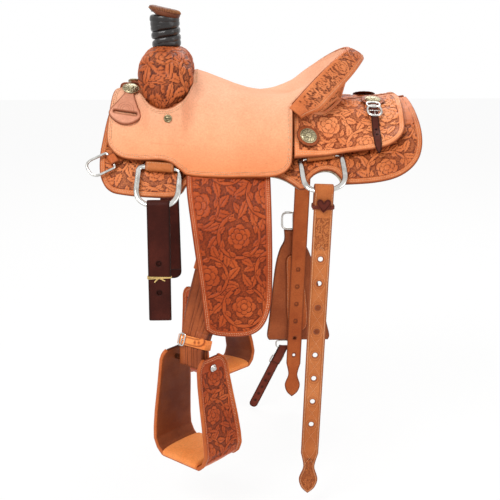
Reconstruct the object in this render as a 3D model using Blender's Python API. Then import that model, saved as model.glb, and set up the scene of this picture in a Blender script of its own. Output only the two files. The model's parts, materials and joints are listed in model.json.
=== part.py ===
# Western roping saddle, modelled in metres.
# +X is toward the cantle, -Y is the near (left) side, +Z is up.
# The origin lies on the centre plane, at the lowest point of the back line under the seat.
import math
import bpy
import bmesh
from mathutils import Matrix, Vector
from mathutils.geometry import delaunay_2d_cdt

NEAR = -1
OFF = 1
SIDES = (("near", NEAR), ("off", OFF))
GAP = 0.0004                    # clearance between pieces that touch
SEAM_GAP = 0.0006               # clearance between curved pieces that lie on each other

# Form of the horse's back that the saddle is shaped to
BACK_HALF = 0.352               # half the length over which the form is set
SLOPE_FRONT = math.radians(20)  # slope beside the spine at the front end
SLOPE_REAR = math.radians(7)    # and at the rear end
RIB_CURVE = 2.45                # curvature of the barrel, per metre
ROCK_FRONT = 0.038              # rise of the back line to the withers
ROCK_REAR = 0.030               # and to the loin

# Leather and lining thicknesses
FLEECE = 0.012
SKIRT = 0.005
JOCKEY = 0.0045
JOCKEY_CLEAR = 0.0155           # space under the jockeys for rigging, leathers and fenders
SEAT_LEATHER = 0.0045
GROUND_SEAT_GAP = 0.005         # padding space under the seat leather
FENDER = 0.0045
STRAP = 0.004

# Tree
BAR_STEP = (0.040, 0.015)       # size of the facets on the bars and what lies on them
BAR_INNER = 0.032               # from the centre plane to the bar's inner edge, along the back
BAR_OUTER = 0.178
BAR_FRONT = -0.300
BAR_REAR = 0.285
BAR_THICK = 0.021
FORK_X = -0.219                 # middle of the fork
FORK_HALF = 0.057               # half its depth, front to rear, at the shoulders
SWELL_HALF_WIDTH = 0.166        # widest point of the swells from the centre plane
SWELL_TOP = 0.160
GULLET_TOP = 0.108
COVER = 0.003                   # leather on the fork
COVER_GAP = 0.0009              # between the fork and its leather

# Horn
HORN_BASE = (-0.219, 0.0, 0.1615)
HORN_LEAN = math.radians(4.0)   # the post leans forward
HORN_NECK = 0.0208               # radius of the bare post
WRAP_RADIUS = 0.0335
WRAP_HEIGHT = 0.068
CAP_RADIUS = 0.0375
CAP_TILT = math.radians(-12.0)  # the cap's front edge stands higher
CAP_THICK = 0.011

# Seat and cantle
SEAT_LOW = 0.052                # height of the pocket of the seat
SEAT_FRONT = -0.152             # where the seat runs up against the fork
RIM_REAR = 0.203                # top of the cantle rim, front to rear
RIM_TOP = 0.160                 # and its height
RIM_SWEEP = 0.137               # how far the rim's ends run forward
RIM_DROP = 0.112                # and how far down
RIM_HALF = 0.172                # half the width of the cantle
ROLL_WIDTH = 0.048              # Cheyenne roll
ROLL_THICK = 0.010

# Rigging
DEE_BAR = 0.0036                # half thickness of a dee's bar
DEE_BROAD = 0.0062              # half breadth of the bar
DEE_HALF = 0.046                # half the width of a dee
DEE_DROP = 0.096                # from the top bar to the outer side of the bow
FRONT_DEE = (-0.231, 0.228)     # place on the back, along X and down the side
REAR_DEE = (0.126, 0.212)
BREAST_WIRE = 0.0030
STRAP_PLATE = 0.0028            # rigging leather
RUNNING = 0.0006                # clearance of a leather round a bar
LOOP_STEPS = 0.090              # run of the fold round a bar, in the flat pattern

# Stirrups and fenders
FENDER_X = -0.080               # line that the fender hangs on
FENDER_TOP = -0.100             # height of its hinge
BOLT_X = -0.161                 # bolt that holds the stirrup, with the fender hanging plumb
BOLT_Y = 0.288
BOLT_Z = -0.517
BOLT_RADIUS = 0.0062
BLEVINS_Z = -0.290              # middle of the Blevins buckle
BAND_PLAY = 0.0020              # a band hangs level on a leather that slants
SLEEVE_PLAY = 0.0010
BAND_WALL = 0.0030
LEATHER_HALF = 0.037            # half the width of the stirrup leather
STIRRUP_TWIST = math.radians(45) # how far the leather turns the stirrup outward
STIRRUP_LEAN = math.radians(-3) # how far the tread hangs out of plumb
STIRRUP_WIDTH = 0.176           # outside, at the tread
STIRRUP_NECK = 0.118            # outside, at the top
STIRRUP_HEIGHT = 0.225          # from the bolt down to the middle of the tread
STIRRUP_DEPTH = 0.114           # front to rear, at the tread
HOBBLE_RISE = 0.043             # hobble strap above the bolt
PANEL = 0.0105                  # thickness of a side panel
TREAD_PAD = 0.0050              # leather pad on the tread

# Straps
LATIGO_WIDTH = 0.0495
BILLET_WIDTH = 0.042
BILLET_LENGTH = 0.710           # near flank billet, below its dee
HOLE = 0.0055                   # radius of a billet hole
FIRST_HOLE = 0.150              # first hole below the dee
HOLE_PITCH = 0.0555
STRAP_SHIFT = 0.006             # latigo and near billet hang this far off the middle of their dees
BILLET_LEAN = math.radians(2.2) # how far a billet hangs out of plumb
OFF_BILLET_LENGTH = 0.705       # off flank billet, below its dee
OFF_SWING = math.radians(-6)    # the off fender rests a little swung, hidden by the near one
CINCH_DROP = 0.205              # middle of the cinch buckle below the bow of the rear dee
CINCH_SHIFT = -0.028            # and along X
BUCKLE_TOP = 0.0350             # roller of the cinch buckle above its middle

# Places of the trim
BREAST_DEE = (-0.338, 0.222)    # place on the back, along X and down the side
BREAST_LIFT = 0.0078            # its middle over the skirt
BREAST_TURN = math.radians(-52)
HANGER_X = -0.300
HANGER_S = 0.070
STRING_X = 0.258


def clear_scene():
    for thing in list(bpy.data.objects):
        bpy.data.objects.remove(thing, do_unlink=True)


# Materials, one for each object
COLOURS = {
    "roughout": ((0.60, 0.27, 0.13, 1), 0.85, 0.0),
    "carved": ((0.42, 0.13, 0.04, 1), 0.45, 0.0),
    "tan": ((0.52, 0.19, 0.07, 1), 0.5, 0.0),
    "mahogany": ((0.10, 0.025, 0.015, 1), 0.4, 0.0),
    "brown": ((0.20, 0.06, 0.025, 1), 0.5, 0.0),
    "fleece": ((0.72, 0.66, 0.55, 1), 0.95, 0.0),
    "rawhide": ((0.62, 0.52, 0.36, 1), 0.6, 0.0),
    "rubber": ((0.015, 0.015, 0.017, 1), 0.45, 0.0),
    "steel": ((0.62, 0.62, 0.60, 1), 0.22, 1.0),
    "antique": ((0.45, 0.42, 0.30, 1), 0.35, 1.0),
    "cord": ((0.62, 0.45, 0.20, 1), 0.7, 0.0),
}


def material(name, kind):
    colour, roughness, metallic = COLOURS[kind]
    made = bpy.data.materials.new(name)
    made.use_nodes = True
    shader = made.node_tree.nodes["Principled BSDF"]
    shader.inputs["Base Color"].default_value = colour
    shader.inputs["Roughness"].default_value = roughness
    shader.inputs["Metallic"].default_value = metallic
    made.diffuse_color = colour
    return made


def empty(name, place, turn=(0, 0, 0)):
    holder = bpy.data.objects.new(name, None)
    holder.location = place
    holder.rotation_euler = turn
    bpy.context.scene.collection.objects.link(holder)
    return holder


def make(name, mesh, kind, pivot=(0, 0, 0), parent=None, turn=None):
    """Make a bmesh into a named object whose origin is the pivot, turned first if asked."""
    bmesh.ops.remove_doubles(mesh, verts=mesh.verts, dist=1e-6)
    if turn is not None:
        mesh.transform(turn)
    bmesh.ops.recalc_face_normals(mesh, faces=mesh.faces)
    bmesh.ops.translate(mesh, verts=mesh.verts, vec=-Vector(pivot))
    data = bpy.data.meshes.new(name)
    mesh.to_mesh(data)
    mesh.free()
    data.shade_smooth()
    data.set_sharp_from_angle(angle=math.radians(40))
    thing = bpy.data.objects.new(name, data)
    thing.location = pivot
    data.materials.append(material(name, kind))
    bpy.context.scene.collection.objects.link(thing)
    if parent is not None:
        thing.parent = parent
    return thing


# The back form and the surfaces laid on it
def slope_at(x):
    share = (x + BACK_HALF) / (2 * BACK_HALF)
    return SLOPE_FRONT + (SLOPE_REAR - SLOPE_FRONT) * share


def ridge_at(x):
    rock = ROCK_FRONT if x < 0 else ROCK_REAR
    return rock * (x / BACK_HALF) ** 2


def back(x, s, lift=0.0):
    """Point at x, s metres down the side from the ridge (s < 0 is the near side)."""
    start = slope_at(x)
    here = start + RIB_CURVE * abs(s)
    hand = -1 if s < 0 else 1
    y = (math.sin(here) - math.sin(start)) / RIB_CURVE + lift * math.sin(here)
    z = ridge_at(x) - (math.cos(start) - math.cos(here)) / RIB_CURVE + lift * math.cos(here)
    return Vector((x, hand * y, z))


def smooth_step(value, low, high):
    share = min(1.0, max(0.0, (value - low) / (high - low)))
    return share * share * (3 - 2 * share)


# Outlines
def spline(points, per=4, closed=True):
    """Smooth outline through points; a point given with a third value is a corner."""
    count = len(points)
    result = []
    spans = count if closed else count - 1
    for i in range(spans):
        near = [points[(i + k) % count] if closed else points[min(max(i + k, 0), count - 1)]
                for k in (-1, 0, 1, 2)]
        if len(near[1]) > 2:
            near[0] = near[1]
        if len(near[2]) > 2:
            near[3] = near[2]
        a, b, c, d = [Vector(p[:2]) for p in near]
        for k in range(per):
            t = k / per
            result.append(0.5 * ((2 * b) + (c - a) * t + (2 * a - 5 * b + 4 * c - d) * t * t
                                 + (3 * b - a - 3 * c + d) * t ** 3))
    if not closed:
        result.append(Vector(points[-1][:2]))
    return [(p.x, p.y) for p in result]


def circle(cx, cy, radius, count=8, squeeze=1.0):
    return [(cx + radius * math.cos(2 * math.pi * k / count),
             cy + radius * squeeze * math.sin(2 * math.pi * k / count)) for k in range(count)]


def inside(point, loop):
    x, y = point
    hit = False
    for (x1, y1), (x2, y2) in zip(loop, loop[1:] + loop[:1]):
        if (y1 > y) != (y2 > y) and x < (x2 - x1) * (y - y1) / (y2 - y1) + x1:
            hit = not hit
    return hit


def far_from(point, loop, least):
    px, py = point
    for (x1, y1), (x2, y2) in zip(loop, loop[1:] + loop[:1]):
        dx, dy = x2 - x1, y2 - y1
        size = dx * dx + dy * dy
        t = 0.0 if size == 0 else max(0.0, min(1.0, ((px - x1) * dx + (py - y1) * dy) / size))
        if math.hypot(px - x1 - t * dx, py - y1 - t * dy) < least:
            return False
    return True


def divided(loop, step):
    """Split the long edges of a loop so that it follows a curved surface."""
    result = []
    for (x1, y1), (x2, y2) in zip(loop, loop[1:] + loop[:1]):
        pieces = max(1, round(max(abs(x2 - x1) / step[0], abs(y2 - y1) / step[1])))
        for k in range(pieces):
            result.append((x1 + (x2 - x1) * k / pieces, y1 + (y2 - y1) * k / pieces))
    return result


def leather(outline, place, low, high, step=(0.06, 0.03), holes=(), mesh=None):
    """Closed sheet: the outline filled with triangles, mapped by place(u, v, height).

    low and high are heights, or functions of (u, v)."""
    low_at = low if callable(low) else (lambda u, v: low)
    high_at = high if callable(high) else (lambda u, v: high)
    loops = [divided(outline, step)] + [list(hole) for hole in holes]
    points = []
    edges = []
    for loop in loops:
        first = len(points)
        points += loop
        edges += [(first + k, first + (k + 1) % len(loop)) for k in range(len(loop))]
    us = [p[0] for p in loops[0]]
    vs = [p[1] for p in loops[0]]
    least = 0.45 * min(step)
    row = math.ceil(min(vs) / step[1])
    while row * step[1] < max(vs):
        column = math.ceil(min(us) / step[0])
        while column * step[0] < max(us):
            spot = (column * step[0], row * step[1])
            if (inside(spot, loops[0]) and far_from(spot, loops[0], least)
                    and all(not inside(spot, h) and far_from(spot, h, least) for h in loops[1:])):
                points.append(spot)
            column += 1
        row += 1
    spots, _, faces, *_ = delaunay_2d_cdt([Vector(p) for p in points], edges, [], 1, 1e-7)
    spots = [(p.x, p.y) for p in spots]
    kept = []
    for face in faces:
        middle = (sum(spots[k][0] for k in face) / 3, sum(spots[k][1] for k in face) / 3)
        if inside(middle, loops[0]) and not any(inside(middle, h) for h in loops[1:]):
            kept.append(face)
    mesh = mesh or bmesh.new()
    used = sorted({k for face in kept for k in face})
    bottom = {k: mesh.verts.new(place(*spots[k], low_at(*spots[k]))) for k in used}
    top = {k: mesh.verts.new(place(*spots[k], high_at(*spots[k]))) for k in used}
    rim = {}
    for face in kept:
        mesh.faces.new([top[k] for k in face])
        mesh.faces.new([bottom[k] for k in reversed(face)])
        for k in range(3):
            a, b = face[k], face[(k + 1) % 3]
            if (b, a) in rim:
                del rim[(b, a)]
            else:
                rim[(a, b)] = True
    for a, b in rim:
        mesh.faces.new([bottom[a], bottom[b], top[b], top[a]])
    return mesh


# Swept, turned and lofted shapes
def loft(rings, closed_path=False, caps=True, mesh=None):
    """Skin rings of points, one after the other; every ring is a closed loop."""
    mesh = mesh or bmesh.new()
    made = [[mesh.verts.new(p) for p in ring] for ring in rings]
    spans = len(made) if closed_path else len(made) - 1
    for i in range(spans):
        here, there = made[i], made[(i + 1) % len(made)]
        for k in range(len(here)):
            n = (k + 1) % len(here)
            mesh.faces.new([here[k], here[n], there[n], there[k]])
    if caps and not closed_path:
        mesh.faces.new(list(reversed(made[0])))
        mesh.faces.new(made[-1])
    return mesh


def sweep(path, section, side, closed=False, mesh=None, scales=None):
    """Carry a flat section (a, b) along a path; a runs along side, b across it."""
    rings = []
    count = len(path)
    for i, point in enumerate(path):
        ahead = path[(i + 1) % count] if closed or i + 1 < count else point
        behind = path[i - 1] if closed or i > 0 else point
        along = (Vector(ahead) - Vector(behind)).normalized()
        across = Vector(side(i) if callable(side) else side)
        across = (across - along * across.dot(along)).normalized()
        up = along.cross(across)
        size = scales[i] if scales else 1.0
        rings.append([Vector(point) + across * (a * size) + up * (b * size) for a, b in section])
    return loft(rings, closed_path=closed, mesh=mesh)


def turned(profile, segments, frame=Matrix(), mesh=None):
    """Revolve (radius, height) points about the frame's Z; end radii of 0 close it."""
    mesh = mesh or bmesh.new()
    rings = []
    for radius, height in profile:
        if radius == 0:
            rings.append([mesh.verts.new(frame @ Vector((0, 0, height)))])
        else:
            rings.append([mesh.verts.new(frame @ Vector((radius * math.cos(2 * math.pi * k / segments),
                                                         radius * math.sin(2 * math.pi * k / segments),
                                                         height))) for k in range(segments)])
    for here, there in zip(rings, rings[1:]):
        for k in range(segments):
            n = (k + 1) % segments
            corners = [here[k % len(here)], here[n % len(here)], there[n % len(there)], there[k % len(there)]]
            distinct = list(dict.fromkeys(corners))
            if len(distinct) > 2:
                mesh.faces.new(distinct)
    return mesh


def oval(a, b, count=8):
    return [(a * math.cos(2 * math.pi * (k + 0.5) / count), b * math.sin(2 * math.pi * (k + 0.5) / count))
            for k in range(count)]


def block(a, b):
    return [(-a, -b), (a, -b), (a, b), (-a, b)]


def frame_at(point, normal, along=(0, 0, 1)):
    """Matrix with Z on the normal and X near the given direction."""
    z = Vector(normal).normalized()
    x = Vector(along)
    x = (x - z * x.dot(z)).normalized()
    y = z.cross(x)
    turn = Matrix(((x.x, y.x, z.x), (x.y, y.y, z.y), (x.z, y.z, z.z)))
    return Matrix.Translation(point) @ turn.to_4x4()


def normal_on_back(x, s):
    here = slope_at(x) + RIB_CURVE * abs(s)
    hand = -1 if s < 0 else 1
    return Vector((0, hand * math.sin(here), math.cos(here)))


# Skirts and their sheepskin
def skirt_outline():
    front = [(-0.334, 0.020, 1), (-0.345, 0.050), (-0.353, 0.100), (-0.360, 0.167), (-0.364, 0.207),
             (-0.363, 0.250), (-0.354, 0.276), (-0.339, 0.290), (-0.316, 0.294), (-0.256, 0.294),
             (-0.204, 0.291), (-0.184, 0.281), (-0.172, 0.262), (-0.140, 0.243), (-0.080, 0.234),
             (0.000, 0.240), (0.041, 0.253), (0.077, 0.283, 1)]
    arch = [(0.092, 0.281), (0.099, 0.262), (0.116, 0.247), (0.134, 0.243), (0.152, 0.249), (0.166, 0.267),
            (0.170, 0.284, 1)]
    rear = [(0.240, 0.293), (0.289, 0.291), (0.324, 0.274), (0.345, 0.243), (0.354, 0.191), (0.353, 0.115),
            (0.347, 0.014, 1)]
    return spline(front + arch + rear, per=2)


def base_lift():
    return FLEECE + GAP


def skirt_top():
    return FLEECE + GAP + SKIRT


def make_skirts():
    for word, side in SIDES:
        outline = skirt_outline()
        place = lambda x, s, lift, side=side: back(x, side * s, lift)
        shrunk = [(x * 0.988, min(s, 0.02) + max(0.0, s - 0.02) * 0.985) for x, s in outline]
        make("fleece_" + word, leather(shrunk, place, 0.0, FLEECE), "fleece")
        make("skirt_" + word, leather(outline, place, base_lift(), skirt_top()), "carved")


# Saddle tree
def bar_lift(x, s):
    """Height of the bar's top face over the back form."""
    s = abs(s)
    across = smooth_step(s, 0.010, 0.060) * (1 - 0.75 * smooth_step(s, 0.115, 0.185))
    along = 1 - 0.7 * smooth_step(abs(x + 0.005), 0.19, 0.30)
    return skirt_top() + SEAM_GAP + 0.004 + BAR_THICK * across * along


def bar_outline():
    return spline([(BAR_FRONT, 0.060), (BAR_FRONT + 0.020, 0.034), (-0.200, BAR_INNER), (-0.060, BAR_INNER + 0.010),
                   (0.080, BAR_INNER), (BAR_REAR - 0.030, BAR_INNER), (BAR_REAR, 0.060), (BAR_REAR, 0.140),
                   (BAR_REAR - 0.040, BAR_OUTER - 0.006), (0.120, BAR_OUTER), (-0.010, 0.152),
                   (-0.130, 0.156), (-0.220, BAR_OUTER), (BAR_FRONT + 0.020, 0.166), (BAR_FRONT, 0.120)], per=2)


def make_bars():
    for word, side in SIDES:
        place = lambda x, s, lift, side=side: back(x, side * s, lift)
        make("tree_bar_" + word, leather(bar_outline(), place, skirt_top() + GAP, bar_lift, step=BAR_STEP),
             "rawhide")


def down_side(x, y, lift):
    """How far down the side the surface lift(x, s) over the back form reaches y."""
    low, high = 0.0, 0.40
    for _ in range(30):
        middle = (low + high) / 2
        if back(x, middle, lift(x, middle)).y < abs(y):
            low = middle
        else:
            high = middle
    return low


def height_on(x, y, lift):
    """Height of the surface that lies lift(x, s) over the back form, at x and y."""
    s = down_side(x, y, lift)
    return back(x, s, lift(x, s)).z


def arch_stations():
    """Fork: centre line in Y and Z, half thickness and half depth, near foot to off foot."""
    broad = 0.035
    out = SWELL_HALF_WIDTH - broad
    half = [(0.009 - out, 0.000, 0.024, 0.046), (-out, 0.030, 0.031, 0.053),
            (-out, 0.062, broad, FORK_HALF), (0.013 - out, 0.092, 0.038, FORK_HALF + 0.002),
            (0.043 - out, 0.114, 0.036, FORK_HALF), (0.085 - out, 0.127, 0.031, FORK_HALF - 0.007)]
    top = [(0.0, (SWELL_TOP + GULLET_TOP) / 2, (SWELL_TOP - GULLET_TOP) / 2, FORK_HALF - 0.012)]
    return half + top + [(-y, z, a, b) for y, z, a, b in reversed(half)]


def arch_ring(stations, i, grow):
    """Rounded section of the fork at one station, grown outward by grow."""
    y, z, thick, deep = stations[i]
    before = stations[max(i - 1, 0)]
    after = stations[min(i + 1, len(stations) - 1)]
    along = Vector((0, after[0] - before[0], after[1] - before[1])).normalized()
    out = Vector((0, -along.z, along.y))
    ring = []
    count = 20
    for k in range(count):
        angle = 2 * math.pi * k / count
        c, d = math.cos(angle), math.sin(angle)
        power = 2 / 2.7
        a = math.copysign(abs(c) ** power, c) * (thick + grow)
        b = math.copysign(abs(d) ** power, d) * (deep + grow)
        ring.append(Vector((FORK_X + b, y, z)) + out * a)
    if i in (0, len(stations) - 1):
        for point in ring:
            point.z = height_on(point.x, point.y, bar_lift) + 0.0009
    return ring


def sole_ring(ring, share):
    """Smaller copy of a foot's ring, on the bar, so that the foot follows the bar."""
    middle = sum(ring, Vector()) / len(ring)
    smaller = [middle + (point - middle) * share for point in ring]
    for point in smaller:
        point.z = height_on(point.x, point.y, bar_lift) + 0.0009
    return smaller


def drill(thing, cutter):
    cut = thing.modifiers.new("horn hole", "BOOLEAN")
    cut.operation = "DIFFERENCE"
    cut.solver = "EXACT"
    cut.object = cutter


def horn_frame(height, tilt=None):
    lean = -HORN_LEAN if tilt is None else tilt
    axis = Vector((math.sin(-HORN_LEAN), 0, math.cos(-HORN_LEAN)))
    place = Vector(HORN_BASE) + axis * height
    return frame_at(place, (math.sin(lean), 0, math.cos(lean)), along=(1, 0, 0))


def make_fork():
    stations = arch_stations()
    count = len(stations)
    rings = [arch_ring(stations, i, 0.0) for i in range(count)]
    soles = [[sole_ring(ring, share) for share in (0.25, 0.62)] for ring in (rings[0], rings[-1])]
    fork = make("tree_fork", loft(soles[0] + rings + soles[1][::-1]), "rawhide")
    mesh = bmesh.new()
    outer = [[mesh.verts.new(p) for p in arch_ring(stations, i, COVER_GAP + COVER)] for i in range(count)]
    inner = [[mesh.verts.new(p) for p in arch_ring(stations, i, COVER_GAP)] for i in range(count)]
    for rings, turn in ((outer, 1), (inner, -1)):
        for here, there in zip(rings, rings[1:]):
            for k in range(len(here)):
                n = (k + 1) % len(here)
                mesh.faces.new([here[k], here[n], there[n], there[k]][::turn])
    for end in (0, -1):
        for k in range(len(outer[0])):
            n = (k + 1) % len(outer[0])
            mesh.faces.new([outer[end][k], outer[end][n], inner[end][n], inner[end][k]])
    cover = make("swell_cover", mesh, "carved")
    cutter = make("horn_hole_cutter", turned([(0, -0.025), (HORN_NECK + GAP, -0.025), (HORN_NECK + GAP, 0.02),
                                              (0, 0.02)], 24, horn_frame(0.0)), "steel")
    cutter.hide_render = True
    cutter.display_type = "WIRE"
    drill(fork, cutter)
    drill(cover, cutter)


def cap_frame():
    return horn_frame(WRAP_HEIGHT + 0.0045, -CAP_TILT)


def make_horn():
    sides = 24
    plate = CAP_RADIUS - 0.006
    frame = cap_frame()
    rings = []
    for height, radius, top in ((-0.0245, HORN_NECK, False), (0.045, HORN_NECK, False), (-0.005, HORN_NECK, True),
                                (0.0006, HORN_NECK, True), (0.0006, plate, True), (0.0046, plate, True)):
        here = frame if top else horn_frame(height)
        rise = height if top else 0.0
        rings.append([here @ Vector((radius * math.cos(2 * math.pi * k / sides),
                                     radius * math.sin(2 * math.pi * k / sides), rise)) for k in range(sides)])
    make("horn_post", loft(rings), "rawhide")
    profile = [(0, CAP_THICK - 0.0005), (CAP_RADIUS * 0.55, CAP_THICK), (CAP_RADIUS - 0.004, CAP_THICK - 0.002),
               (CAP_RADIUS, CAP_THICK * 0.45), (CAP_RADIUS - 0.003, 0.0005), (HORN_NECK + 0.006, -0.0022),
               (HORN_NECK + 0.0025, -0.0018), (HORN_NECK + 0.0025, 0.0002), (plate + 0.0005, 0.0002),
               (plate + 0.0005, 0.0050), (0, 0.0050)]
    make("horn_cap", turned(profile, sides, frame), "mahogany")
    wind = []
    half = 0.0078
    pitch = 2 * half + 0.0006
    turns = (WRAP_HEIGHT - 2 * half - 0.004) / pitch
    thick = (WRAP_RADIUS - HORN_NECK - GAP) / 2
    steps = round(turns * 24)
    path = []
    sizes = []
    for k in range(steps + 1):
        share = k / steps
        angle = 2 * math.pi * turns * share + math.pi
        frame = horn_frame(0.0020 + half + pitch * turns * share)
        radius = HORN_NECK + GAP + thick
        path.append(frame @ Vector((radius * math.cos(angle), radius * math.sin(angle), 0)))
        wind.append(frame.to_3x3() @ Vector((0, 0, 1)))
        sizes.append(0.55 + 0.45 * smooth_step(min(share, 1 - share), 0.0, 0.06))
    gap = min((path[k + 24] - path[k]).length for k in range(steps - 24)) - 2 * half
    print("horn wrap: least gap of the winding to itself", round(gap * 1000, 2), "mm")
    make("horn_wrap", sweep(path, oval(half, thick * 0.97), lambda i: wind[i], scales=sizes), "rubber")


# Seat, cantle and rear jockeys
def seat_line(x):
    """Height of the seat's top face on the centre plane, front to pocket."""
    points = [(-0.36, 0.086), (-0.30, 0.078), (-0.24, 0.070), (-0.19, 0.075), (-0.16, 0.110), (-0.128, 0.100),
              (-0.095, 0.087), (-0.062, 0.074), (-0.029, 0.063), (0.005, 0.055), (0.038, SEAT_LOW),
              (0.071, SEAT_LOW - 0.001), (0.40, SEAT_LOW)]
    for (x1, z1), (x2, z2) in zip(points, points[1:]):
        if x <= x2:
            return z1 + (z2 - z1) * (x - x1) / (x2 - x1)
    return SEAT_LOW


def jockey_lift(x, s):
    """Underside of the jockeys: over the bars, then clear of the skirt for the rigging."""
    over_bar = bar_lift(x, s) + 0.0009
    hanging = skirt_top() + JOCKEY_CLEAR
    share = smooth_step(abs(s), 0.150, 0.205)
    return over_bar * (1 - share) + hanging * share


def rim_point(share):
    """Edge of the cantle, share from -1 (near end) to 1 (off end)."""
    a = abs(share)
    return Vector((RIM_REAR - RIM_SWEEP * a ** 1.8, RIM_HALF * share, RIM_TOP - RIM_DROP * a ** 2.2))


def raised(point, x, keep=1.0):
    """Fill the seat out over the bars: flat in the middle, rolled down at the sides."""
    y = abs(point.y)
    rearward = smooth_step(x, -0.12, 0.05)
    inner = 0.045 + 0.045 * rearward
    outer = 0.190 + 0.045 * rearward
    share = (1 - smooth_step(y, inner, outer)) * keep
    dish = smooth_step(x, -0.05, 0.08)
    flat = seat_line(x) + y * y * (0.9 * dish - 0.9 * (1 - dish))
    return point.z + (flat - point.z) * share


def seat_point(x, s, height):
    """height is measured up from the underside of the seat leather."""
    point = back(x, s, jockey_lift(x, s) + height)
    top = back(x, s, jockey_lift(x, s) + SEAT_LEATHER)
    z = raised(top, x)
    y = abs(point.y)
    share = min(1.0, y / RIM_HALF)
    rim = rim_point(share)
    run = 0.125
    along = min(1.0, max(0.0, (x - (rim.x - run)) / run))
    fade = 1 - smooth_step(y, RIM_HALF, RIM_HALF + 0.045)
    z += (rim.z - z) * along ** 1.6 * fade
    point.z += z - top.z
    return point


def seat_outline():
    rim = []
    for k in range(5, -1, -1):
        spot = rim_point(k / 5.3)
        rim.append((spot.x - 0.001, down_side(spot.x, spot.y, jockey_lift) if k else 0.0, 1))
    edge = [(SEAT_FRONT, 0.0, 1), (SEAT_FRONT, 0.060), (SEAT_FRONT, 0.105), (-0.163, 0.134), (-0.190, 0.149),
            (-0.222, 0.153), (-0.256, 0.147), (-0.282, 0.127), (-0.294, 0.098), (-0.300, 0.066, 1),
            (-0.322, 0.060), (-0.337, 0.078), (-0.346, 0.133), (-0.349, 0.177), (-0.338, 0.202),
            (-0.314, 0.218), (-0.274, 0.219), (-0.232, 0.215), (-0.206, 0.220), (-0.184, 0.237),
            (-0.159, 0.249), (-0.037, 0.254), (0.025, 0.256), (0.055, 0.240), (0.063, 0.214), (0.0645, 0.168, 1)]
    half = spline(edge + rim, per=2, closed=False)
    return half[:-1] + [(x, -s) for x, s in reversed(half[1:])]


def make_seat():
    make("seat", leather(seat_outline(), seat_point, 0.0, SEAT_LEATHER, step=(0.03, 0.03)), "roughout")
    reach = 0.138

    def fill(x, s, share):
        if share > 0.5:
            return seat_point(x, s, -GROUND_SEAT_GAP)
        if abs(s) < BAR_INNER:
            return seat_point(x, s, -GROUND_SEAT_GAP - 0.008)
        clear = 0.0008 + 0.003 * (1 - smooth_step(abs(s), 0.045, 0.075)) + 0.002 * smooth_step(abs(s), 0.10, 0.13)
        return back(x, s, bar_lift(x, s) + clear)

    half = [(SEAT_FRONT + 0.004, 0.0), (SEAT_FRONT + 0.004, 0.110), (-0.110, reach), (-0.020, reach), (0.020, reach),
            (0.060, 0.105), (0.110, 0.070), (0.132, 0.040), (0.142, 0.0)]
    outline = half[:-1] + [half[-1]] + [(x, -s) for x, s in reversed(half[1:-1])]
    make("ground_seat", leather(outline, fill, 0, 1, step=BAR_STEP), "tan")


ROLL_DROOP = math.radians(30)    # the roll slopes down behind the rim


def under_roll(depth, share):
    """How far below the rim the underside of the roll is, depth behind the rim."""
    return (0.0035 + 0.004 * abs(share) + max(0.0, depth) * math.tan(ROLL_DROOP + math.radians(6))
            + 0.85 * ROLL_THICK / math.cos(ROLL_DROOP))


def cantle_section(share, front, rear):
    """Corners of the upright behind the seat, from rim to bars, between two depths."""
    rim = rim_point(share)
    foot = height_on(rim.x, rim.y, bar_lift) + 0.0015
    lean = 0.27 * max(0.0, rim.z - under_roll(front, share) - foot)
    x = rim.x - 0.002
    return [Vector((x + front, rim.y, rim.z - under_roll(front, share))),
            Vector((x + rear, rim.y, rim.z - under_roll(rear, share))),
            Vector((x + rear - lean, rim.y, foot)), Vector((x + front - lean, rim.y, foot))]


def make_cantle():
    count = 14
    shares = [-0.86 + 1.72 * k / count for k in range(count + 1)]
    board = 0.014
    make("tree_cantle", loft([cantle_section(s, 0.0, board) for s in shares]), "rawhide")
    make("cantle_back", loft([cantle_section(s, board + GAP, board + GAP + 0.004) for s in shares]), "carved")
    rings = []
    for k in range(2 * count + 1):
        share = -1 + k / count
        rim = rim_point(share)
        near_end = 1 - 0.72 * smooth_step(abs(share), 0.45, 1.0)
        width = ROLL_WIDTH * near_end
        thick = ROLL_THICK * (0.45 + 0.55 * near_end)
        ahead = rim_point(min(share + 0.02, 1.0)) - rim_point(max(share - 0.02, -1.0))
        along = ahead.normalized()
        droop = ROLL_DROOP + math.radians(6) * abs(share)
        out = Vector((1.0, 0.55 * share, 0)).normalized()
        out = Vector((out.x * math.cos(droop), out.y * math.cos(droop), -math.sin(droop)))
        out = (out - along * out.dot(along)).normalized()
        up = out.cross(along)
        if up.z < 0:
            up = -up
        start = rim + out * 0.0022 + up * (0.0045 * abs(share) ** 3 - 0.0015)
        crown = [(0.0, 0.0), (0.10, 0.35), (0.45, 0.55), (0.80, 0.45), (0.97, 0.05), (1.0, -0.45), (0.90, -0.85),
                 (0.72, -0.70), (0.40, -0.45), (0.08, -0.42)]
        rings.append([start + out * (a * width) + up * (b * thick) for a, b in crown])
    make("cheyenne_roll", loft(rings), "carved")


def make_rear_jockeys():
    half = [(0.0660, 0.212, 1), (0.180, 0.209), (0.262, 0.215), (0.297, 0.204), (0.314, 0.179), (0.320, 0.135),
            (0.323, 0.060), (0.322, 0.004, 1), (0.216, 0.004, 1), (0.207, 0.045), (0.178, 0.090),
            (0.135, 0.128), (0.094, 0.156), (0.0665, 0.168, 1)]
    for word, side in SIDES:

        def place(x, s, height, side=side):
            lift = jockey_lift(x, s)
            point = back(x, s, lift + height)
            top = back(x, s, lift + JOCKEY)
            point.z += raised(top, x, 1 - smooth_step(x, 0.060, 0.150)) - top.z
            point.y *= side
            return point

        make("rear_jockey_" + word, leather(spline(half, per=2), place, 0.0, JOCKEY, step=BAR_STEP), "carved")


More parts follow.
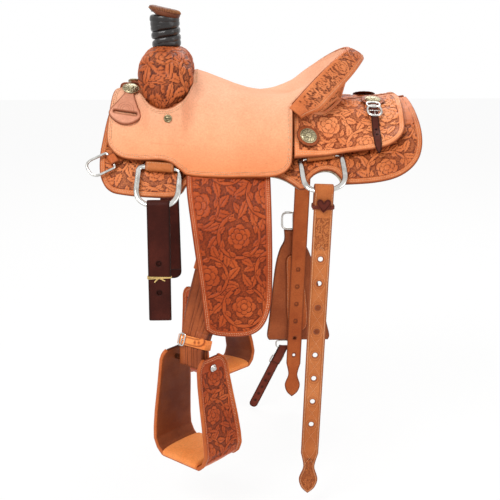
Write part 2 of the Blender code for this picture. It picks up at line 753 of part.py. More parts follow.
# Dees and the leathers that hold them
def dee_path(half, drop, corner=0.010, power=3.3):
    """Centre line of a dee in its own plane: bar on top, bow below."""
    points = []
    for k in range(11):
        angle = math.pi * k / 10
        c, s = math.cos(angle), math.sin(angle)
        points.append((math.copysign(abs(c) ** (2 / power), c) * half, -(drop - half) - half * s ** (2 / power)))
    for cx, start in ((-half + corner, math.pi), (half - corner, math.pi / 2)):
        for k in range(3):
            angle = start - math.pi / 2 * k / 2
            points.append((cx + corner * math.cos(angle), -corner + corner * math.sin(angle)))
    return points


def rounded(half_a, half_b, corner, steps=3):
    """Rounded rectangle, anticlockwise."""
    points = []
    for cx, cy, start in ((half_a, half_b, 0), (-half_a, half_b, 1), (-half_a, -half_b, 2), (half_a, -half_b, 3)):
        ox = cx - math.copysign(corner, cx)
        oy = cy - math.copysign(corner, cy)
        for k in range(steps + 1):
            angle = math.pi / 2 * (start + k / steps)
            points.append((ox + corner * math.cos(angle), oy + corner * math.sin(angle)))
    return points


def hang_frame(x, s, lift, side):
    """Frame on the back: X along the saddle, Y up the slope, Z outward."""
    place = back(x, side * s, lift)
    along = (back(x + 0.05, side * s, lift) - back(x - 0.05, side * s, lift)).normalized()
    out = normal_on_back(x, side * s)
    out = (out - along * out.dot(along)).normalized()
    up = out.cross(along)
    if up.z < 0:
        up = -up
    return Matrix.Translation(place) @ Matrix(((along.x, up.x, out.x), (along.y, up.y, out.y),
                                               (along.z, up.z, out.z))).to_4x4()


def dee_lift():
    return skirt_top() + GAP + STRAP_PLATE + RUNNING + DEE_BAR


def dee_frame(spot, side):
    return hang_frame(spot[0], spot[1], dee_lift(), side)


def make_dee(name, spot, side):
    frame = dee_frame(spot, side)
    path = [frame @ Vector((u, v, 0)) for u, v in dee_path(DEE_HALF, DEE_DROP)]
    out = frame.to_3x3() @ Vector((0, 0, 1))
    make(name, sweep(path, oval(DEE_BAR, DEE_BROAD), out, closed=True), "steel", pivot=frame.translation)


def make_rigging():
    """Rigging leathers: flat on the skirt, folded round the dee's top bar, and back over it."""
    around = DEE_BAR + RUNNING
    below = DEE_BROAD + RUNNING
    half = DEE_HALF - 0.014
    under_tail = 0.030
    over_tail = 0.012
    for word, side in SIDES:
        for end, spot in (("front", FRONT_DEE), ("rear", REAR_DEE)):
            frame = dee_frame(spot, side)

            def place(u, v, w, frame=frame):
                if v <= 0:
                    return frame @ Vector((u, -v, -around - w))
                if v >= LOOP_STEPS:
                    return frame @ Vector((u, v - LOOP_STEPS, around + w))
                turn = math.pi * v / LOOP_STEPS
                return frame @ Vector((u, -math.sin(turn) * (below + w), -math.cos(turn) * (around + w)))

            outline = [(-half, -under_tail), (half, -under_tail), (half, LOOP_STEPS + over_tail),
                       (-half, LOOP_STEPS + over_tail)]
            mesh = leather(outline, place, 0.0, STRAP_PLATE, step=(0.07, 0.015))
            make("rigging_{}_{}".format(end, word), mesh, "tan")


def make_breast_dees():
    for word, side in SIDES:
        frame = hang_frame(*BREAST_DEE, skirt_top() + BREAST_LIFT, side)
        turn = frame @ Matrix.Rotation(BREAST_TURN, 4, "Z")
        path = [turn @ Vector((u, v, 0)) for u, v in dee_path(0.021, 0.056, 0.006)]
        out = turn.to_3x3() @ Vector((0, 0, 1))
        make("breast_dee_" + word, sweep(path, oval(BREAST_WIRE, BREAST_WIRE, 6), out, closed=True), "steel",
             pivot=turn.translation)

        def place(u, v, w, turn=turn):
            reach = BREAST_WIRE + 0.0006 + w
            if v <= 0:
                return turn @ Vector((u, -v, -reach))
            if v >= LOOP_STEPS:
                return turn @ Vector((u, v - LOOP_STEPS, reach))
            bend = math.pi * v / LOOP_STEPS
            return turn @ Vector((u, -math.sin(bend) * reach, -math.cos(bend) * reach))

        outline = [(-0.0125, -0.030), (0.0125, -0.030), (0.0125, LOOP_STEPS + 0.014), (-0.0125, LOOP_STEPS + 0.014)]
        make("breast_tab_" + word, leather(outline, place, 0.0, 0.0025, step=(0.03, 0.015)), "brown")


# Straps that hang from the dees
def hanging_path(tail, drop, radius):
    """Ribbon round a bar: inner tail up, over the bar, and down the outer side."""
    points = [(-radius, -tail)]
    for k in range(7):
        angle = math.pi - math.pi * k / 6
        points.append((radius * math.cos(angle), radius * math.sin(angle)))
    points.append((radius, -drop))
    return points


def bow_point(spot, side):
    """Middle of a dee's bow at rest, where a strap hangs."""
    frame = dee_frame(spot, side)
    return frame @ Vector((0, -DEE_DROP, 0)) + Vector((0, 0, 0.0002))


def bow_radius():
    return DEE_BROAD + 0.0048


def turned_at(place, angle, axis):
    """Rotation of the whole frame about a point."""
    return Matrix.Translation(place) @ Matrix.Rotation(angle, 4, axis) @ Matrix.Translation(-Vector(place))


def make_latigo():
    place = bow_point(FRONT_DEE, NEAR) + Vector((STRAP_SHIFT, 0, 0))
    radius = bow_radius()
    thick = 0.0034
    path = hanging_path(0.160, 0.255, radius)
    path += [(radius - 0.0026, -0.2575), (radius - 0.0052, -0.2550), (radius - 0.0056, -0.060)]
    points = [place + Vector((0, -n, z)) for n, z in path]
    make("latigo", sweep(points, block(LATIGO_WIDTH / 2, thick / 2), (1, 0, 0)), "mahogany", pivot=place)


def make_off_billet():
    place = bow_point(FRONT_DEE, OFF) + Vector((STRAP_SHIFT, 0, 0))
    radius = bow_radius()
    points = [place + Vector((0, n, z)) for n, z in hanging_path(0.285, 0.315, radius)]
    make("off_billet", sweep(points, block(LATIGO_WIDTH / 2, 0.0017), (1, 0, 0)), "mahogany", pivot=place,
         turn=turned_at(place, -BILLET_LEAN / 2, "Y"))


def billet_outline(length):
    """Half-turn loop and tail above v = 0, strap and teardrop tip below it."""
    half = BILLET_WIDTH / 2
    right = [(half, LOOP_STEPS + 0.045), (half, 0.0), (half - 0.001, -(length - 0.100))]
    tip = spline([(half - 0.001, -(length - 0.100), 1), (0.0135, -(length - 0.074)), (0.0140, -(length - 0.060)),
                  (0.0215, -(length - 0.036)), (0.0150, -(length - 0.014)), (0.0, -length, 1)], per=3, closed=False)
    half_line = right[:-1] + tip
    return half_line + [(-u, v) for u, v in reversed(half_line[:-1])]


def billet_place(place, hand):
    radius = bow_radius()

    def at(u, v, w):
        reach = radius + w
        if v <= 0:
            return place + Vector((u, hand * reach, v))
        if v >= LOOP_STEPS:
            return place + Vector((u, -hand * reach, -(v - LOOP_STEPS)))
        bend = math.pi * v / LOOP_STEPS
        return place + Vector((u, hand * math.cos(bend) * reach, math.sin(bend) * reach))

    return at


def make_flank_billets():
    near = bow_point(REAR_DEE, NEAR) - Vector((STRAP_SHIFT, 0, 0.0012))
    turn = turned_at(near, BILLET_LEAN, "Y")
    holes = [circle(0, -FIRST_HOLE - HOLE_PITCH * k, HOLE, 8) for k in range(8)]
    mesh = leather(billet_outline(BILLET_LENGTH), billet_place(near, -1), 0.0, STRAP, step=(0.06, 0.03), holes=holes)
    make("flank_billet_near", mesh, "tan", pivot=near, turn=turn)
    keep = [near + Vector((a, b, -0.034))
            for a, b in rounded(BILLET_WIDTH / 2 + 0.0022, bow_radius() + STRAP + 0.0022, 0.004, 2)]
    make("lace_keeper", sweep(keep, block(0.0038, 0.0014), (0, 0, 1), closed=True), "mahogany", pivot=near,
         turn=turn)
    off = bow_point(REAR_DEE, OFF)
    mesh = leather(billet_outline(OFF_BILLET_LENGTH), billet_place(off, 1), 0.0, STRAP, step=(0.06, 0.03))
    make("flank_billet_off", mesh, "brown", pivot=off, turn=turned_at(off, BILLET_LEAN, "Y"))


# Fenders, stirrup leathers and stirrups
FENDER_SIDE = [(0.2030, -0.0880), (0.2165, -0.1020), (0.2270, -0.1140), (0.2450, -0.1390), (0.2665, -0.1740),
               (0.2845, -0.2150), (0.2955, -0.2600), (0.3000, -0.3100), (0.3000, -0.5200)]


def fender_depth(z):
    """Distance from the centre plane of the fender's inner face at a height."""
    for (y1, z1), (y2, z2) in zip(FENDER_SIDE, FENDER_SIDE[1:]):
        if z >= z2:
            return y1 + (y2 - y1) * (z - z1) / (z2 - z1)
    return FENDER_SIDE[-1][0]


def fender_tilt(z):
    low = fender_depth(z - 0.01)
    high = fender_depth(z + 0.01) if z + 0.01 < FENDER_SIDE[0][1] else fender_depth(z)
    run = 0.02 if z + 0.01 < FENDER_SIDE[0][1] else 0.01
    return Vector((0, run, low - high)).normalized()


def fender_pivot(side):
    return Vector((FENDER_X, side * fender_depth(FENDER_TOP), FENDER_TOP))


def rest_turn(side):
    """Turn that puts a fender and all it carries into its place at rest."""
    pivot = fender_pivot(side)
    return turned_at(pivot, OFF_SWING if side == OFF else 0.0, swing_axis(side))


def swing_axis(side):
    lean = fender_tilt(FENDER_TOP)
    return Vector((0, side * lean.y, lean.z))


def make_fenders():
    outline = spline([(-0.173, -0.088, 1), (-0.171, -0.140), (-0.160, -0.220), (-0.144, -0.339), (-0.133, -0.440, 1),
                      (-0.110, -0.452), (-0.061, -0.456), (-0.026, -0.449), (-0.002, -0.426), (0.012, -0.380),
                      (0.0145, -0.302), (0.0140, -0.200), (0.0130, -0.088, 1)], per=2)
    for word, side in SIDES:

        def place(x, z, w, side=side):
            lean = fender_tilt(z)
            return Vector((x, side * (fender_depth(z) + lean.y * w), z + lean.z * w))

        make("fender_" + word, leather(outline, place, 0.0, FENDER, step=(0.10, 0.030)), "carved",
             pivot=fender_pivot(side), turn=rest_turn(side))


def stirrup_axis(side):
    """Direction of the stirrup's bolt: from the inner, front panel to the outer, rear one."""
    return Vector((math.cos(STIRRUP_TWIST), side * math.sin(STIRRUP_TWIST), 0))


def bolt_place(side):
    return Vector((BOLT_X, side * BOLT_Y, BOLT_Z))


def leather_path(side):
    """Centre line of the stirrup leather, behind the fender and down to the bolt."""
    route = [(FENDER_X, 0.2186, -0.1120), (-0.084, 0.2382, -0.1400), (-0.093, 0.2700, -0.2050),
             (-0.103, 0.2795, -0.2600), (-0.120, 0.2815, -0.3200), (-0.140, 0.2760, -0.4000),
             (-0.152, 0.2730, -0.4500),
             (BOLT_X, BOLT_Y - 0.004, BOLT_Z + 0.028), (BOLT_X, BOLT_Y, BOLT_Z), (BOLT_X, BOLT_Y, BOLT_Z - 0.013)]
    points = [Vector((x, side * y, z)) for x, y, z in route]
    path = []
    for here, ahead in zip(points, points[1:]):
        steps = 4 if BOLT_Z < ahead.z < -0.35 else 1
        path += [here.lerp(ahead, k / steps) for k in range(steps)]
    return path + [points[-1]]


def make_stirrup_leathers():
    for word, side in SIDES:
        path = leather_path(side)
        sides_at = []
        sections = []
        twist = stirrup_axis(side)
        for point in path:
            turn = smooth_step(-point.z, 0.360, 0.500)
            sides_at.append((Vector((1, 0, 0)) * (1 - turn) + twist * turn).normalized())
            sections.append(0.0022 + 0.0028 * smooth_step(-point.z, 0.10, 0.20) + 0.0040 * turn)
        sections[-1] = 0.004
        rings = []
        for i, point in enumerate(path):
            along = (path[min(i + 1, len(path) - 1)] - path[max(i - 1, 0)]).normalized()
            wide = (sides_at[i] - along * sides_at[i].dot(along)).normalized()
            up = along.cross(wide)
            rings.append([point + wide * a + up * b for a, b in block(LEATHER_HALF, sections[i])])
        turn = rest_turn(side)
        thing = make("stirrup_leather_" + word, loft(rings), "tan", pivot=fender_pivot(side), turn=turn)
        cut = make("bolt_hole_cutter_" + word, turned([(0, -0.06), (BOLT_RADIUS + RUNNING, -0.06),
                                                       (BOLT_RADIUS + RUNNING, 0.06), (0, 0.06)], 12,
                                                      turn @ frame_at(bolt_place(side), twist)), "steel")
        cut.hide_render = True
        cut.display_type = "WIRE"
        drill(thing, cut)
        # Blevins sleeve and hobble strap are bands round the leather
        for name, z, height, play, kind in (("blevins_sleeve_", BLEVINS_Z, 0.050, SLEEVE_PLAY, "mahogany"),
                                            ("hobble_strap_", BOLT_Z + HOBBLE_RISE, 0.022, BAND_PLAY, "tan")):
            centre, wide, thin = leather_at(path, sides_at, sections, z)
            along = (leather_at(path, sides_at, sections, z - 0.01)[0]
                     - leather_at(path, sides_at, sections, z + 0.01)[0]).normalized()
            wide = (wide - along * wide.dot(along)).normalized()
            normal = along.cross(wide)
            reach = BAND_WALL / 2 + play
            ring = [centre + wide * a + normal * b
                    for a, b in rounded(LEATHER_HALF + reach, thin + reach, 0.003, 2)]
            make(name + word, sweep(ring, block(height / 2, BAND_WALL / 2), along, closed=True), kind,
                 pivot=fender_pivot(side), turn=turn)


def leather_at(path, sides_at, sections, z):
    for i in range(len(path) - 1):
        if path[i].z >= z >= path[i + 1].z:
            t = (path[i].z - z) / (path[i].z - path[i + 1].z)
            return (path[i].lerp(path[i + 1], t), (sides_at[i] * (1 - t) + sides_at[i + 1] * t).normalized(),
                    sections[i] * (1 - t) + sections[i + 1] * t)


def make_stirrups():
    neck = STIRRUP_NECK / 2
    wide = STIRRUP_WIDTH / 2 - PANEL / 2
    # height, half width to the middle of the panel and depth, from the top of the panel to the tread
    profile = [(0.024, neck - 0.003, 0.050), (0.015, neck, 0.076), (0.002, neck + 0.001, 0.088),
               (-0.030, neck + 0.004, 0.094), (-0.080, neck + 0.011, 0.101), (-0.125, neck + 0.018, 0.107),
               (-0.165, wide - 0.001, 0.111), (-0.192, wide, STIRRUP_DEPTH - 0.001),
               (-0.212, wide - 0.009, STIRRUP_DEPTH), (-STIRRUP_HEIGHT, wide - 0.024, STIRRUP_DEPTH),
               (-STIRRUP_HEIGHT, wide - 0.030, STIRRUP_DEPTH)]
    full = profile + [(z, -x, d) for z, x, d in profile[::-1]]
    bevel = 0.0030
    for word, side in SIDES:
        axis = stirrup_axis(side)
        holder = empty("stirrup_pivot_" + word, (0, 0, 0))
        holder.matrix_world = (rest_turn(side) @ Matrix.Translation(bolt_place(side))
                               @ Matrix.Rotation(math.atan2(axis.y, axis.x), 4, "Z"))
        rings = []
        for i, (z, x, depth) in enumerate(full):
            ahead = full[min(i + 1, len(full) - 1)]
            behind = full[max(i - 1, 0)]
            along = Vector((ahead[1] - behind[1], 0, ahead[0] - behind[0])).normalized()
            inward = Vector((along.z, 0, -along.x))
            half = depth / 2
            outer = PANEL / 2
            inner = PANEL / 2 + (TREAD_PAD if abs(x) < wide - 0.029 else 0.0)
            ring = []
            for a, b in ((-half, -outer + bevel), (-half + bevel, -outer), (half - bevel, -outer),
                         (half, -outer + bevel), (half, inner - bevel), (half - bevel, inner),
                         (-half + bevel, inner), (-half, inner - bevel)):
                ring.append(Vector((x, a, z)) + inward * b)
            rings.append(ring)
        rotate = Matrix.Rotation(STIRRUP_LEAN * side, 4, "X")
        thing = make("stirrup_" + word, loft([[rotate @ p for p in ring] for ring in rings]), "carved",
                     parent=holder)
        bolt = make("bolt_blank_" + word, turned([(0, -neck), (BOLT_RADIUS, -neck), (BOLT_RADIUS, neck), (0, neck)],
                                                 12, Matrix.Rotation(math.pi / 2, 4, "Y")), "steel", parent=holder)
        bolt.hide_render = True
        bolt.display_type = "WIRE"
        join = thing.modifiers.new("bolt", "BOOLEAN")
        join.operation = "UNION"
        join.solver = "EXACT"
        join.object = bolt




# Conchos, rosettes, screws and the slotted hangers
def on_seat(x, s, height, side):
    """Point and outward normal on the seat's top face."""
    here = seat_point(x, s, height)
    du = seat_point(x + 0.004, s, height) - here
    dv = seat_point(x, s + 0.004, height) - here
    out = du.cross(dv).normalized()
    if out.z < 0:
        out = -out
    return Vector((here.x, side * here.y, here.z)), Vector((out.x, side * out.y, out.z))


def scalloped(radius, count=14, depth=0.0010):
    """Edge of a rosette: a ring of small rounded teeth."""
    ring = []
    for k in range(count * 2):
        angle = math.pi * k / count
        reach = radius + (depth if k % 2 else -depth)
        ring.append((reach * math.cos(angle), reach * math.sin(angle)))
    return ring


def make_concho(name, place, out, radius, rosette, along=(1, 0, 0)):
    """Domed silver disc; with a rosette, its scalloped leather is the foot of the same piece."""
    frame = frame_at(place, out, along)
    lift = 0.0004
    outlines = []
    count = 28 if rosette else 18
    if rosette:
        outlines += [(scalloped(rosette), lift), (scalloped(rosette), lift + 0.0022)]
        lift += 0.0022
    for share, rise in ((0.94, 0.0), (1.0, 0.0010), (0.88, 0.0022), (0.55, 0.0036), (0.15, 0.0044)):
        outlines.append((circle(0, 0, radius * share, count), lift + rise))
    rings = [[frame @ Vector((u, v, z)) for u, v in outline] for outline, z in outlines]
    make(name, loft(rings), "antique")


def hanger_outline():
    """Keyhole shaped leather under the front concho: narrow neck, broad slotted foot."""
    right = [(0.0105, -0.012), (0.0110, 0.014), (0.0230, 0.040), (0.0350, 0.058), (0.0345, 0.068), (0.0190, 0.078),
             (0.0, 0.082)]
    outline = right + [(-u, v) for u, v in reversed(right[:-1])]
    return spline(outline, per=1)


def slot(half, width, v):
    end = [(half + width * math.cos(a), v + width * math.sin(a)) for a in (-math.pi / 2, 0, math.pi / 2)]
    return end + [(-half - width * math.cos(a), v - width * math.sin(a)) for a in (-math.pi / 2, 0, math.pi / 2)]


def make_front_trim():
    for word, side in SIDES:
        spot, out = on_seat(HANGER_X, HANGER_S, SEAT_LEATHER, side)

        def place(u, v, w, side=side):
            # swung a little forward at the foot, and standing off the seat there
            x = HANGER_X + u - 0.16 * v
            point, normal = on_seat(x, HANGER_S + v * 0.98, SEAT_LEATHER, side)
            return point + normal * (0.0012 + 0.0022 * smooth_step(v, 0.01, 0.05) + w)

        mesh = leather(hanger_outline(), place, 0.0, 0.0036, step=(0.03, 0.02), holes=[slot(0.0240, 0.0022, 0.060)])
        make("slotted_hanger_" + word, mesh, "carved")
        make_concho("front_concho_" + word, spot + out * 0.0052, out, 0.0190, 0)


def rear_jockey_point(x, s, height, side):
    lift = jockey_lift(x, s)
    point = back(x, s, lift + height)
    top = back(x, s, lift + JOCKEY)
    point.z += raised(top, x, 1 - smooth_step(x, 0.060, 0.150)) - top.z
    return Vector((point.x, side * point.y, point.z))


def on_rear_jockey(x, s, height, side):
    here = rear_jockey_point(x, s, height, side)
    du = rear_jockey_point(x + 0.004, s, height, side) - here
    dv = rear_jockey_point(x, s + 0.004, height, side) - here
    out = du.cross(dv).normalized()
    return here, out if out.z > 0 else -out


def make_rear_trim():
    for word, side in SIDES:
        spot, out = on_rear_jockey(0.098, 0.186, JOCKEY, side)
        make_concho("cantle_concho_" + word, spot + out * 0.0018, out, 0.0195, 0.0265)
        spot, out = on_rear_jockey(STRING_X, 0.062, JOCKEY, side)
        make_concho("rear_concho_" + word, spot + out * 0.0022, out, 0.0185, 0.0270)

        # String strap: from under the concho down over the jockey, with a pointed end
        def place(u, v, w, side=side):
            s = 0.062 + 0.020 + v
            point, normal = on_rear_jockey(STRING_X - 0.004 + u - 0.02 * v, s, JOCKEY, side)
            clear = 0.0007 + 0.0048 * smooth_step(v, 0.0, 0.01) - 0.0041 * smooth_step(v, 0.05, 0.09)
            return point + normal * (clear + w)

        outline = [(-0.0065, 0.008), (0.0065, 0.008), (0.0065, 0.100), (0.0060, 0.128), (0.0005, 0.142),
                   (-0.0055, 0.128), (-0.0065, 0.100)]
        make("string_strap_" + word, leather(outline, place, 0.0, 0.0022, step=(0.02, 0.02)), "brown")


# Flank cinch on the off side
def ring_path(half_width, half_height, power=0.45, count=16):
    points = []
    for k in range(count):
        angle = 2 * math.pi * (k + 0.5) / count
        c, s = math.cos(angle), math.sin(angle)
        points.append((math.copysign(abs(c) ** power, c) * half_width, math.copysign(abs(s) ** power, s) * half_height))
    return points


def cinch_origin():
    return bow_point(REAR_DEE, OFF) + Vector((CINCH_SHIFT, bow_radius() + STRAP + 0.0031, -CINCH_DROP))


def cinch_pivot():
    """The cinch hangs from the roller, the upper side of its buckle."""
    return cinch_origin() + Vector((0, 0, BUCKLE_TOP))


def cinch_dee_place():
    return cinch_origin() + Vector((-0.0240, 0.0058, -0.3351))


def connector_place():
    return cinch_dee_place() - Vector((0, 0, 0.0200))


def make_flank_cinch():
    place = cinch_origin()
    ring = [place + Vector((u, 0, v + 0.012)) for u, v in ring_path(0.0300, 0.0230)]
    make("cinch_buckle", sweep(ring, oval(0.0024, 0.0030, 6), (0, 1, 0), closed=True), "steel",
         pivot=cinch_pivot())

    def body(u, v, w):
        # v = 0 is the bar of the buckle; the two layers of the folded cinch hang below it
        swell = 0.0030 * smooth_step(-v, 0.02, 0.10) * (1 - smooth_step(-v, 0.27, 0.319))
        return place + Vector((u - 0.06 * v, 0.0058 + (w - 0.5) * 2 * (0.0050 + swell), v - 0.0138))

    half = [(0.0245, 0.0), (0.0255, -0.030), (0.0400, -0.058), (0.0540, -0.105), (0.0680, -0.185), (0.0810, -0.265),
            (0.0880, -0.305), (0.0830, -0.3190)]
    outline = half + [(-u, v) for u, v in reversed(half)]
    make("flank_cinch", leather(outline, body, 0, 1, step=(0.06, 0.04)), "brown", pivot=cinch_pivot())
    hang = cinch_dee_place()
    centre = hang - Vector((0, 0, 0.0100))
    ring = [centre + Vector((u, 0, v)) for u, v in rounded(0.0200, 0.0100, 0.005, 2)]
    make("cinch_dee", sweep(ring, oval(0.0018, 0.0018, 6), (0, 1, 0), closed=True), "steel", pivot=hang)
    lean = math.radians(26)
    down = Vector((-math.sin(lean), 0, -math.cos(lean)))
    wide = Vector((1, 0, 0))
    top = connector_place()
    loop = 0.0046
    path = [top + down * 0.050 + Vector((0, -loop, 0))]
    for k in range(7):
        angle = math.pi * k / 6
        path.append(top - down * (math.sin(angle) * loop) + Vector((0, -math.cos(angle) * loop, 0)))
    path.append(top + down * 0.200 + Vector((0, loop, 0)))
    rings = []
    for i, point in enumerate(path):
        ahead = path[min(i + 1, len(path) - 1)]
        behind = path[max(i - 1, 0)]
        along = (ahead - behind).normalized()
        up = along.cross(wide).normalized()
        rings.append([point + wide * a + up * b for a, b in block(0.0120, 0.0015)])
    make("connecting_strap", loft(rings), "mahogany", pivot=top)
    place2 = top + down * 0.040 + Vector((0, loop + 0.0031, 0))
    ring = [place2 + wide * u + down * v for u, v in ring_path(0.0165, 0.0140)]
    make("connector_buckle", sweep(ring, oval(0.0015, 0.0018, 6), (0, 1, 0), closed=True), "steel", pivot=top)


def main():
    clear_scene()
    make_skirts()
    make_bars()
    make_fork()
    make_horn()
    make_seat()
    make_cantle()
    make_rear_jockeys()
    make_front_trim()
    make_rear_trim()
    make_rigging()
    for word, side in SIDES:
        make_dee("front_dee_" + word, FRONT_DEE, side)
        make_dee("rear_dee_" + word, REAR_DEE, side)
    make_breast_dees()
    make_latigo()
    make_off_billet()
    make_flank_billets()
    make_flank_cinch()
    make_fenders()
    make_stirrup_leathers()
    make_stirrups()


main()
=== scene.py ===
# Looks of the roping saddle: leather, carving, stitching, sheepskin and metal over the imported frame
import json
import math

import bmesh
import bpy
import numpy as np
from mathutils import Matrix, Vector
from mathutils.kdtree import KDTree

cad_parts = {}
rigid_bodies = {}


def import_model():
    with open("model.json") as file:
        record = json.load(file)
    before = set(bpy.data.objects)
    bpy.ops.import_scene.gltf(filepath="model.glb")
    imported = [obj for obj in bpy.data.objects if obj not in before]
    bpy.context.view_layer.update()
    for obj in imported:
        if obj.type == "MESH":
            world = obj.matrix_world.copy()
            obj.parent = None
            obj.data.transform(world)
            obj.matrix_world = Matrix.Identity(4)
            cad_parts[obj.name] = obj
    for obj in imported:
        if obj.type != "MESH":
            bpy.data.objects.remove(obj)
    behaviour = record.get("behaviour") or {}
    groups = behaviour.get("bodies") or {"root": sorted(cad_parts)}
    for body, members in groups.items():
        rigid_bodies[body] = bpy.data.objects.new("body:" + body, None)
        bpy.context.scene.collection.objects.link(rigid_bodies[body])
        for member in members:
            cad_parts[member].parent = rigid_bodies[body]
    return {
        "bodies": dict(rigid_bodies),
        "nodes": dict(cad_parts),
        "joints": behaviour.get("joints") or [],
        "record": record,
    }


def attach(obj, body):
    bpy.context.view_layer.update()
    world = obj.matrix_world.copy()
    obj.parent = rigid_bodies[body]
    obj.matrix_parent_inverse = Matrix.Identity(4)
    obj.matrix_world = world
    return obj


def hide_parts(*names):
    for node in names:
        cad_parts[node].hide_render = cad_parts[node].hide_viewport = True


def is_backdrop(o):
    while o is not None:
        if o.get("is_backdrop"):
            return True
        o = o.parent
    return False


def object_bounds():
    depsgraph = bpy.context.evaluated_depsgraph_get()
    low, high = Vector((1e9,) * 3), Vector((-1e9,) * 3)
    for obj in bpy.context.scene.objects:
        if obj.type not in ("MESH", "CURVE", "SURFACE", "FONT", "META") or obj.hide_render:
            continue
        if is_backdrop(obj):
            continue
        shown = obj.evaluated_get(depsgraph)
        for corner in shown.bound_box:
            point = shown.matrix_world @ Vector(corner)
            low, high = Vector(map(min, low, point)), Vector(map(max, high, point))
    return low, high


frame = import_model()


def plain(box):
    return [[float(v) for v in corner] for corner in box]


SIZE = {"start": plain(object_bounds())}
SIDES = (("near", -1), ("off", 1))

# Sizes taken from the solids
GAP = 0.0004
SEAM_GAP = 0.0006
BACK_HALF = 0.352
SLOPE_FRONT = math.radians(20)
SLOPE_REAR = math.radians(7)
RIB_CURVE = 2.45
ROCK_FRONT = 0.038
ROCK_REAR = 0.030
FLEECE = 0.012
SKIRT = 0.005
JOCKEY = 0.0045
JOCKEY_CLEAR = 0.0155
SEAT_LEATHER = 0.0045
BAR_THICK = 0.021
SKIRT_TOP = FLEECE + GAP + SKIRT
SEAT_LOW = 0.052
SEAT_FRONT = -0.152
RIM_REAR = 0.203
RIM_TOP = 0.160
RIM_SWEEP = 0.137
RIM_DROP = 0.112
RIM_HALF = 0.172


# Stage: pale floor, soft lights and the camera at the photograph's angle
CAMERA_PLACE = (-0.1112, -2.4985, 0.29)
CAMERA_RIGHT = (0.99939, -0.0349, 0.0)
CAMERA_LOOK = (0.0339, 0.9697, -0.2419)
CAMERA_FOCAL = 1045.0            # in pixels of a frame of FRAME_PIXELS
FRAME_PIXELS = 500
SENSOR = 36.0                    # width of the sensor, in mm
WORLD_STRENGTH = 0.60
WORLD_TINT = (1.0, 0.985, 0.97, 1)
WHITE = (1, 1, 1, 1)
FLOOR_HALF = 9.0
FLOOR_CLEAR = 0.004              # floor below the lowest strap
FLOOR_COLOUR = (0.96, 0.96, 0.96, 1)
FLOOR_GLOW = 0.90                # share of plain white that the camera sees in the floor
LAMP_AIM = Vector((0, 0, -0.10))
# name, place, size and power
LAMPS = (("key", (-1.6, -2.4, 2.6), (1.6, 1.6), 92.0), ("fill", (2.6, -2.0, 1.2), (2.0, 2.0), 26.0),
         ("back", (0.4, 2.4, 2.2), (2.2, 1.6), 40.0))


def math_node(tree, kind, first, second):
    """Math on two values, each a socket or a number."""
    node = tree.nodes.new("ShaderNodeMath")
    node.operation = kind
    for socket, value in zip(node.inputs, (first, second)):
        if isinstance(value, (int, float)):
            socket.default_value = value
        else:
            tree.links.new(value, socket)
    return node.outputs[0]


def white_rays(tree):
    """Share of white: camera, glossy and transmission rays see the white backdrop."""
    path = tree.nodes.new("ShaderNodeLightPath")
    seen = math_node(tree, "MAXIMUM", path.outputs["Is Camera Ray"], path.outputs["Is Glossy Ray"])
    return math_node(tree, "MAXIMUM", seen, path.outputs["Is Transmission Ray"])


def shader_node(tree, kind, colour, strength=None):
    node = tree.nodes.new(kind)
    node.inputs["Color"].default_value = colour
    if strength is not None:
        node.inputs["Strength"].default_value = strength
    return node.outputs[0]


def mixed(tree, out_kind, share, plain_shader, white_shader):
    """Output of a tree: the plain shader, and the white one for the share of the rays given."""
    mix = tree.nodes.new("ShaderNodeMixShader")
    out = tree.nodes.new(out_kind)
    for socket, value in zip(mix.inputs, (share, plain_shader, white_shader)):
        tree.links.new(value, socket)
    tree.links.new(mix.outputs[0], out.inputs[0])


def make_world(scene):
    scene.world = bpy.data.worlds.new("studio")
    scene.world.use_nodes = True
    tree = scene.world.node_tree
    tree.nodes.clear()
    mixed(tree, "ShaderNodeOutputWorld", white_rays(tree),
          shader_node(tree, "ShaderNodeBackground", WORLD_TINT, WORLD_STRENGTH),
          shader_node(tree, "ShaderNodeBackground", WHITE, 1.0))


def make_floor(scene):
    mesh = bpy.data.meshes.new("floor")
    corners = [(a * FLOOR_HALF, b * FLOOR_HALF, 0) for a, b in ((-1, -1), (1, -1), (1, 1), (-1, 1))]
    mesh.from_pydata(corners, [], [(0, 1, 2, 3)])
    floor = bpy.data.objects.new("floor", mesh)
    floor.location = (0, 0, SIZE["start"][0][2] - FLOOR_CLEAR)
    scene.collection.objects.link(floor)
    paint = bpy.data.materials.new("floor")
    paint.use_nodes = True
    tree = paint.node_tree
    tree.nodes.clear()
    mixed(tree, "ShaderNodeOutputMaterial", math_node(tree, "MULTIPLY", white_rays(tree), FLOOR_GLOW),
          shader_node(tree, "ShaderNodeBsdfDiffuse", FLOOR_COLOUR),
          shader_node(tree, "ShaderNodeEmission", WHITE, 1.0))
    mesh.materials.append(paint)
    floor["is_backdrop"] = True


def make_lamps(scene):
    for name, place, size, power in LAMPS:
        lamp = bpy.data.lights.new(name, "AREA")
        lamp.shape = "RECTANGLE"
        lamp.size, lamp.size_y = size
        lamp.energy = power
        holder = bpy.data.objects.new(name, lamp)
        holder.location = place
        holder.rotation_euler = (LAMP_AIM - Vector(place)).to_track_quat("-Z", "Y").to_euler()
        scene.collection.objects.link(holder)


def make_camera(scene):
    lens = bpy.data.cameras.new("camera")
    lens.sensor_fit = "HORIZONTAL"
    lens.sensor_width = SENSOR
    lens.lens = SENSOR * CAMERA_FOCAL / FRAME_PIXELS
    lens.clip_start = 0.05
    eye = bpy.data.objects.new("camera", lens)
    look = Vector(CAMERA_LOOK).normalized()
    right = Vector(CAMERA_RIGHT).normalized()
    up = right.cross(look)
    rows = [(right[k], up[k], -look[k], CAMERA_PLACE[k]) for k in range(3)]
    eye.matrix_world = Matrix((*rows, (0, 0, 0, 1)))
    scene.collection.objects.link(eye)
    scene.camera = eye


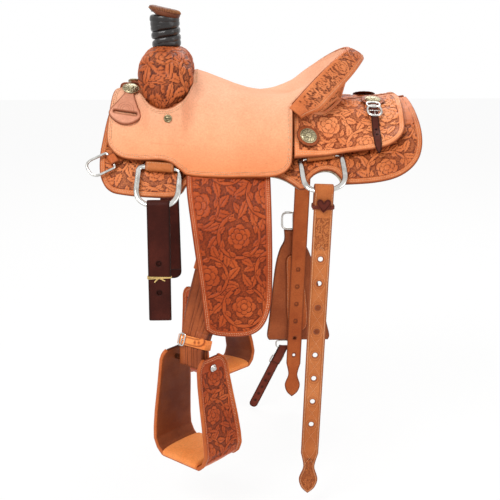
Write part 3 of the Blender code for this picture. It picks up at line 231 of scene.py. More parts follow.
def make_stage():
    scene = bpy.context.scene
    scene.view_settings.view_transform = "Standard"
    make_world(scene)
    make_floor(scene)
    make_lamps(scene)
    make_camera(scene)


# Materials
def grey(value):
    return (value, value, value)


def nodes_of(name):
    """New material with its node tree, its shader and the object's coordinates."""
    paint = bpy.data.materials.new(name)
    paint.use_nodes = True
    tree = paint.node_tree
    shader = tree.nodes["Principled BSDF"]
    coords = tree.nodes.new("ShaderNodeTexCoord")
    return paint, tree, shader, coords.outputs["Object"]


def noise(tree, coords, scale, detail=3.0, roughness=0.55, stretch=None):
    """Noise of a size; stretch gives it a grain along an axis."""
    node = tree.nodes.new("ShaderNodeTexNoise")
    node.inputs["Scale"].default_value = scale
    node.inputs["Detail"].default_value = detail
    node.inputs["Roughness"].default_value = roughness
    if stretch:
        mapping = tree.nodes.new("ShaderNodeMapping")
        mapping.inputs["Scale"].default_value = stretch
        tree.links.new(coords, mapping.inputs["Vector"])
        coords = mapping.outputs[0]
    tree.links.new(coords, node.inputs["Vector"])
    return node.outputs["Fac"]


def ramp(tree, value, stops):
    """Colours by value, from (place, colour) pairs."""
    node = tree.nodes.new("ShaderNodeValToRGB")
    band = node.color_ramp
    while len(band.elements) < len(stops):
        band.elements.new(0.5)
    for element, (place, colour) in zip(band.elements, stops):
        element.position = place
        element.color = (*colour, 1)
    tree.links.new(value, node.inputs["Fac"])
    return node.outputs["Color"]


def blend_colour(tree, kind, share, a, b):
    """Two colours mixed by a share, which is a number or a socket; b may be a fixed colour."""
    node = tree.nodes.new("ShaderNodeMix")
    node.data_type = "RGBA"
    node.blend_type = kind
    if isinstance(share, (int, float)):
        node.inputs["Factor"].default_value = share
    else:
        tree.links.new(share, node.inputs["Factor"])
    tree.links.new(a, node.inputs["A"])
    if isinstance(b, tuple):
        node.inputs["B"].default_value = (*b, 1)
    else:
        tree.links.new(b, node.inputs["B"])
    return node.outputs["Result"]


def bump(tree, shader, height, distance, strength=1.0, below=None):
    """Bump on the shader's normal, on top of the normal below."""
    node = tree.nodes.new("ShaderNodeBump")
    node.inputs["Distance"].default_value = distance
    node.inputs["Strength"].default_value = strength
    tree.links.new(height, node.inputs["Height"])
    if below is not None:
        tree.links.new(below, node.inputs["Normal"])
    tree.links.new(node.outputs["Normal"], shader.inputs["Normal"])
    return node.outputs["Normal"]


def attribute(tree, name):
    node = tree.nodes.new("ShaderNodeAttribute")
    node.attribute_name = name
    return node.outputs["Fac"]


def set_rough(tree, shader, value, span):
    """Roughness between two values, in patches."""
    gloss = ramp(tree, value, [(0.3, grey(span[0])), (0.7, grey(span[1]))])
    tree.links.new(gloss, shader.inputs["Roughness"])


def grain(tree, coords, scale):
    """Pebbled leather grain: fine cells broken up by noise."""
    cells = tree.nodes.new("ShaderNodeTexVoronoi")
    cells.inputs["Scale"].default_value = scale
    tree.links.new(coords, cells.inputs["Vector"])
    return math_node(tree, "ADD", cells.outputs["Distance"], noise(tree, coords, scale * 0.45, 4.0))


# Painted shade by height: the seat's colour is darker and redder low down and unchanged at the top
SHADE_SPAN = (-0.115, 0.075)         # heights over which the painted shade on the seat fades out upward
SHADE_MIDDLE = (1.0, 0.87, 0.74)


def height_share(tree, coords):
    """0 at the lower end of SHADE_SPAN and 1 at its upper end."""
    height = tree.nodes.new("ShaderNodeSeparateXYZ")
    tree.links.new(coords, height.inputs[0])
    spread = tree.nodes.new("ShaderNodeMapRange")
    spread.inputs["From Min"].default_value, spread.inputs["From Max"].default_value = SHADE_SPAN
    tree.links.new(height.outputs["Z"], spread.inputs["Value"])
    return spread.outputs[0]


def leather_paint(name, low, mid, high, recess=None, rough=(0.38, 0.55), grain_size=700.0, fuzz=0.0,
                  edge=None, depth=0.00035, height_shade=None, shine=0.20):
    """Oiled leather: tone shifts over the hide, fine grain, painted shade in recesses and a dark finish
    on edges.

    recess is the colour of the painted shade in recesses and edge that of the dark finish on edges, fuzz
    the sheen of a roughout side, and height_shade the painted shade that the leather has at its lowest,
    fading out upward."""
    paint, tree, shader, coords = nodes_of(name)
    tone = noise(tree, coords, 9.0, 5.0, 0.6)
    colour = ramp(tree, tone, [(0.34, low), (0.50, mid), (0.66, high)])
    fleck = ramp(tree, noise(tree, coords, 260.0, 4.0, 0.7),
                 [(0.35, grey(0.80)), (0.65, grey(1.08))])
    colour = blend_colour(tree, "MULTIPLY", 0.75, colour, fleck)
    if height_shade:
        # painted shade by height: darker and redder low down, unchanged at the top
        shaded_by_height = ramp(tree, height_share(tree, coords),
                     [(0.0, height_shade), (0.5, SHADE_MIDDLE), (1.0, grey(1.0))])
        colour = blend_colour(tree, "MULTIPLY", 1.0, colour, shaded_by_height)
    if recess:
        # painted shade: where the carve value is low (cuts and recesses of carving, creases, stitch
        # channels) the colour goes to the recess colour
        darkening = ramp(tree, attribute(tree, "carve"),
                     [(0.0, grey(1)), (0.25, grey(0.80)), (0.52, grey(0.32)), (0.82, grey(0))])
        colour = blend_colour(tree, "MIX", darkening, colour, recess)
    if edge:
        rim = ramp(tree, attribute(tree, "edge"),
                   [(0.0, grey(1)), (0.45, grey(0.6)), (0.9, grey(0))])
        colour = blend_colour(tree, "MIX", rim, colour, edge)
    tree.links.new(colour, shader.inputs["Base Color"])
    set_rough(tree, shader, noise(tree, coords, 40.0, 4.0), rough)
    shader.inputs["Specular IOR Level"].default_value = shine
    if fuzz:
        shader.inputs["Sheen Weight"].default_value = fuzz
        shader.inputs["Sheen Roughness"].default_value = 0.5
        shader.inputs["Sheen Tint"].default_value = (*high, 1)
    broad = noise(tree, coords, 55.0, 3.0)
    first = bump(tree, shader, broad, 0.0012, 0.35)
    bump(tree, shader, grain(tree, coords, grain_size), depth, 0.6, first)
    return paint


def fleece_paint(name, low, high):
    """Sheepskin: cream curls, with painted shade in the hollows between them."""
    paint, tree, shader, coords = nodes_of(name)
    cells = tree.nodes.new("ShaderNodeTexVoronoi")
    cells.feature = "SMOOTH_F1"
    cells.inputs["Scale"].default_value = 150.0
    bent = tree.nodes.new("ShaderNodeVectorMath")
    bent.operation = "MULTIPLY_ADD"
    wave = tree.nodes.new("ShaderNodeTexNoise")
    wave.inputs["Scale"].default_value = 60.0
    tree.links.new(coords, wave.inputs["Vector"])
    tree.links.new(wave.outputs["Color"], bent.inputs[0])
    bent.inputs[1].default_value = grey(0.012)
    tree.links.new(coords, bent.inputs[2])
    tree.links.new(bent.outputs[0], cells.inputs["Vector"])
    curl = cells.outputs["Distance"]
    # painted shade: darker where the curls' bump is lowest
    colour = ramp(tree, curl, [(0.15, high), (0.75, low)])
    colour = blend_colour(tree, "MULTIPLY", 0.5, colour,
                          ramp(tree, noise(tree, coords, 14.0, 4.0),
                               [(0.3, (0.72, 0.70, 0.66)), (0.7, (1, 1, 1))]))
    tree.links.new(colour, shader.inputs["Base Color"])
    shader.inputs["Roughness"].default_value = 0.95
    shader.inputs["Sheen Weight"].default_value = 0.35
    shader.inputs["Specular IOR Level"].default_value = 0.1
    first = bump(tree, shader, noise(tree, coords, 420.0, 4.0, 0.7), 0.0012, 0.5)
    bump(tree, shader, math_node(tree, "MULTIPLY", curl, -1.0), 0.004, 0.8, first)
    return paint


def metal_paint(name, colour, rough=(0.16, 0.34), tarnish=None, recess=None):
    """Worn plated metal: fine scratches, soft stains, dark finish in engraved lines."""
    paint, tree, shader, coords = nodes_of(name)
    darkening = tarnish or tuple(c * 0.72 for c in colour)
    base = ramp(tree, noise(tree, coords, 55.0, 5.0, 0.65), [(0.33, darkening), (0.60, colour)])
    if recess:
        dark = ramp(tree, attribute(tree, "carve"),
                    [(0.0, grey(1)), (0.5, grey(0.25)), (0.8, grey(0))])
        base = blend_colour(tree, "MIX", dark, base, recess)
    tree.links.new(base, shader.inputs["Base Color"])
    shader.inputs["Metallic"].default_value = 1.0
    set_rough(tree, shader, noise(tree, coords, 130.0, 5.0, 0.7), rough)
    first = bump(tree, shader, noise(tree, coords, 700.0, 2.0, 0.6, (1.0, 0.12, 1.0)), 0.00012, 0.5)
    bump(tree, shader, noise(tree, coords, 190.0, 3.0), 0.0004, 0.25, first)
    return paint


def rubber_paint(name):
    """Black rubber with dust on it."""
    paint, tree, shader, coords = nodes_of(name)
    dust = noise(tree, coords, 30.0, 5.0, 0.65)
    colour = ramp(tree, dust, [(0.35, (0.008, 0.006, 0.006)), (0.55, (0.014, 0.011, 0.010)),
                               (0.74, (0.040, 0.032, 0.028))])
    tree.links.new(colour, shader.inputs["Base Color"])
    set_rough(tree, shader, noise(tree, coords, 60.0, 4.0), (0.20, 0.38))
    first = bump(tree, shader, noise(tree, coords, 900.0, 3.0), 0.0002, 0.5)
    bump(tree, shader, noise(tree, coords, 90.0, 3.0), 0.0010, 0.4, first)
    return paint


def rawhide_paint(name):
    """Covering of the tree: cream rawhide with fibres and yellowed patches."""
    paint, tree, shader, coords = nodes_of(name)
    tone = noise(tree, coords, 13.0, 6.0, 0.6, (1.0, 0.5, 1.0))
    colour = ramp(tree, tone, [(0.32, (0.42, 0.30, 0.15)), (0.5, (0.62, 0.50, 0.31)),
                               (0.68, (0.72, 0.63, 0.45))])
    tree.links.new(colour, shader.inputs["Base Color"])
    set_rough(tree, shader, noise(tree, coords, 70.0, 3.0), (0.42, 0.68))
    first = bump(tree, shader, noise(tree, coords, 500.0, 3.0, 0.6, (0.15, 1.0, 1.0)), 0.0003, 0.5)
    bump(tree, shader, noise(tree, coords, 45.0, 4.0), 0.0015, 0.4, first)
    return paint


# The surfaces of the solids, as functions of numpy arrays
def smooth_step(value, low, high):
    share = np.clip((np.asarray(value, float) - low) / (high - low), 0, 1)
    return share * share * (3 - 2 * share)


def stack(x, y, z):
    """Points from three arrays or numbers."""
    x, y, z = np.broadcast_arrays(x, y, z)
    return np.stack([x, y, z], -1).astype(float)


def slope_at(x):
    """Slope of the back beside the spine."""
    return SLOPE_FRONT + (SLOPE_REAR - SLOPE_FRONT) * (x + BACK_HALF) / (2 * BACK_HALF)


def ridge_at(x):
    """Height of the back's ridge."""
    return np.where(x < 0, ROCK_FRONT, ROCK_REAR) * (x / BACK_HALF) ** 2


def back(x, s, lift=0.0):
    """Point on the horse's back: x along it, s down its side, lift off its surface."""
    x, s = np.asarray(x, float), np.asarray(s, float)
    start = slope_at(x)
    here = start + RIB_CURVE * np.abs(s)
    hand = np.where(s < 0, -1.0, 1.0)
    y = (np.sin(here) - np.sin(start)) / RIB_CURVE + lift * np.sin(here)
    z = ridge_at(x) - (np.cos(start) - np.cos(here)) / RIB_CURVE + lift * np.cos(here)
    return stack(x, hand * y, z)


def bar_lift(x, s):
    """Height of the top of the tree's bars over the back."""
    s = np.abs(s)
    across = smooth_step(s, 0.010, 0.060) * (1 - 0.75 * smooth_step(s, 0.115, 0.185))
    along = 1 - 0.7 * smooth_step(np.abs(x + 0.005), 0.19, 0.30)
    return SKIRT_TOP + SEAM_GAP + 0.004 + BAR_THICK * across * along


def jockey_lift(x, s):
    """Height of the seat's and jockeys' underside over the back."""
    share = smooth_step(np.abs(s), 0.150, 0.205)
    return (bar_lift(x, s) + 0.0009) * (1 - share) + (SKIRT_TOP + JOCKEY_CLEAR) * share


# Height of the seat on its centre line, by x
SEAT_LINE = (
    (-0.36, -0.30, -0.24, -0.19, -0.16, -0.128, -0.095, -0.062, -0.029, 0.005, 0.038, 0.071, 0.40),
    (0.086, 0.078, 0.070, 0.075, 0.110, 0.100, 0.087, 0.074, 0.063, 0.055, SEAT_LOW, SEAT_LOW - 0.001,
     SEAT_LOW))


def rim_at(share):
    """Rim of the cantle: share -1 and 1 at its ends, 0 in the middle."""
    a = np.abs(share)
    return stack(RIM_REAR - RIM_SWEEP * a ** 1.8, RIM_HALF * share, RIM_TOP - RIM_DROP * a ** 2.2)


def raised(point, x, keep=1.0):
    """Height of a point of the jockeys, lifted to the seat's line near the centre."""
    y = np.abs(point[..., 1])
    rearward = smooth_step(x, -0.12, 0.05)
    share = (1 - smooth_step((y - 0.045 - 0.045 * rearward) / 0.145, 0, 1)) * keep
    dish = smooth_step(x, -0.05, 0.08)
    flat = np.interp(x, *SEAT_LINE) + y * y * (0.9 * dish - 0.9 * (1 - dish))
    return point[..., 2] + (flat - point[..., 2]) * share


def seat_point(x, s, height):
    """Seat leather: off the bars, up to the cantle's rim at its rear."""
    x, s = np.asarray(x, float), np.asarray(s, float)
    lift = jockey_lift(x, s)
    point = back(x, s, lift + height)
    top = back(x, s, lift + SEAT_LEATHER)
    z = raised(top, x)
    y = np.abs(point[..., 1])
    rim = rim_at(np.minimum(1.0, y / RIM_HALF))
    along = np.clip((x - (rim[..., 0] - 0.125)) / 0.125, 0, 1)
    fade = 1 - smooth_step(y, RIM_HALF, RIM_HALF + 0.045)
    z = z + (rim[..., 2] - z) * along ** (1.9 + 1.5 * np.minimum(1.0, y / RIM_HALF) ** 2) * fade
    point[..., 2] += z - top[..., 2]
    return point


APRON_S = 0.182                    # down the side, where the seat starts to turn up to the swell


def seat_place(x, s, height):
    """The seat's surface, turned up against the foot of the swell on both sides."""
    point = seat_point(x, s, height)
    x, s = np.asarray(x, float), np.asarray(s, float)
    hand = np.where(s < 0, -1.0, 1.0)
    run = np.clip(APRON_S - np.abs(s), 0, 0.14)
    foot = seat_point(x, hand * APRON_S, 0.0)
    round_off = 1 - np.exp(-run / 0.020)
    turned = stack(foot[..., 0],
                   foot[..., 1] + hand * (0.06 * run - 0.012 * round_off + 0.998 * height),
                   foot[..., 2] + run - 0.005 * round_off - 0.06 * height)
    share = smooth_step(x, -0.285, -0.250) * (1
                                              - smooth_step(x, -0.185,
                                                            -0.145)) * smooth_step(run, 0.0, 0.012)
    return point + (turned - point) * share[..., None]


def rear_jockey_point(x, s, height):
    """Rear jockey: off the bars, level with the seat where it passes under it."""
    x, s = np.asarray(x, float), np.asarray(s, float)
    lift = jockey_lift(x, s)
    point = back(x, s, lift + height)
    top = back(x, s, lift + JOCKEY)
    point[..., 2] += raised(top, x, 1 - smooth_step(x, 0.060, 0.150)) - top[..., 2]
    return point


def down_side(x, y, lift):
    """Distance s down the side at which the surface is y off the centre plane."""
    low, high = 0.0, 0.40
    for _ in range(30):
        middle = (low + high) / 2
        if back(x, middle, lift(x, middle))[1] < abs(y):
            low = middle
        else:
            high = middle
    return low


def height_on(x, y, lift):
    s = down_side(x, y, lift)
    return back(x, s, lift(x, s))[2]


def spline(points, per=4, closed=True):
    """Smooth outline through points; a point given with a third value is a corner."""
    count = len(points)
    result = []
    for i in range(count if closed else count - 1):
        near = [points[(i + k) % count] if closed else points[min(max(i + k, 0), count - 1)]
                for k in (-1, 0, 1, 2)]
        if len(near[1]) > 2:
            near[0] = near[1]
        if len(near[2]) > 2:
            near[3] = near[2]
        a, b, c, d = [np.array(p[:2], float) for p in near]
        for k in range(per):
            t = k / per
            result.append(0.5 * ((2 * b) + (c - a) * t + (2 * a - 5 * b + 4 * c - d) * t * t
                                 + (3 * b - a - 3 * c + d) * t ** 3))
    if not closed:
        result.append(np.array(points[-1][:2], float))
    return np.array(result)


def dense(loop, step):
    """Loop with points every step or less."""
    loop = np.asarray(loop, float)
    result = []
    for a, b in zip(loop, np.roll(loop, -1, 0)):
        pieces = max(1, int(math.ceil(np.hypot(*(b - a)) / step)))
        result += [a + (b - a) * k / pieces for k in range(pieces)]
    return np.array(result)


def inside(points, loop):
    """Which points lie inside a loop."""
    x, y = points[:, 0], points[:, 1]
    hit = np.zeros(len(points), bool)
    for (x1, y1), (x2, y2) in zip(loop, np.roll(loop, -1, 0)):
        if y1 == y2:
            continue
        cross = (y1 > y) != (y2 > y)
        hit ^= cross & (x < (x2 - x1) * (y - y1) / (y2 - y1) + x1)
    return hit


def distance(points, loop, far=0.03):
    """Signed distance to a loop, positive inside, and nearest point; past far, only the sign."""
    fine = dense(loop, 0.0012)
    tree = KDTree(len(fine))
    for i, p in enumerate(fine):
        tree.insert((p[0], p[1], 0), i)
    tree.balance()
    count = len(fine)
    away = np.full(len(points), far)
    near = np.zeros((len(points), 2))
    low, high = fine.min(0) - far, fine.max(0) + far
    within = ((points > low) & (points < high)).all(1)
    for i in np.nonzero(within)[0]:
        px, py = points[i]
        _, k, d = tree.find((px, py, 0))
        if d > far:
            continue
        best = None
        for a, b in ((fine[k - 1], fine[k]), (fine[k], fine[(k + 1) % count])):
            dx, dy = b[0] - a[0], b[1] - a[1]
            size = dx * dx + dy * dy
            t = 0.0 if size == 0 else min(1.0, max(0.0,
                                                   ((px - a[0]) * dx + (py - a[1]) * dy) / size))
            qx, qy = a[0] + t * dx, a[1] + t * dy
            gap = math.hypot(px - qx, py - qy)
            if best is None or gap < best[0]:
                best = (gap, qx, qy)
        away[i] = min(far, best[0])
        near[i] = best[1:]
    sign = np.where(inside(points, np.asarray(loop, float)), 1.0, -1.0)
    return away * sign, near


def new_mesh(name, points, faces, paint, values=None):
    """Smooth mesh object with the point values carve and edge, which the paints read."""
    mesh = bpy.data.meshes.new(name)
    points = np.asarray(points, np.float32)
    mesh.vertices.add(len(points))
    mesh.vertices.foreach_set("co", points.ravel())
    if isinstance(faces, np.ndarray):
        sizes = np.full(len(faces), faces.shape[1], np.int32)
        flat = faces.astype(np.int32).ravel()
    else:
        sizes = np.array([len(f) for f in faces], np.int32)
        flat = np.concatenate([np.asarray(f, np.int32) for f in faces])
    mesh.loops.add(len(flat))
    mesh.loops.foreach_set("vertex_index", flat)
    mesh.polygons.add(len(sizes))
    mesh.polygons.foreach_set("loop_start",
                              np.concatenate([[0], np.cumsum(sizes)[:-1]]).astype(np.int32))
    mesh.polygons.foreach_set("loop_total", sizes)
    mesh.update(calc_edges=True)
    mesh.validate()
    plain_leather = {"carve": np.ones(len(points)), "edge": np.ones(len(points))}
    for key, value in {**plain_leather, **(values or {})}.items():
        layer = mesh.attributes.new(key, "FLOAT", "POINT")
        layer.data.foreach_set("value", np.asarray(value, np.float32))
    thing = bpy.data.objects.new(name, mesh)
    mesh.materials.append(paint)
    bpy.context.scene.collection.objects.link(thing)
    mesh.shade_smooth()
    return thing


def unit(v):
    return v / np.maximum(1e-12, np.linalg.norm(v, axis=-1))[..., None]


def run_of(line):
    """Distance along a line of points, 0 at its start."""
    return np.concatenate([[0], np.cumsum(np.linalg.norm(np.diff(line, axis=0), axis=1))])


def chords(path):
    """Direction at each point of an open path, from its neighbours."""
    return np.concatenate([path[1:2] - path[:1], path[2:] - path[:-2], path[-1:] - path[-2:-1]])


def square_to(along, side):
    """The direction or directions side, made square to along at each point."""
    across = np.broadcast_to(np.asarray(side, float), along.shape).copy()
    across -= along * (across * along).sum(1)[:, None]
    return across / np.linalg.norm(across, axis=1)[:, None]


def rounded_top(inset, thick, radius):
    """Height of a skived top face at a distance in from the edge."""
    t = np.clip(inset / radius, 0, 1)
    return thick - radius * (1 - np.sqrt(np.clip(1 - (1 - t) ** 2, 0, 1)))


def sheet(name, outline, place, thick, paint, step=0.002, relief=None, holes=(), under=3,
          edge_round=None, lower=0.0, under_relief=None):
    """Fine leather sheet: a grid cut to the outline, its top carved by relief(u, v, inset).

    relief gives heights and carve values, and place(u, v, w) takes arrays. Border points are moved
    onto the outline; a coarser grid closes the underside."""
    outline = np.asarray(outline, float)
    radius = edge_round if edge_round is not None else 0.55 * thick
    low, high = outline.min(0), outline.max(0)
    parts = []
    for coarse in (1, under):
        pitch = step * coarse
        counts = np.maximum(2, np.ceil((high - low) / pitch).astype(int) + 1)
        us = low[0] + (high[0] - low[0]) * np.arange(counts[0] + 1) / counts[0]
        vs = low[1] + (high[1] - low[1]) * np.arange(counts[1] + 1) / counts[1]
        grid = np.stack(np.meshgrid(us, vs, indexing="ij"), -1).reshape(-1, 2)
        inset, near = distance(grid, outline, far=0.035)
        for hole in holes:
            gap, spot = distance(grid, np.asarray(hole, float), far=0.02)
            closer = -gap < inset
            near[closer] = spot[closer]
            inset = np.minimum(inset, -gap)
        columns = counts[1] + 1
        index = np.arange(len(grid)).reshape(counts[0] + 1, columns)
        quads = np.stack([index[:-1, :-1], index[1:, :-1], index[1:, 1:], index[:-1, 1:]],
                         -1).reshape(-1, 4)
        reach = -0.42 * pitch
        keep = (inset[quads] > reach).all(1)
        quads = quads[keep]
        border = np.concatenate([quads[:, [0, 1]], quads[:, [1, 2]], quads[:, [2, 3]],
                                 quads[:, [3, 0]]])
        ordered = np.sort(border, 1)
        code = ordered[:, 0].astype(np.int64) * len(grid) + ordered[:, 1]
        _, first, times = np.unique(code, return_index=True, return_counts=True)
        border = border[first[times == 1]]
        rim = np.unique(border)
        spots = grid.copy()
        moved = rim[np.abs(inset[rim]) < 0.034]
        spots[moved] = near[moved]
        inset = inset.copy()
        inset[rim] = 0.0
        used = np.unique(quads)
        back_map = np.full(len(grid), -1)
        back_map[used] = np.arange(len(used))
        parts.append((spots[used], inset[used], back_map[quads], back_map[border]))
    top, inset, quads, border = parts[0]
    height = rounded_top(inset, thick, radius)
    carve = np.ones(len(top))
    if relief is not None:
        raise_by, carve = relief(top[:, 0], top[:, 1], inset)
        height = height + raise_by
    upper = place(top[:, 0], top[:, 1], height)
    rim = np.unique(border)
    rim_map = np.full(len(top), -1)
    rim_map[rim] = len(top) + np.arange(len(rim))
    foot = place(top[rim, 0], top[rim, 1], np.full(len(rim), lower))
    walls = np.stack([border[:, 1], border[:, 0], rim_map[border[:, 0]], rim_map[border[:, 1]]], -1)
    bottom, inset_b, quads_b, _ = parts[1]
    first = len(top) + len(rim)
    depth = np.full(len(bottom), lower)
    if under_relief is not None:
        depth = depth + under_relief(bottom[:, 0], bottom[:, 1], inset_b)
    under_points = place(bottom[:, 0], bottom[:, 1], depth)
    faces = np.concatenate([quads, walls, quads_b[:, ::-1] + first])
    points = np.concatenate([upper, foot, under_points])
    normal = np.cross(upper[quads[:, 1]] - upper[quads[:, 0]],
                      upper[quads[:, 3]] - upper[quads[:, 0]]).sum(0)
    outward = (upper[:len(top)] - place(top[:, 0], top[:, 1], height - 0.001)).sum(0)
    if float(np.dot(normal, outward)) < 0:
        faces = faces[:, ::-1]
    values = {"carve": np.concatenate([carve, np.ones(len(rim)), np.ones(len(bottom))]),
              "edge": np.concatenate([np.clip(inset / 0.004, 0, 1), np.zeros(len(rim)),
                                      np.clip(inset_b / 0.004, 0, 1)])}
    return new_mesh(name, points, faces, paint, values=values)


def sweep(path, section, side, closed=False, scales=None):
    """Section (a, b) carried along a path; side is a vector, or one for each point."""
    path = np.asarray(path, float)
    section = np.asarray(section, float)
    along = np.roll(path, -1, 0) - np.roll(path, 1, 0) if closed else chords(path)
    along /= np.linalg.norm(along, axis=1)[:, None]
    across = square_to(along, side)
    up = np.cross(along, across)
    size = np.ones(len(path)) if scales is None else np.asarray(scales, float)
    points = (path[:, None] + across[:, None] * (section[None, :, :1] * size[:, None, None])
              + up[:, None] * (section[None, :, 1:2] * size[:, None, None]))
    return loft(points, closed)


def loft(rings, closed=False):
    """Points and faces of a skin over rings, with caps unless the row of rings is closed."""
    rings = np.asarray(rings, float)
    count, width = rings.shape[:2]
    index = np.arange(count * width).reshape(count, width)
    here = index if closed else index[:-1]
    there = np.roll(index, -1, 0) if closed else index[1:]
    quads = np.stack([here, np.roll(here, -1, 1), np.roll(there, -1, 1), there], -1).reshape(-1, 4)
    faces = [list(q) for q in quads.tolist()]
    if not closed:
        faces.append(index[0][::-1].tolist())
        faces.append(index[-1].tolist())
    return rings.reshape(-1, 3), faces


def joined(*parts):
    """Several (points, faces) as one."""
    points, faces = [], []
    start = 0
    for p, f in parts:
        points.append(np.asarray(p, float))
        faces += [[k + start for k in face] for face in f]
        start += len(p)
    return np.concatenate(points), faces


def outward(thing):
    """Turn the faces of closed shapes outward."""
    work = bmesh.new()
    work.from_mesh(thing.data)
    bmesh.ops.recalc_face_normals(work, faces=work.faces)
    work.to_mesh(thing.data)
    work.free()
    return thing


def shape(name, parts, paint, values=None):
    """One piece from closed parts, each with its points and faces."""
    return outward(new_mesh(name, *joined(*parts), PAINT[paint], values=values))


def oval(a, b, count=16):
    angle = 2 * np.pi * np.arange(count) / count
    return np.stack([a * np.cos(angle), b * np.sin(angle)], -1)


def block(a, b, c):
    """Section of half sizes a and b with its corners cut by c."""
    return np.array([(a, -b + c), (a, b - c), (a - c, b), (-a + c, b), (-a, b - c), (-a, -b + c),
                     (-a + c, -b), (a - c, -b)])


def superring(half_u, half_v, power, count):
    """Rounded box for small powers, ellipse for 1."""
    angle = 2 * np.pi * (np.arange(count) + 0.5) / count
    c, s = np.cos(angle), np.sin(angle)
    return np.stack([np.sign(c) * np.abs(c) ** power * half_u,
                     np.sign(s) * np.abs(s) ** power * half_v], -1)


def turn_about(place, angle, axis):
    """Rotation about a point."""
    return Matrix.Translation(place) @ Matrix.Rotation(angle, 4,
                                                       axis) @ Matrix.Translation(-Vector(place))


def moved(points, matrix):
    m = np.array(matrix)
    return np.asarray(points, float) @ m[:3, :3].T + m[:3, 3]


def frame_at(place, axis, along=(1, 0, 0)):
    """Frame with its Z on axis and its X as near as can be to along."""
    axis = Vector(axis).normalized()
    side = Vector(along)
    side = (side - axis * side.dot(axis)).normalized()
    up = axis.cross(side)
    return Matrix.Translation(place) @ Matrix(((side.x, up.x, axis.x), (side.y, up.y, axis.y),
                                               (side.z, up.z, axis.z))).to_4x4()


def lathe(profile, sides, matrix):
    """Turned shape from (radius, height) pairs, closed at both ends."""
    angle = 2 * np.pi * np.arange(sides) / sides
    rings = [np.stack([max(r, 1e-5) * np.cos(angle), max(r, 1e-5) * np.sin(angle),
                       np.full(sides, z)], -1) for r, z in profile]
    points, faces = loft(np.array(rings))
    return moved(points, matrix), faces


# Stitching
THREAD_SINK = 0.0002               # stitches start this far below the face
EDGE_ROWS = (0.0050, 0.0088)       # the two rows of stitches along the skirts, jockeys and fenders
STITCH_TOP = 0.0008                # height of a stitch over its ends


def stitch_row(outline, place, height, inset, keep=None, pitch=0.0038, length=0.0028, width=0.0014):
    """Points and faces of stitches along an outline moved in by inset, where keep(u, v) holds."""
    loop = dense(outline, 0.0008)
    ahead = np.roll(loop, -3, 0) - np.roll(loop, 3, 0)
    ahead /= np.maximum(1e-9, np.linalg.norm(ahead, axis=1))[:, None]
    inner = np.stack([-ahead[:, 1], ahead[:, 0]], -1)
    area = np.sum(loop[:, 0] * np.roll(loop[:, 1], -1) - np.roll(loop[:, 0], -1) * loop[:, 1])
    line = loop + inner * (inset if area > 0 else -inset)
    away, _ = distance(line, outline, far=inset + 0.004)
    good = away > inset - 0.0003
    if keep is not None:
        good &= keep(line[:, 0], line[:, 1])
    run = run_of(line)
    spots = np.arange(0.001, run[-1], pitch)
    index = np.minimum(np.searchsorted(run, spots), len(line) - 1)
    index = index[good[index]]
    if len(index) == 0:
        return np.zeros((0, 3)), []
    centre = line[index]
    along = np.roll(line, -2, 0)[index] - np.roll(line, 2, 0)[index]
    along /= np.maximum(1e-9, np.linalg.norm(along, axis=1))[:, None]
    across = np.stack([-along[:, 1], along[:, 0]], -1)
    h, w = length / 2, width / 2
    low, high = -THREAD_SINK, THREAD_SINK
    corners = ((-h, 0, low), (-h * 0.4, w, high), (h * 0.4, w, high), (h, 0, low),
               (h * 0.4, -w, high), (-h * 0.4, -w, high), (-h * 0.45, 0, STITCH_TOP),
               (h * 0.45, 0, STITCH_TOP))
    rows = []
    for a, b, c in corners:
        spot = centre + along * a + across * b
        rows.append(place(spot[:, 0], spot[:, 1], np.full(len(centre), height) + c))
    points = np.stack(rows, 1).reshape(-1, 3)
    local = [(0, 1, 6), (1, 2, 7, 6), (2, 3, 7), (3, 4, 7), (4, 5, 6, 7), (5, 0, 6),
             (0, 5, 4, 3, 2, 1)]
    faces = [[k + 8 * i for k in face] for i in range(len(centre)) for face in local]
    return points, faces


def stitching(name, rows, paint="thread"):
    return shape(name, [row for row in rows if row[1]], paint)


# Floral carving: one repeating tile of flowers, stems and leaves over a matted ground
TILE = 0.150
TILE_POINTS = 500
CUT_LEVEL = -1.2                   # lowest level of the tile that is carved
FACE_LEVEL = 0.75                  # level of the tile that lies in the leather's face
# place, radius, petals and turn of each flower
FLOWERS = ((0.036, 0.037, 0.0210, 5, 0.2), (0.111, 0.040, 0.0185, 6, 0.9),
           (0.040, 0.112, 0.0185, 6, 0.5), (0.113, 0.113, 0.0210, 5, 1.3))
OUTER_LEAVES, OUTER_RING = 11, 0.0335
INNER_LEAVES, INNER_RING = 8, 0.029
STEM_RING = 0.0305


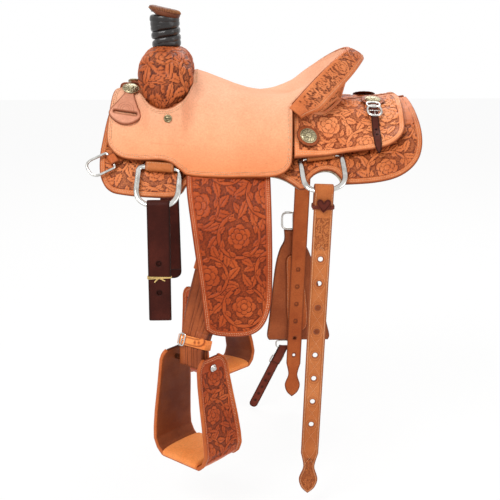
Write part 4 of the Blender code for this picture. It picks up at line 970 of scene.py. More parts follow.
def carving_tile():
    axis = (np.arange(TILE_POINTS) + 0.5) * TILE / TILE_POINTS
    x, y = np.meshgrid(axis, axis, indexing="ij")
    rng = np.random.default_rng(11)
    dots = rng.random((TILE_POINTS // 4, TILE_POINTS // 4))
    height = -0.75 + 0.35 * np.kron(dots, np.ones((4, 4)))

    def local(cx, cy, angle=0.0):
        dx = (x - cx + TILE / 2) % TILE - TILE / 2
        dy = (y - cy + TILE / 2) % TILE - TILE / 2
        c, s = math.cos(angle), math.sin(angle)
        return dx * c + dy * s, -dx * s + dy * c

    def lay(depth, shape, bevel=0.0012):
        """Lay an element over what is there, with a cut line round it."""
        cut = (depth > -0.0009) & (depth <= 0)
        height[cut] = -1.15
        mask = depth > 0
        height[mask] = (np.clip(depth / bevel, 0, 1) ** 0.7 * (1.0 + shape) - 0.15)[mask]

    def leaf(cx, cy, angle, length, width, lobes=5):
        u, v = local(cx, cy, angle)
        v = v - 0.22 * width * np.sin(math.pi * np.clip(u / length, 0, 1))
        t = np.clip(u / length, 0, 1)
        lobe = 1 - 0.24 * np.abs(np.sin(lobes * math.pi * t))
        half = width * np.sin(math.pi * t ** 0.75) ** 0.8 * lobe
        depth = np.where((u > 0) & (u < length), half - np.abs(v), -1.0)
        vein = -0.75 * np.exp(-(v / 0.0006) ** 2)
        ribs = 0.22 * np.sin((u + np.abs(v) * 1.3) * 2 * math.pi / 0.0042)
        dish = -0.45 * (1 - t) * np.exp(-(v / (0.5 * width)) ** 2)
        lay(depth, vein + ribs * (1 - t) + dish)

    def stem(cx, cy, radius, start, sweep_by, width):
        u, v = local(cx, cy)
        turn = (np.arctan2(v, u) - start) % (2 * math.pi)
        share = turn / sweep_by
        half = width * (1 - 0.45 * np.clip(share, 0, 1))
        depth = np.where(share < 1, half - np.abs(np.hypot(u, v) - radius), -1.0)
        across = np.clip((np.hypot(u, v) - radius) / width, -1, 1)
        lay(depth, -0.35 * np.cos(across * math.pi * 2), 0.0009)

    def flower(cx, cy, radius, petals, turn):
        u, v = local(cx, cy)
        reach, angle = np.hypot(u, v), np.arctan2(v, u) + turn
        for size, shift in ((1.0, 0.0), (0.66, math.pi / petals)):
            wave = np.abs(np.cos(petals * (angle + shift) / 2))
            frill = 1 - 0.05 * np.abs(np.cos(petals * 2.5 * (angle + shift)))
            edge = radius * size * (0.74 + 0.26 * wave ** 0.6) * frill
            part = -0.65 * np.exp(-(np.sin(petals * (angle + shift) / 2 + math.pi / 2) / 0.16) ** 2)
            cup = -0.55 * np.exp(-((reach / (radius * size) - 0.62) / 0.22) ** 2)
            lay(edge - reach, part + cup + 0.12 * np.cos(petals * 5 * angle), 0.0013)
        lay(0.27 * radius - reach, -0.35 * np.cos(reach / radius * 60) * 0.6, 0.0012)

    def round_it(cx, cy, turn, count, ring):
        """Places and angles of leaves on a ring round a flower."""
        for k in range(count):
            angle = 2 * math.pi * k / count + turn
            yield k, cx + ring * math.cos(angle), cy + ring * math.sin(angle), angle

    for cx, cy, radius, petals, turn in FLOWERS:
        for k, px, py, angle in round_it(cx, cy, turn, OUTER_LEAVES, OUTER_RING):
            leaf(px, py, angle + 0.9, 0.021 + 0.004 * (k % 3), 0.0062 + 0.0008 * (k % 2))
    for i, (cx, cy, radius, petals, turn) in enumerate(FLOWERS):
        hand = 1 if i % 2 else -1
        stem(cx, cy, STEM_RING, turn + 0.4, 5.2, 0.0030)
        for k, px, py, angle in round_it(cx, cy, turn, INNER_LEAVES, INNER_RING):
            leaf(px, py, angle + math.pi - hand * 1.05, 0.0125, 0.0042, 3)
    for cx, cy, radius, petals, turn in FLOWERS:
        flower(cx, cy, radius, petals, turn)
    return height


CARVING = carving_tile()


def blurred(tile, reach):
    """Tile averaged over a square, over and over, joining up at its edges."""
    for _ in range(3):
        for axis in (0, 1):
            tile = sum(np.roll(tile, k, axis) for k in range(-reach, reach + 1)) / (2 * reach + 1)
    return tile


def shading_tile():
    """Painted shade and light on the carving: darkest along the cuts, lighter on petals and between the
    stems.
    """
    height = np.clip(CARVING, CUT_LEVEL, 1.0)
    near, wide = blurred(height, 2), blurred(height, 7)
    return np.clip(0.46 + 0.24 * (height + 0.3) + 1.0 * (height - near) + 0.75 * (near - wide), 0, 1)


SHADING = shading_tile()


def carving_at(u, v, scale, angle, shift, tile=CARVING):
    """Tile sampled between its points: about -1 in the cuts and 0.85 on the petals."""
    c, s = math.cos(angle), math.sin(angle)
    a = ((u * c + v * s) / scale + shift[0]) / TILE * TILE_POINTS
    b = ((-u * s + v * c) / scale + shift[1]) / TILE * TILE_POINTS
    i, j = np.floor(a).astype(int), np.floor(b).astype(int)
    fa, fb = a - i, b - j
    i, j = i % TILE_POINTS, j % TILE_POINTS
    k, m = (i + 1) % TILE_POINTS, (j + 1) % TILE_POINTS
    return ((tile[i, j] * (1 - fa) + tile[k, j] * fa) * (1 - fb)
            + (tile[i, m] * (1 - fa) + tile[k, m] * fa) * fb)


CARVE_BORDER = 0.0125              # plain border of the skirts, jockeys and stirrups
CARVE_DEPTH = 0.0012
CUT_LINE = 0.0007                  # depth of the cut line round a carved field


def carved_height(raw, depth):
    """Height of the leather for a level of the tile."""
    return depth * (np.clip(raw, CUT_LEVEL, 1.0) - FACE_LEVEL)


def everywhere(u, v):
    return np.ones(np.shape(u))


def carved(border, depth, scale, angle, shift, where=everywhere):
    """Relief for sheet(): carving where(u, v) is 1, inside a plain border with a cut line."""
    def relief(u, v, inset):
        raw = carving_at(u, v, scale, angle, shift)
        field = (inset > border) * where(u, v)
        line = np.exp(-((inset - border) / 0.0008) ** 2)
        height = carved_height(raw, depth) * field - CUT_LINE * line * where(u, v)
        # tone: painted shade and light of the carving, and painted shade along the cut line
        tone = np.where(field > 0, carving_at(u, v, scale, angle, shift, SHADING),
                        1.0) * (1 - 0.8 * line)
        return height, np.clip(tone, 0, 1)
    return relief


def creased(line, depth=0.0004):
    """Relief for straps: one crease along the edge, with painted shade in it."""
    def relief(u, v, inset):
        groove = np.exp(-((inset - line) / 0.0006) ** 2)
        return -depth * groove, 1 - 0.6 * groove
    return relief


def worn(size, pitch, seed):
    """Gentle undulation of plain leather."""
    rng = np.random.default_rng(seed)
    waves = [(rng.uniform(-1, 1) / pitch, rng.uniform(-1, 1) / pitch, rng.uniform(0, 6.28))
             for _ in range(9)]

    def relief(u, v, inset):
        total = sum(np.sin(2 * math.pi * (a * u + b * v) + c) for a, b, c in waves) / len(waves)
        return size * total * np.clip(inset / 0.02, 0, 1), np.ones(len(u))
    return relief


def on_path(path, side):
    """Place function of a strap: u across it, v along the path from its start, w off its face."""
    path = np.asarray(path, float)
    run = run_of(path)
    along = chords(path)
    along /= np.linalg.norm(along, axis=1)[:, None]
    wide = square_to(along, side)
    out = np.cross(along, wide)

    def place(u, v, w):
        u, v, w = np.broadcast_arrays(np.asarray(u, float), np.asarray(v, float),
                                      np.asarray(w, float))
        result = np.zeros(u.shape + (3,))
        for k in range(3):
            result[..., k] = (np.interp(v, run, path[:, k]) + np.interp(v, run, wide[:, k]) * u
                              + np.interp(v, run, out[:, k]) * w)
        return result

    place.length = run[-1]
    return place


def smooth_path(points, step=0.002):
    """Polyline made even and rounded at its corners."""
    path = np.asarray(points, float)
    for _ in range(2):
        cut = [path[:1]]
        for a, b in zip(path, path[1:]):
            cut.append(np.stack([a * 0.75 + b * 0.25, a * 0.25 + b * 0.75]))
        cut.append(path[-1:])
        path = np.concatenate(cut)
    run = run_of(path)
    spots = np.linspace(0, run[-1], max(3, int(run[-1] / step)))
    return np.stack([np.interp(spots, run, path[:, k]) for k in range(3)], -1)


def strip_outline(length, half, tip=None):
    """Plain strap: square at its start, pointed or rounded at its end."""
    if tip is None:
        return np.array([(-half, 0), (half, 0), (half, length), (-half, length)], float)
    right = [(half, 0.0), (half, length - tip)] + [(half * math.cos(a) ** 0.8,
                                                    length - tip + tip * math.sin(a))
                                                   for a in np.linspace(0.15, math.pi / 2, 8)]
    left = [(-u, v) for u, v in right[::-1][1:]]
    return np.array(right + left, float)


def box_outline(left, right, low, high):
    """Rectangle as an outline."""
    return np.array([(left, low), (right, low), (right, high), (left, high)])


def hole_at(u, v, radius, count=14):
    angle = 2 * np.pi * np.arange(count) / count
    return np.stack([u + radius * np.cos(angle), v + radius * np.sin(angle)], -1)


def mirror(thing, name):
    """The same piece on the off side."""
    data = thing.data.copy()
    data.name = name
    other = bpy.data.objects.new(name, data)
    data.transform(Matrix.Scale(-1, 4, (0, 1, 0)))
    data.flip_normals()
    bpy.context.scene.collection.objects.link(other)
    return other


def turned_piece(thing, matrix):
    """Turn a piece's mesh, so that its object stays at the origin."""
    thing.data.transform(matrix)
    thing.data.update()
    return thing


def put(thing, body, nodes=()):
    """Ride on a body and stand for CAD nodes."""
    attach(thing, body)
    if nodes:
        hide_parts(*nodes)
    return thing


# Paints
PAINT = {}


def make_paints():
    p = PAINT
    # recess: colour of the painted shade in carving, creases and channels; edge: dark finish on edges. On
    # silver, recess is the dark finish in engraved lines and the painted shade of screw slots
    p["roughout"] = leather_paint("roughout_leather", (0.86, 0.435, 0.270), (0.89, 0.470, 0.300),
                                  (0.92, 0.505, 0.330), recess=(0.44, 0.120, 0.035),
                                  rough=(0.80, 0.92), grain_size=520.0, fuzz=0.12,
                                  edge=(0.26, 0.055, 0.012), depth=0.0003, height_shade=(0.93, 0.54, 0.31),
                                  shine=0.10)
    p["skirt"] = leather_paint("carved_skirt", (0.52, 0.120, 0.030), (0.64, 0.175, 0.050),
                               (0.76, 0.240, 0.080), recess=(0.100, 0.012, 0.002),
                               edge=(0.20, 0.040, 0.010))
    p["jockey"] = leather_paint("carved_jockey", (0.72, 0.200, 0.060), (0.82, 0.260, 0.092),
                                (0.92, 0.350, 0.140), recess=(0.150, 0.018, 0.003),
                                edge=(0.26, 0.055, 0.014))
    p["swell"] = leather_paint("carved_swell", (0.38, 0.075, 0.016), (0.49, 0.108, 0.026),
                               (0.60, 0.160, 0.046), recess=(0.060, 0.006, 0.001),
                               edge=(0.16, 0.03, 0.008))
    p["fender"] = leather_paint("carved_fender", (0.32, 0.042, 0.006), (0.41, 0.062, 0.009),
                                (0.50, 0.092, 0.017), recess=(0.10, 0.012, 0.001),
                                edge=(0.15, 0.026, 0.005))
    p["stirrup"] = leather_paint("carved_stirrup", (0.34, 0.046, 0.007), (0.43, 0.066, 0.011),
                                 (0.52, 0.098, 0.020), recess=(0.08, 0.010, 0.001),
                                 edge=(0.12, 0.020, 0.004))
    p["roll"] = leather_paint("carved_roll", (0.50, 0.120, 0.032), (0.62, 0.170, 0.052),
                              (0.74, 0.240, 0.085), recess=(0.090, 0.010, 0.001),
                              edge=(0.20, 0.04, 0.01))
    p["hanger"] = leather_paint("hanger_leather", (0.60, 0.24, 0.14), (0.72, 0.32, 0.20),
                                (0.80, 0.38, 0.25), recess=(0.20, 0.05, 0.02),
                                edge=(0.24, 0.06, 0.02))
    p["billet"] = leather_paint("billet_leather", (0.41, 0.108, 0.025), (0.49, 0.142, 0.036),
                                (0.57, 0.186, 0.055), recess=(0.22, 0.05, 0.012),
                                edge=(0.24, 0.06, 0.018))
    p["strap"] = leather_paint("strap_leather", (0.38, 0.072, 0.014), (0.48, 0.105, 0.022),
                               (0.56, 0.140, 0.034), recess=(0.16, 0.03, 0.006),
                               edge=(0.17, 0.035, 0.009))
    p["latigo"] = leather_paint("latigo_leather", (0.030, 0.0050, 0.0030), (0.046, 0.0080, 0.0048),
                                (0.072, 0.013, 0.0075), recess=(0.010, 0.003, 0.002),
                                edge=(0.018, 0.004, 0.002), rough=(0.36, 0.52), shine=0.10)
    p["dark"] = leather_paint("dark_leather", (0.052, 0.0115, 0.0070), (0.076, 0.0165, 0.0100),
                              (0.112, 0.025, 0.015), recess=(0.012, 0.004, 0.002),
                              edge=(0.022, 0.005, 0.003), rough=(0.38, 0.54), shine=0.10)
    p["mahogany"] = leather_paint("mahogany_leather", (0.095, 0.016, 0.009), (0.135, 0.024, 0.013),
                                  (0.185, 0.036, 0.019), recess=(0.03, 0.006, 0.003),
                                  edge=(0.04, 0.008, 0.004), rough=(0.36, 0.52), shine=0.14)
    p["cinch"] = leather_paint("cinch_leather", (0.25, 0.052, 0.013), (0.33, 0.074, 0.019),
                               (0.41, 0.10, 0.028), recess=(0.10, 0.018, 0.004),
                               edge=(0.10, 0.018, 0.004), rough=(0.34, 0.50))
    p["lining"] = leather_paint("lining_leather", (0.15, 0.030, 0.008), (0.20, 0.045, 0.012),
                                (0.25, 0.060, 0.017), recess=(0.04, 0.008, 0.002),
                                edge=(0.06, 0.010, 0.003), rough=(0.5, 0.66))
    p["tread"] = leather_paint("tread_leather", (0.84, 0.215, 0.045), (0.90, 0.265, 0.062),
                               (0.95, 0.330, 0.095), recess=(0.30, 0.06, 0.012),
                               edge=(0.30, 0.06, 0.012), rough=(0.42, 0.6))
    p["cap"] = leather_paint("cap_leather", (0.070, 0.018, 0.007), (0.105, 0.028, 0.011),
                             (0.185, 0.056, 0.023), recess=(0.05, 0.016, 0.008),
                             edge=(0.06, 0.02, 0.010))
    p["tie"] = leather_paint("tie_leather", (0.52, 0.33, 0.10), (0.62, 0.42, 0.15),
                             (0.70, 0.50, 0.21), edge=(0.35, 0.2, 0.06), rough=(0.6, 0.75))
    p["thread"] = leather_paint("stitch_thread", (0.66, 0.40, 0.22), (0.74, 0.48, 0.29),
                                (0.82, 0.56, 0.37), rough=(0.55, 0.75), grain_size=1500.0)
    p["brown_thread"] = leather_paint("brown_thread", (0.26, 0.10, 0.04), (0.36, 0.15, 0.06),
                                      (0.46, 0.21, 0.09), rough=(0.55, 0.75), grain_size=1500.0)
    p["fleece"] = fleece_paint("sheepskin", (0.42, 0.34, 0.22), (0.80, 0.72, 0.56))
    p["steel"] = metal_paint("polished_steel", (0.66, 0.65, 0.62), (0.12, 0.24), (0.45, 0.43, 0.40))
    p["silver"] = metal_paint("antique_silver", (0.50, 0.43, 0.27), (0.20, 0.38),
                              (0.24, 0.19, 0.10), (0.016, 0.012, 0.006))
    p["rubber"] = rubber_paint("black_rubber")
    p["rawhide"] = rawhide_paint("rawhide")


# Skirts, sheepskin, seat and jockeys. Outlines are (x, s) on the back; a third value marks a corner
SKIRT_FRONT = [(-0.334, 0.020, 1), (-0.345, 0.050), (-0.353, 0.100), (-0.360, 0.167),
               (-0.364, 0.207), (-0.363, 0.250), (-0.354, 0.276), (-0.339, 0.290), (-0.316, 0.294),
               (-0.256, 0.294), (-0.204, 0.291), (-0.184, 0.281), (-0.172, 0.262), (-0.140, 0.243),
               (-0.080, 0.234), (0.000, 0.240), (0.041, 0.253), (0.077, 0.283, 1)]
# arch round the rear dee
SKIRT_ARCH = [(0.092, 0.281), (0.099, 0.262), (0.116, 0.247), (0.134, 0.243), (0.152, 0.249),
              (0.166, 0.267), (0.170, 0.284, 1)]
SKIRT_REAR = [(0.240, 0.293), (0.289, 0.291), (0.324, 0.274), (0.345, 0.243), (0.354, 0.191),
              (0.353, 0.115), (0.347, 0.014, 1)]


FLEECE_SHARE = (0.988, 0.970)      # the sheepskin ends inside the skirt, along it and down it
FLEECE_INNER = 0.02                # its inner edge follows the skirt's


def near_back(u, v, w):
    return back(u, -np.abs(v), w)


def both_sides(thing, *nodes):
    """Put a near piece and its mirror image on the saddle, for its nodes on both sides."""
    other = mirror(thing, thing.name.replace("_near", "_off"))
    for piece, word in ((thing, "near"), (other, "off")):
        put(piece, "saddle", tuple(node + "_" + word for node in nodes))


# size and angle of the clumps of the fleece
CLUMPS = ((0.016, 0.3), (0.011, 1.1), (0.0085, 2.2), (0.0065, 0.7))


def pile(u, v, inset):
    """Clumps of fleece, hanging off the underside."""
    total = np.zeros(len(u))
    for k, (size, angle) in enumerate(CLUMPS):
        a = (u * math.cos(angle) + v * math.sin(angle)) / size * 2 * math.pi
        b = (-u * math.sin(angle) + v * math.cos(angle)) / size * 2 * math.pi
        total += np.sin(a + 1.3 * np.sin(b * 0.7 + k)) * np.sin(b + 1.1 * np.sin(a * 0.6)) / (1 + 0.4 * k)
    return -0.0016 - 0.0011 * total * np.clip(inset / 0.004, 0, 1)


def make_skirts():
    outline = spline(SKIRT_FRONT + SKIRT_ARCH + SKIRT_REAR, per=5)
    length, fall = FLEECE_SHARE
    shrunk = np.stack([outline[:, 0] * length, np.minimum(outline[:, 1], FLEECE_INNER)
                       + np.maximum(0.0, outline[:, 1] - FLEECE_INNER) * fall], -1)
    wool = sheet("wool_near", shrunk, near_back, FLEECE - 0.0005, PAINT["fleece"], step=0.0032,
                 under=1, under_relief=pile, edge_round=0.004)
    both_sides(wool, "fleece")

    def place(u, v, w):
        return near_back(u, v, FLEECE + GAP + w)

    leather = sheet("carved_skirt_near", outline, place, SKIRT, PAINT["skirt"], step=0.0019,
                    relief=carved(CARVE_BORDER, CARVE_DEPTH, 1.35, 0.25,
                                  (0.02, 0.05), lambda u, v: v > 0.15))
    both_sides(leather, "skirt")
    rows = [stitch_row(outline, place, SKIRT - THREAD_SINK, inset, lambda u, v: v > 0.10)
            for inset in EDGE_ROWS]
    both_sides(stitching("skirt_stitching_near", rows))


RIM_STEPS = 5                      # points of the seat's outline on half the rim
RIM_SPREAD = 5.3
SEAT_TUCK = 0.006                  # the seat leather runs this far in under the swell


def rim_outline(inward, share=1.0):
    """Half of the rim as points (x, s), from its end to the centre, moved inward."""
    spots = [rim_at(np.array(k / RIM_SPREAD)) - (inward, 0, 0) for k in range(RIM_STEPS, -1, -1)]
    return [(float(x), share * down_side(float(x), float(y), jockey_lift))
            for x, y, z in spots[:-1]] + [(float(spots[-1][0]), 0.0)]


def two_halves(half):
    """Outline closed by the mirror image of its half."""
    return np.concatenate([half[:-1], (half[1:] * (1, -1))[::-1]])


def seat_edge():
    rim = [(x - 0.001, s, 1) for x, s in rim_outline(0.0)]
    # the edge along the foot of the swell, the two jockeys and the corner under the cantle
    edge = [(SEAT_FRONT - SEAT_TUCK, 0.0, 1), (SEAT_FRONT - SEAT_TUCK, 0.058), (-0.1600, 0.0640),
            (-0.1660, 0.0675), (-0.1730, 0.0690), (-0.1805, 0.0715), (-0.1894, 0.0765),
            (-0.2000, 0.0840), (-0.2117, 0.0890), (-0.2230, 0.0910), (-0.2338, 0.0905),
            (-0.2450, 0.0865), (-0.2556, 0.0810), (-0.2650, 0.0760), (-0.2740, 0.0720),
            (-0.2860, 0.0680), (-0.300, 0.066, 1), (-0.322, 0.060), (-0.337, 0.078),
            (-0.346, 0.133), (-0.349, 0.177), (-0.338, 0.202), (-0.314, 0.218), (-0.274, 0.219),
            (-0.232, 0.215), (-0.206, 0.220), (-0.184, 0.237), (-0.159, 0.249), (-0.037, 0.254),
            (0.025, 0.256), (0.055, 0.240), (0.063, 0.214), (0.0645, 0.168, 1)]
    return two_halves(spline(edge + rim, per=4, closed=False))


SEAT_ROWS = (0.0058, 0.0102)       # the seat's two rows of stitches
CHANNELS = (0.0060, 0.0100)        # and the channels that they lie in
SEAT_CREASE = 0.0035
GROUND_GAP = 0.0058                # ground seat under the seat leather
GROUND_THICK = 0.0045


def seat_relief(u, v, inset):
    """Gentle waves, an edge crease and the channels of the stitches, with painted shade in the crease and
    the channels.
    """
    height, tone = worn(0.0010, 0.10, 5)(u, v, inset)
    groove = np.exp(-((inset - SEAT_CREASE) / 0.0006) ** 2)
    rows = sum(np.exp(-((inset - channel) / 0.0011) ** 2) for channel in CHANNELS)
    return height - 0.0003 * groove - 0.0002 * rows, np.clip(tone - 0.35 * groove - 0.60 * rows, 0, 1)


def make_seat():
    outline = seat_edge()
    leather = sheet("seat_leather", outline, seat_place, SEAT_LEATHER, PAINT["roughout"],
                    step=0.0026, relief=seat_relief)
    put(leather, "saddle", ("seat",))

    def sewn(u, v):
        return (np.abs(v) > 0.025) & (u < 0.075)

    rows = [stitch_row(outline, seat_place, SEAT_LEATHER + 0.0001, inset, sewn, pitch=0.0048,
                       length=0.0036, width=0.0019) for inset in SEAT_ROWS]
    put(stitching("seat_stitching", rows), "saddle")
    rim = rim_outline(0.010, 0.96)
    edge = [(-0.146, 0.0, 1), (-0.146, 0.10, 1), (-0.100, 0.150),
            (0.030, 0.155)] + rim[:-1] + [(rim[-1][0], 0.0, 1)]
    inner = sheet("ground_seat_leather", two_halves(spline(edge, per=4, closed=False)),
                  lambda u, v, w: seat_place(u, v, w - GROUND_GAP), GROUND_THICK,
                  PAINT["rawhide"], step=0.006)
    put(inner, "saddle", ("ground_seat",))


def rear_jockey_outline():
    half = [(0.0660, 0.222, 1), (0.180, 0.219), (0.262, 0.222), (0.297, 0.208), (0.314, 0.181),
            (0.320, 0.135), (0.323, 0.060), (0.322, 0.004, 1), (0.186, 0.004, 1), (0.177, 0.045),
            (0.150, 0.085), (0.112, 0.114), (0.086, 0.132), (0.0665, 0.142, 1)]
    return spline(half, per=5)


def make_rear_jockeys():
    outline = rear_jockey_outline()

    def place(u, v, w):
        point = rear_jockey_point(u, np.abs(v), w)
        point[..., 1] *= -1
        return point

    leather = sheet("carved_jockey_near", outline, place, JOCKEY, PAINT["jockey"], step=0.0018,
                    relief=carved(CARVE_BORDER, CARVE_DEPTH, 1.30, 0.6, (0.03, 0.01)))
    both_sides(leather, "rear_jockey")
    rows = [stitch_row(outline, place, JOCKEY - THREAD_SINK, inset) for inset in EDGE_ROWS]
    both_sides(stitching("jockey_stitching_near", rows))


# Fork, horn and cantle
FORK_X = -0.219
FORK_HALF = 0.057
SWELL_TOP = 0.160
SWELL_HALF_WIDTH = 0.166
GULLET_TOP = 0.108
COVER = 0.003
COVER_GAP = 0.0009
HORN_BASE = (-0.219, 0.0, 0.1615)
HORN_LEAN = math.radians(4.0)
HORN_NECK = 0.0208
WRAP_RADIUS = 0.0335
WRAP_HEIGHT = 0.068
CAP_RADIUS = 0.0375
CAP_TILT = math.radians(-12.0)
CAP_THICK = 0.011


SWELL_BROAD = 0.035                # half thickness of the swell at its widest
SWELL_POWER = 2 / 2.7              # roundness of its section
SWELL_CARVING = (1.45, 0.35, (0.01, 0.02))


def swell_stations(parts):
    """Centre line and half sizes of the swell, (y, z, a, b), rounded where its stations meet."""
    out = SWELL_HALF_WIDTH - SWELL_BROAD
    half = [(0.009 - out, 0.000, 0.022, 0.026), (-out, 0.030, 0.030, 0.031),
            (-out, 0.062, SWELL_BROAD, 0.045), (0.013 - out, 0.092, 0.038, FORK_HALF + 0.002),
            (0.043 - out, 0.114, 0.036, FORK_HALF), (0.085 - out, 0.127, 0.031, FORK_HALF - 0.007)]
    top = [(0.0, (SWELL_TOP + GULLET_TOP) / 2, (SWELL_TOP - GULLET_TOP) / 2, FORK_HALF - 0.012)]
    stations = np.array(half + top + [(-y, z, a, b) for y, z, a, b in reversed(half)])
    spots = np.linspace(0, len(stations) - 1, parts)
    rows = np.stack([np.interp(spots, np.arange(len(stations)), stations[:, k]) for k in range(4)], -1)
    kernel = np.hanning(2 * (parts // 26) + 1)
    kernel /= kernel.sum()
    pad = len(kernel) // 2
    padded = np.concatenate([2 * rows[:1] - rows[1:pad + 1][::-1], rows,
                             2 * rows[-1:] - rows[-pad - 1:-1][::-1]])
    return np.stack([np.convolve(padded[:, k], kernel, "valid") for k in range(4)], -1)


def make_swell():
    parts, around = ((230, 190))
    soft = swell_stations(parts)
    along = np.gradient(soft[:, :2], axis=0)
    along /= np.linalg.norm(along, axis=1)[:, None]
    off_line = np.stack([-along[:, 1], along[:, 0]], -1)
    turn = 2 * np.pi * np.arange(around) / around
    c, d = np.cos(turn), np.sin(turn)
    a = np.sign(c) * np.abs(c) ** SWELL_POWER
    b = np.sign(d) * np.abs(d) ** SWELL_POWER
    # distances along and round the cover, for the carving
    run = run_of(soft[:, :2]) * 1.25
    girth = np.concatenate([[0], np.cumsum(np.hypot(np.diff(a) * 0.035, np.diff(b) * 0.057))])
    gu, gv = np.meshgrid(run, girth, indexing="ij")
    upper = smooth_step(np.broadcast_to(a[None, :], gu.shape), -0.75, -0.45)
    reach = COVER_GAP + COVER + carved_height(carving_at(gu, gv, *SWELL_CARVING),
                                              CARVE_DEPTH) * upper
    rings = np.zeros((parts, around, 3))
    rings[..., 0] = FORK_X + b[None, :] * (soft[:, 3:4] + reach)
    rings[..., 1:] = (soft[:, None, :2] + off_line[:, None, :] * a[None, :, None]
                      * (soft[:, 2:3] + reach)[..., None])
    for end in (0, -1):
        for spot in rings[end]:
            spot[2] = height_on(spot[0], spot[1], bar_lift) + 0.0009
    # painted shade and light of the carving on the upper part of the swell
    carving_shade = carving_at(gu, gv, *SWELL_CARVING, SHADING)
    tone = np.where(upper > 0.02, carving_shade * upper + (1 - upper), 1.0).ravel()
    put(shape("carved_swell", [loft(rings)], "swell", {"carve": tone}), "saddle",
        ("swell_cover", "tree_fork"))


def horn_frame(height, tilt=-HORN_LEAN):
    """Frame on the horn's leaning axis at a height, with its own tilt."""
    axis = Vector((math.sin(-HORN_LEAN), 0, math.cos(-HORN_LEAN)))
    return frame_at(Vector(HORN_BASE) + axis * height, (math.sin(tilt), 0, math.cos(tilt)))


CAP_SIDES = 96
CAP_LACES = 58


def make_horn_cap():
    frame = horn_frame(WRAP_HEIGHT + 0.0045, -CAP_TILT)
    r = CAP_RADIUS
    high = CAP_THICK + 0.0045
    top = [(0.0, high + 0.0006), (r * 0.30, high + 0.0005), (r * 0.58, high + 0.0001),
           (r * 0.70, high - 0.0002), (r * 0.715, high - 0.0011), (r * 0.73, high - 0.0003),
           (r * 0.84, high - 0.0012), (r * 0.93, high - 0.0030), (r * 0.985, high - 0.0052),
           (r, high - 0.0075)]
    seam = [(r - 0.0004, high - 0.0080), (r - 0.0011, high - 0.0084), (r - 0.0002, high - 0.0088),
            (r - 0.0004, 0.0022), (r - 0.0012, -0.0010), (r - 0.0030, -0.0032)]
    low = [(r * 0.82, -0.0042), (HORN_NECK + 0.0085, -0.0044), (HORN_NECK + 0.0040, -0.0036),
           (0.0, -0.0018)]
    profile = top + seam + low
    points, faces = lathe(profile, CAP_SIDES, Matrix.Identity(4))
    # the front edge curls down, and the leather waves a little
    curl = smooth_step(-points[:, 0] / r, 0.30, 1.0)
    wave = np.sin(3 * np.arctan2(points[:, 1], points[:, 0])
                  + 0.6) * (np.hypot(points[:, 0], points[:, 1]) / r) ** 2
    points[:, 2] = points[:, 2] * (1 - 0.42 * curl) + 0.0078 * curl + 0.0011 * wave
    # painted shade in the groove on the cap's top and in its seam
    dark_rings = (top.index((r * 0.715, high - 0.0011)), len(top) + 1)
    carve = np.repeat([0.25 if i in dark_rings else 1.0 for i in range(len(profile))], CAP_SIDES)
    put(shape("horn_cap_leather", [(moved(points, frame), faces)], "cap", {"carve": carve}),
        "saddle", ("horn_cap",))
    # lacing over the edge of the cap
    rows = []
    for k in range(CAP_LACES):
        at = frame @ Matrix.Rotation(2 * math.pi * k / CAP_LACES, 4, "Z")
        path = [at @ Vector(p) for p in ((r * 0.845, -0.0010, high - 0.0010),
                                         (r * 0.93, -0.0003, high - 0.0026),
                                         (r * 0.99, 0.0006, high - 0.0050),
                                         (r + 0.0004, 0.0012, high - 0.0080))]
        rows.append(sweep(path, oval(0.00055, 0.0009, 6), at.to_3x3() @ Vector((0, 1, 0))))
    put(shape("horn_cap_lacing", rows, "brown_thread"), "saddle")


WRAP_HALF = 0.0078                 # half the width of the strip of rubber
WRAP_SPACE = 0.0006                # between its turns
# height, share of the cap's tilt and radius of the extra turns, two under the cap and one at the
# foot
EXTRA_TURNS = ((0.0615, 0.45, 0.0282), (0.0515, 0.15, 0.0276), (0.0060, 0.0, 0.0272))


def make_horn_wrap():
    """One strip of rubber wound up the neck, with extra turns laid over it."""
    half = WRAP_HALF
    pitch = 2 * half + WRAP_SPACE
    turns = (WRAP_HEIGHT - 2 * half - 0.004) / pitch
    thick = (WRAP_RADIUS - HORN_NECK - GAP) / 2
    path, wind, scale = [], [], []
    for t in np.linspace(0, 1, int(turns * 90)):
        angle = 2 * math.pi * turns * t + math.pi
        at = horn_frame(0.0020 + half + pitch * turns * t)
        reach = HORN_NECK + GAP + thick + 0.00035 * math.sin(5 * angle) + 0.00025 * math.sin(11 * angle)
        path.append(at @ Vector((reach * math.cos(angle), reach * math.sin(angle), 0)))
        wind.append(at.to_3x3() @ Vector((0, 0, 1)))
        scale.append(0.55 + 0.45 * float(smooth_step(min(t, 1 - t), 0.0, 0.06)))
    section = superring(half + 0.0010, thick * 1.06 + 0.0004, 0.90, 28)
    parts = [sweep(path, section, wind, scales=scale)]
    for height, tilt, reach in EXTRA_TURNS:
        ring = []
        at = horn_frame(height, -HORN_LEAN * (1 - tilt) - CAP_TILT * tilt)
        for k in range(72):
            angle = 2 * math.pi * k / 72
            ring.append(at @ Vector((reach * math.cos(angle), reach * math.sin(angle),
                                     0.0006 * math.sin(3 * angle))))
        up = at.to_3x3() @ Vector((0, 0, 1))
        parts.append(sweep(ring, superring(0.0088, 0.0066, 0.80, 24), up, closed=True))
    put(shape("rubber_wrap", parts, "rubber"), "saddle", ("horn_wrap",))


ROLL_DROOP = math.radians(30)
ROLL_WIDTH = 0.048
ROLL_THICK = 0.010
ROLL_REACH = 1.045                 # its ends pass the ends of the rim by this share
ROLL_CARVING = (0.95, 0.1, (0.0, 0.03))
CANTLE_CARVING = (0.9, 0.4, (0.05, 0.02))
THIN_CARVE_DEPTH = 0.0009          # carving of the roll and the cantle
CANTLE_REACH = 0.86


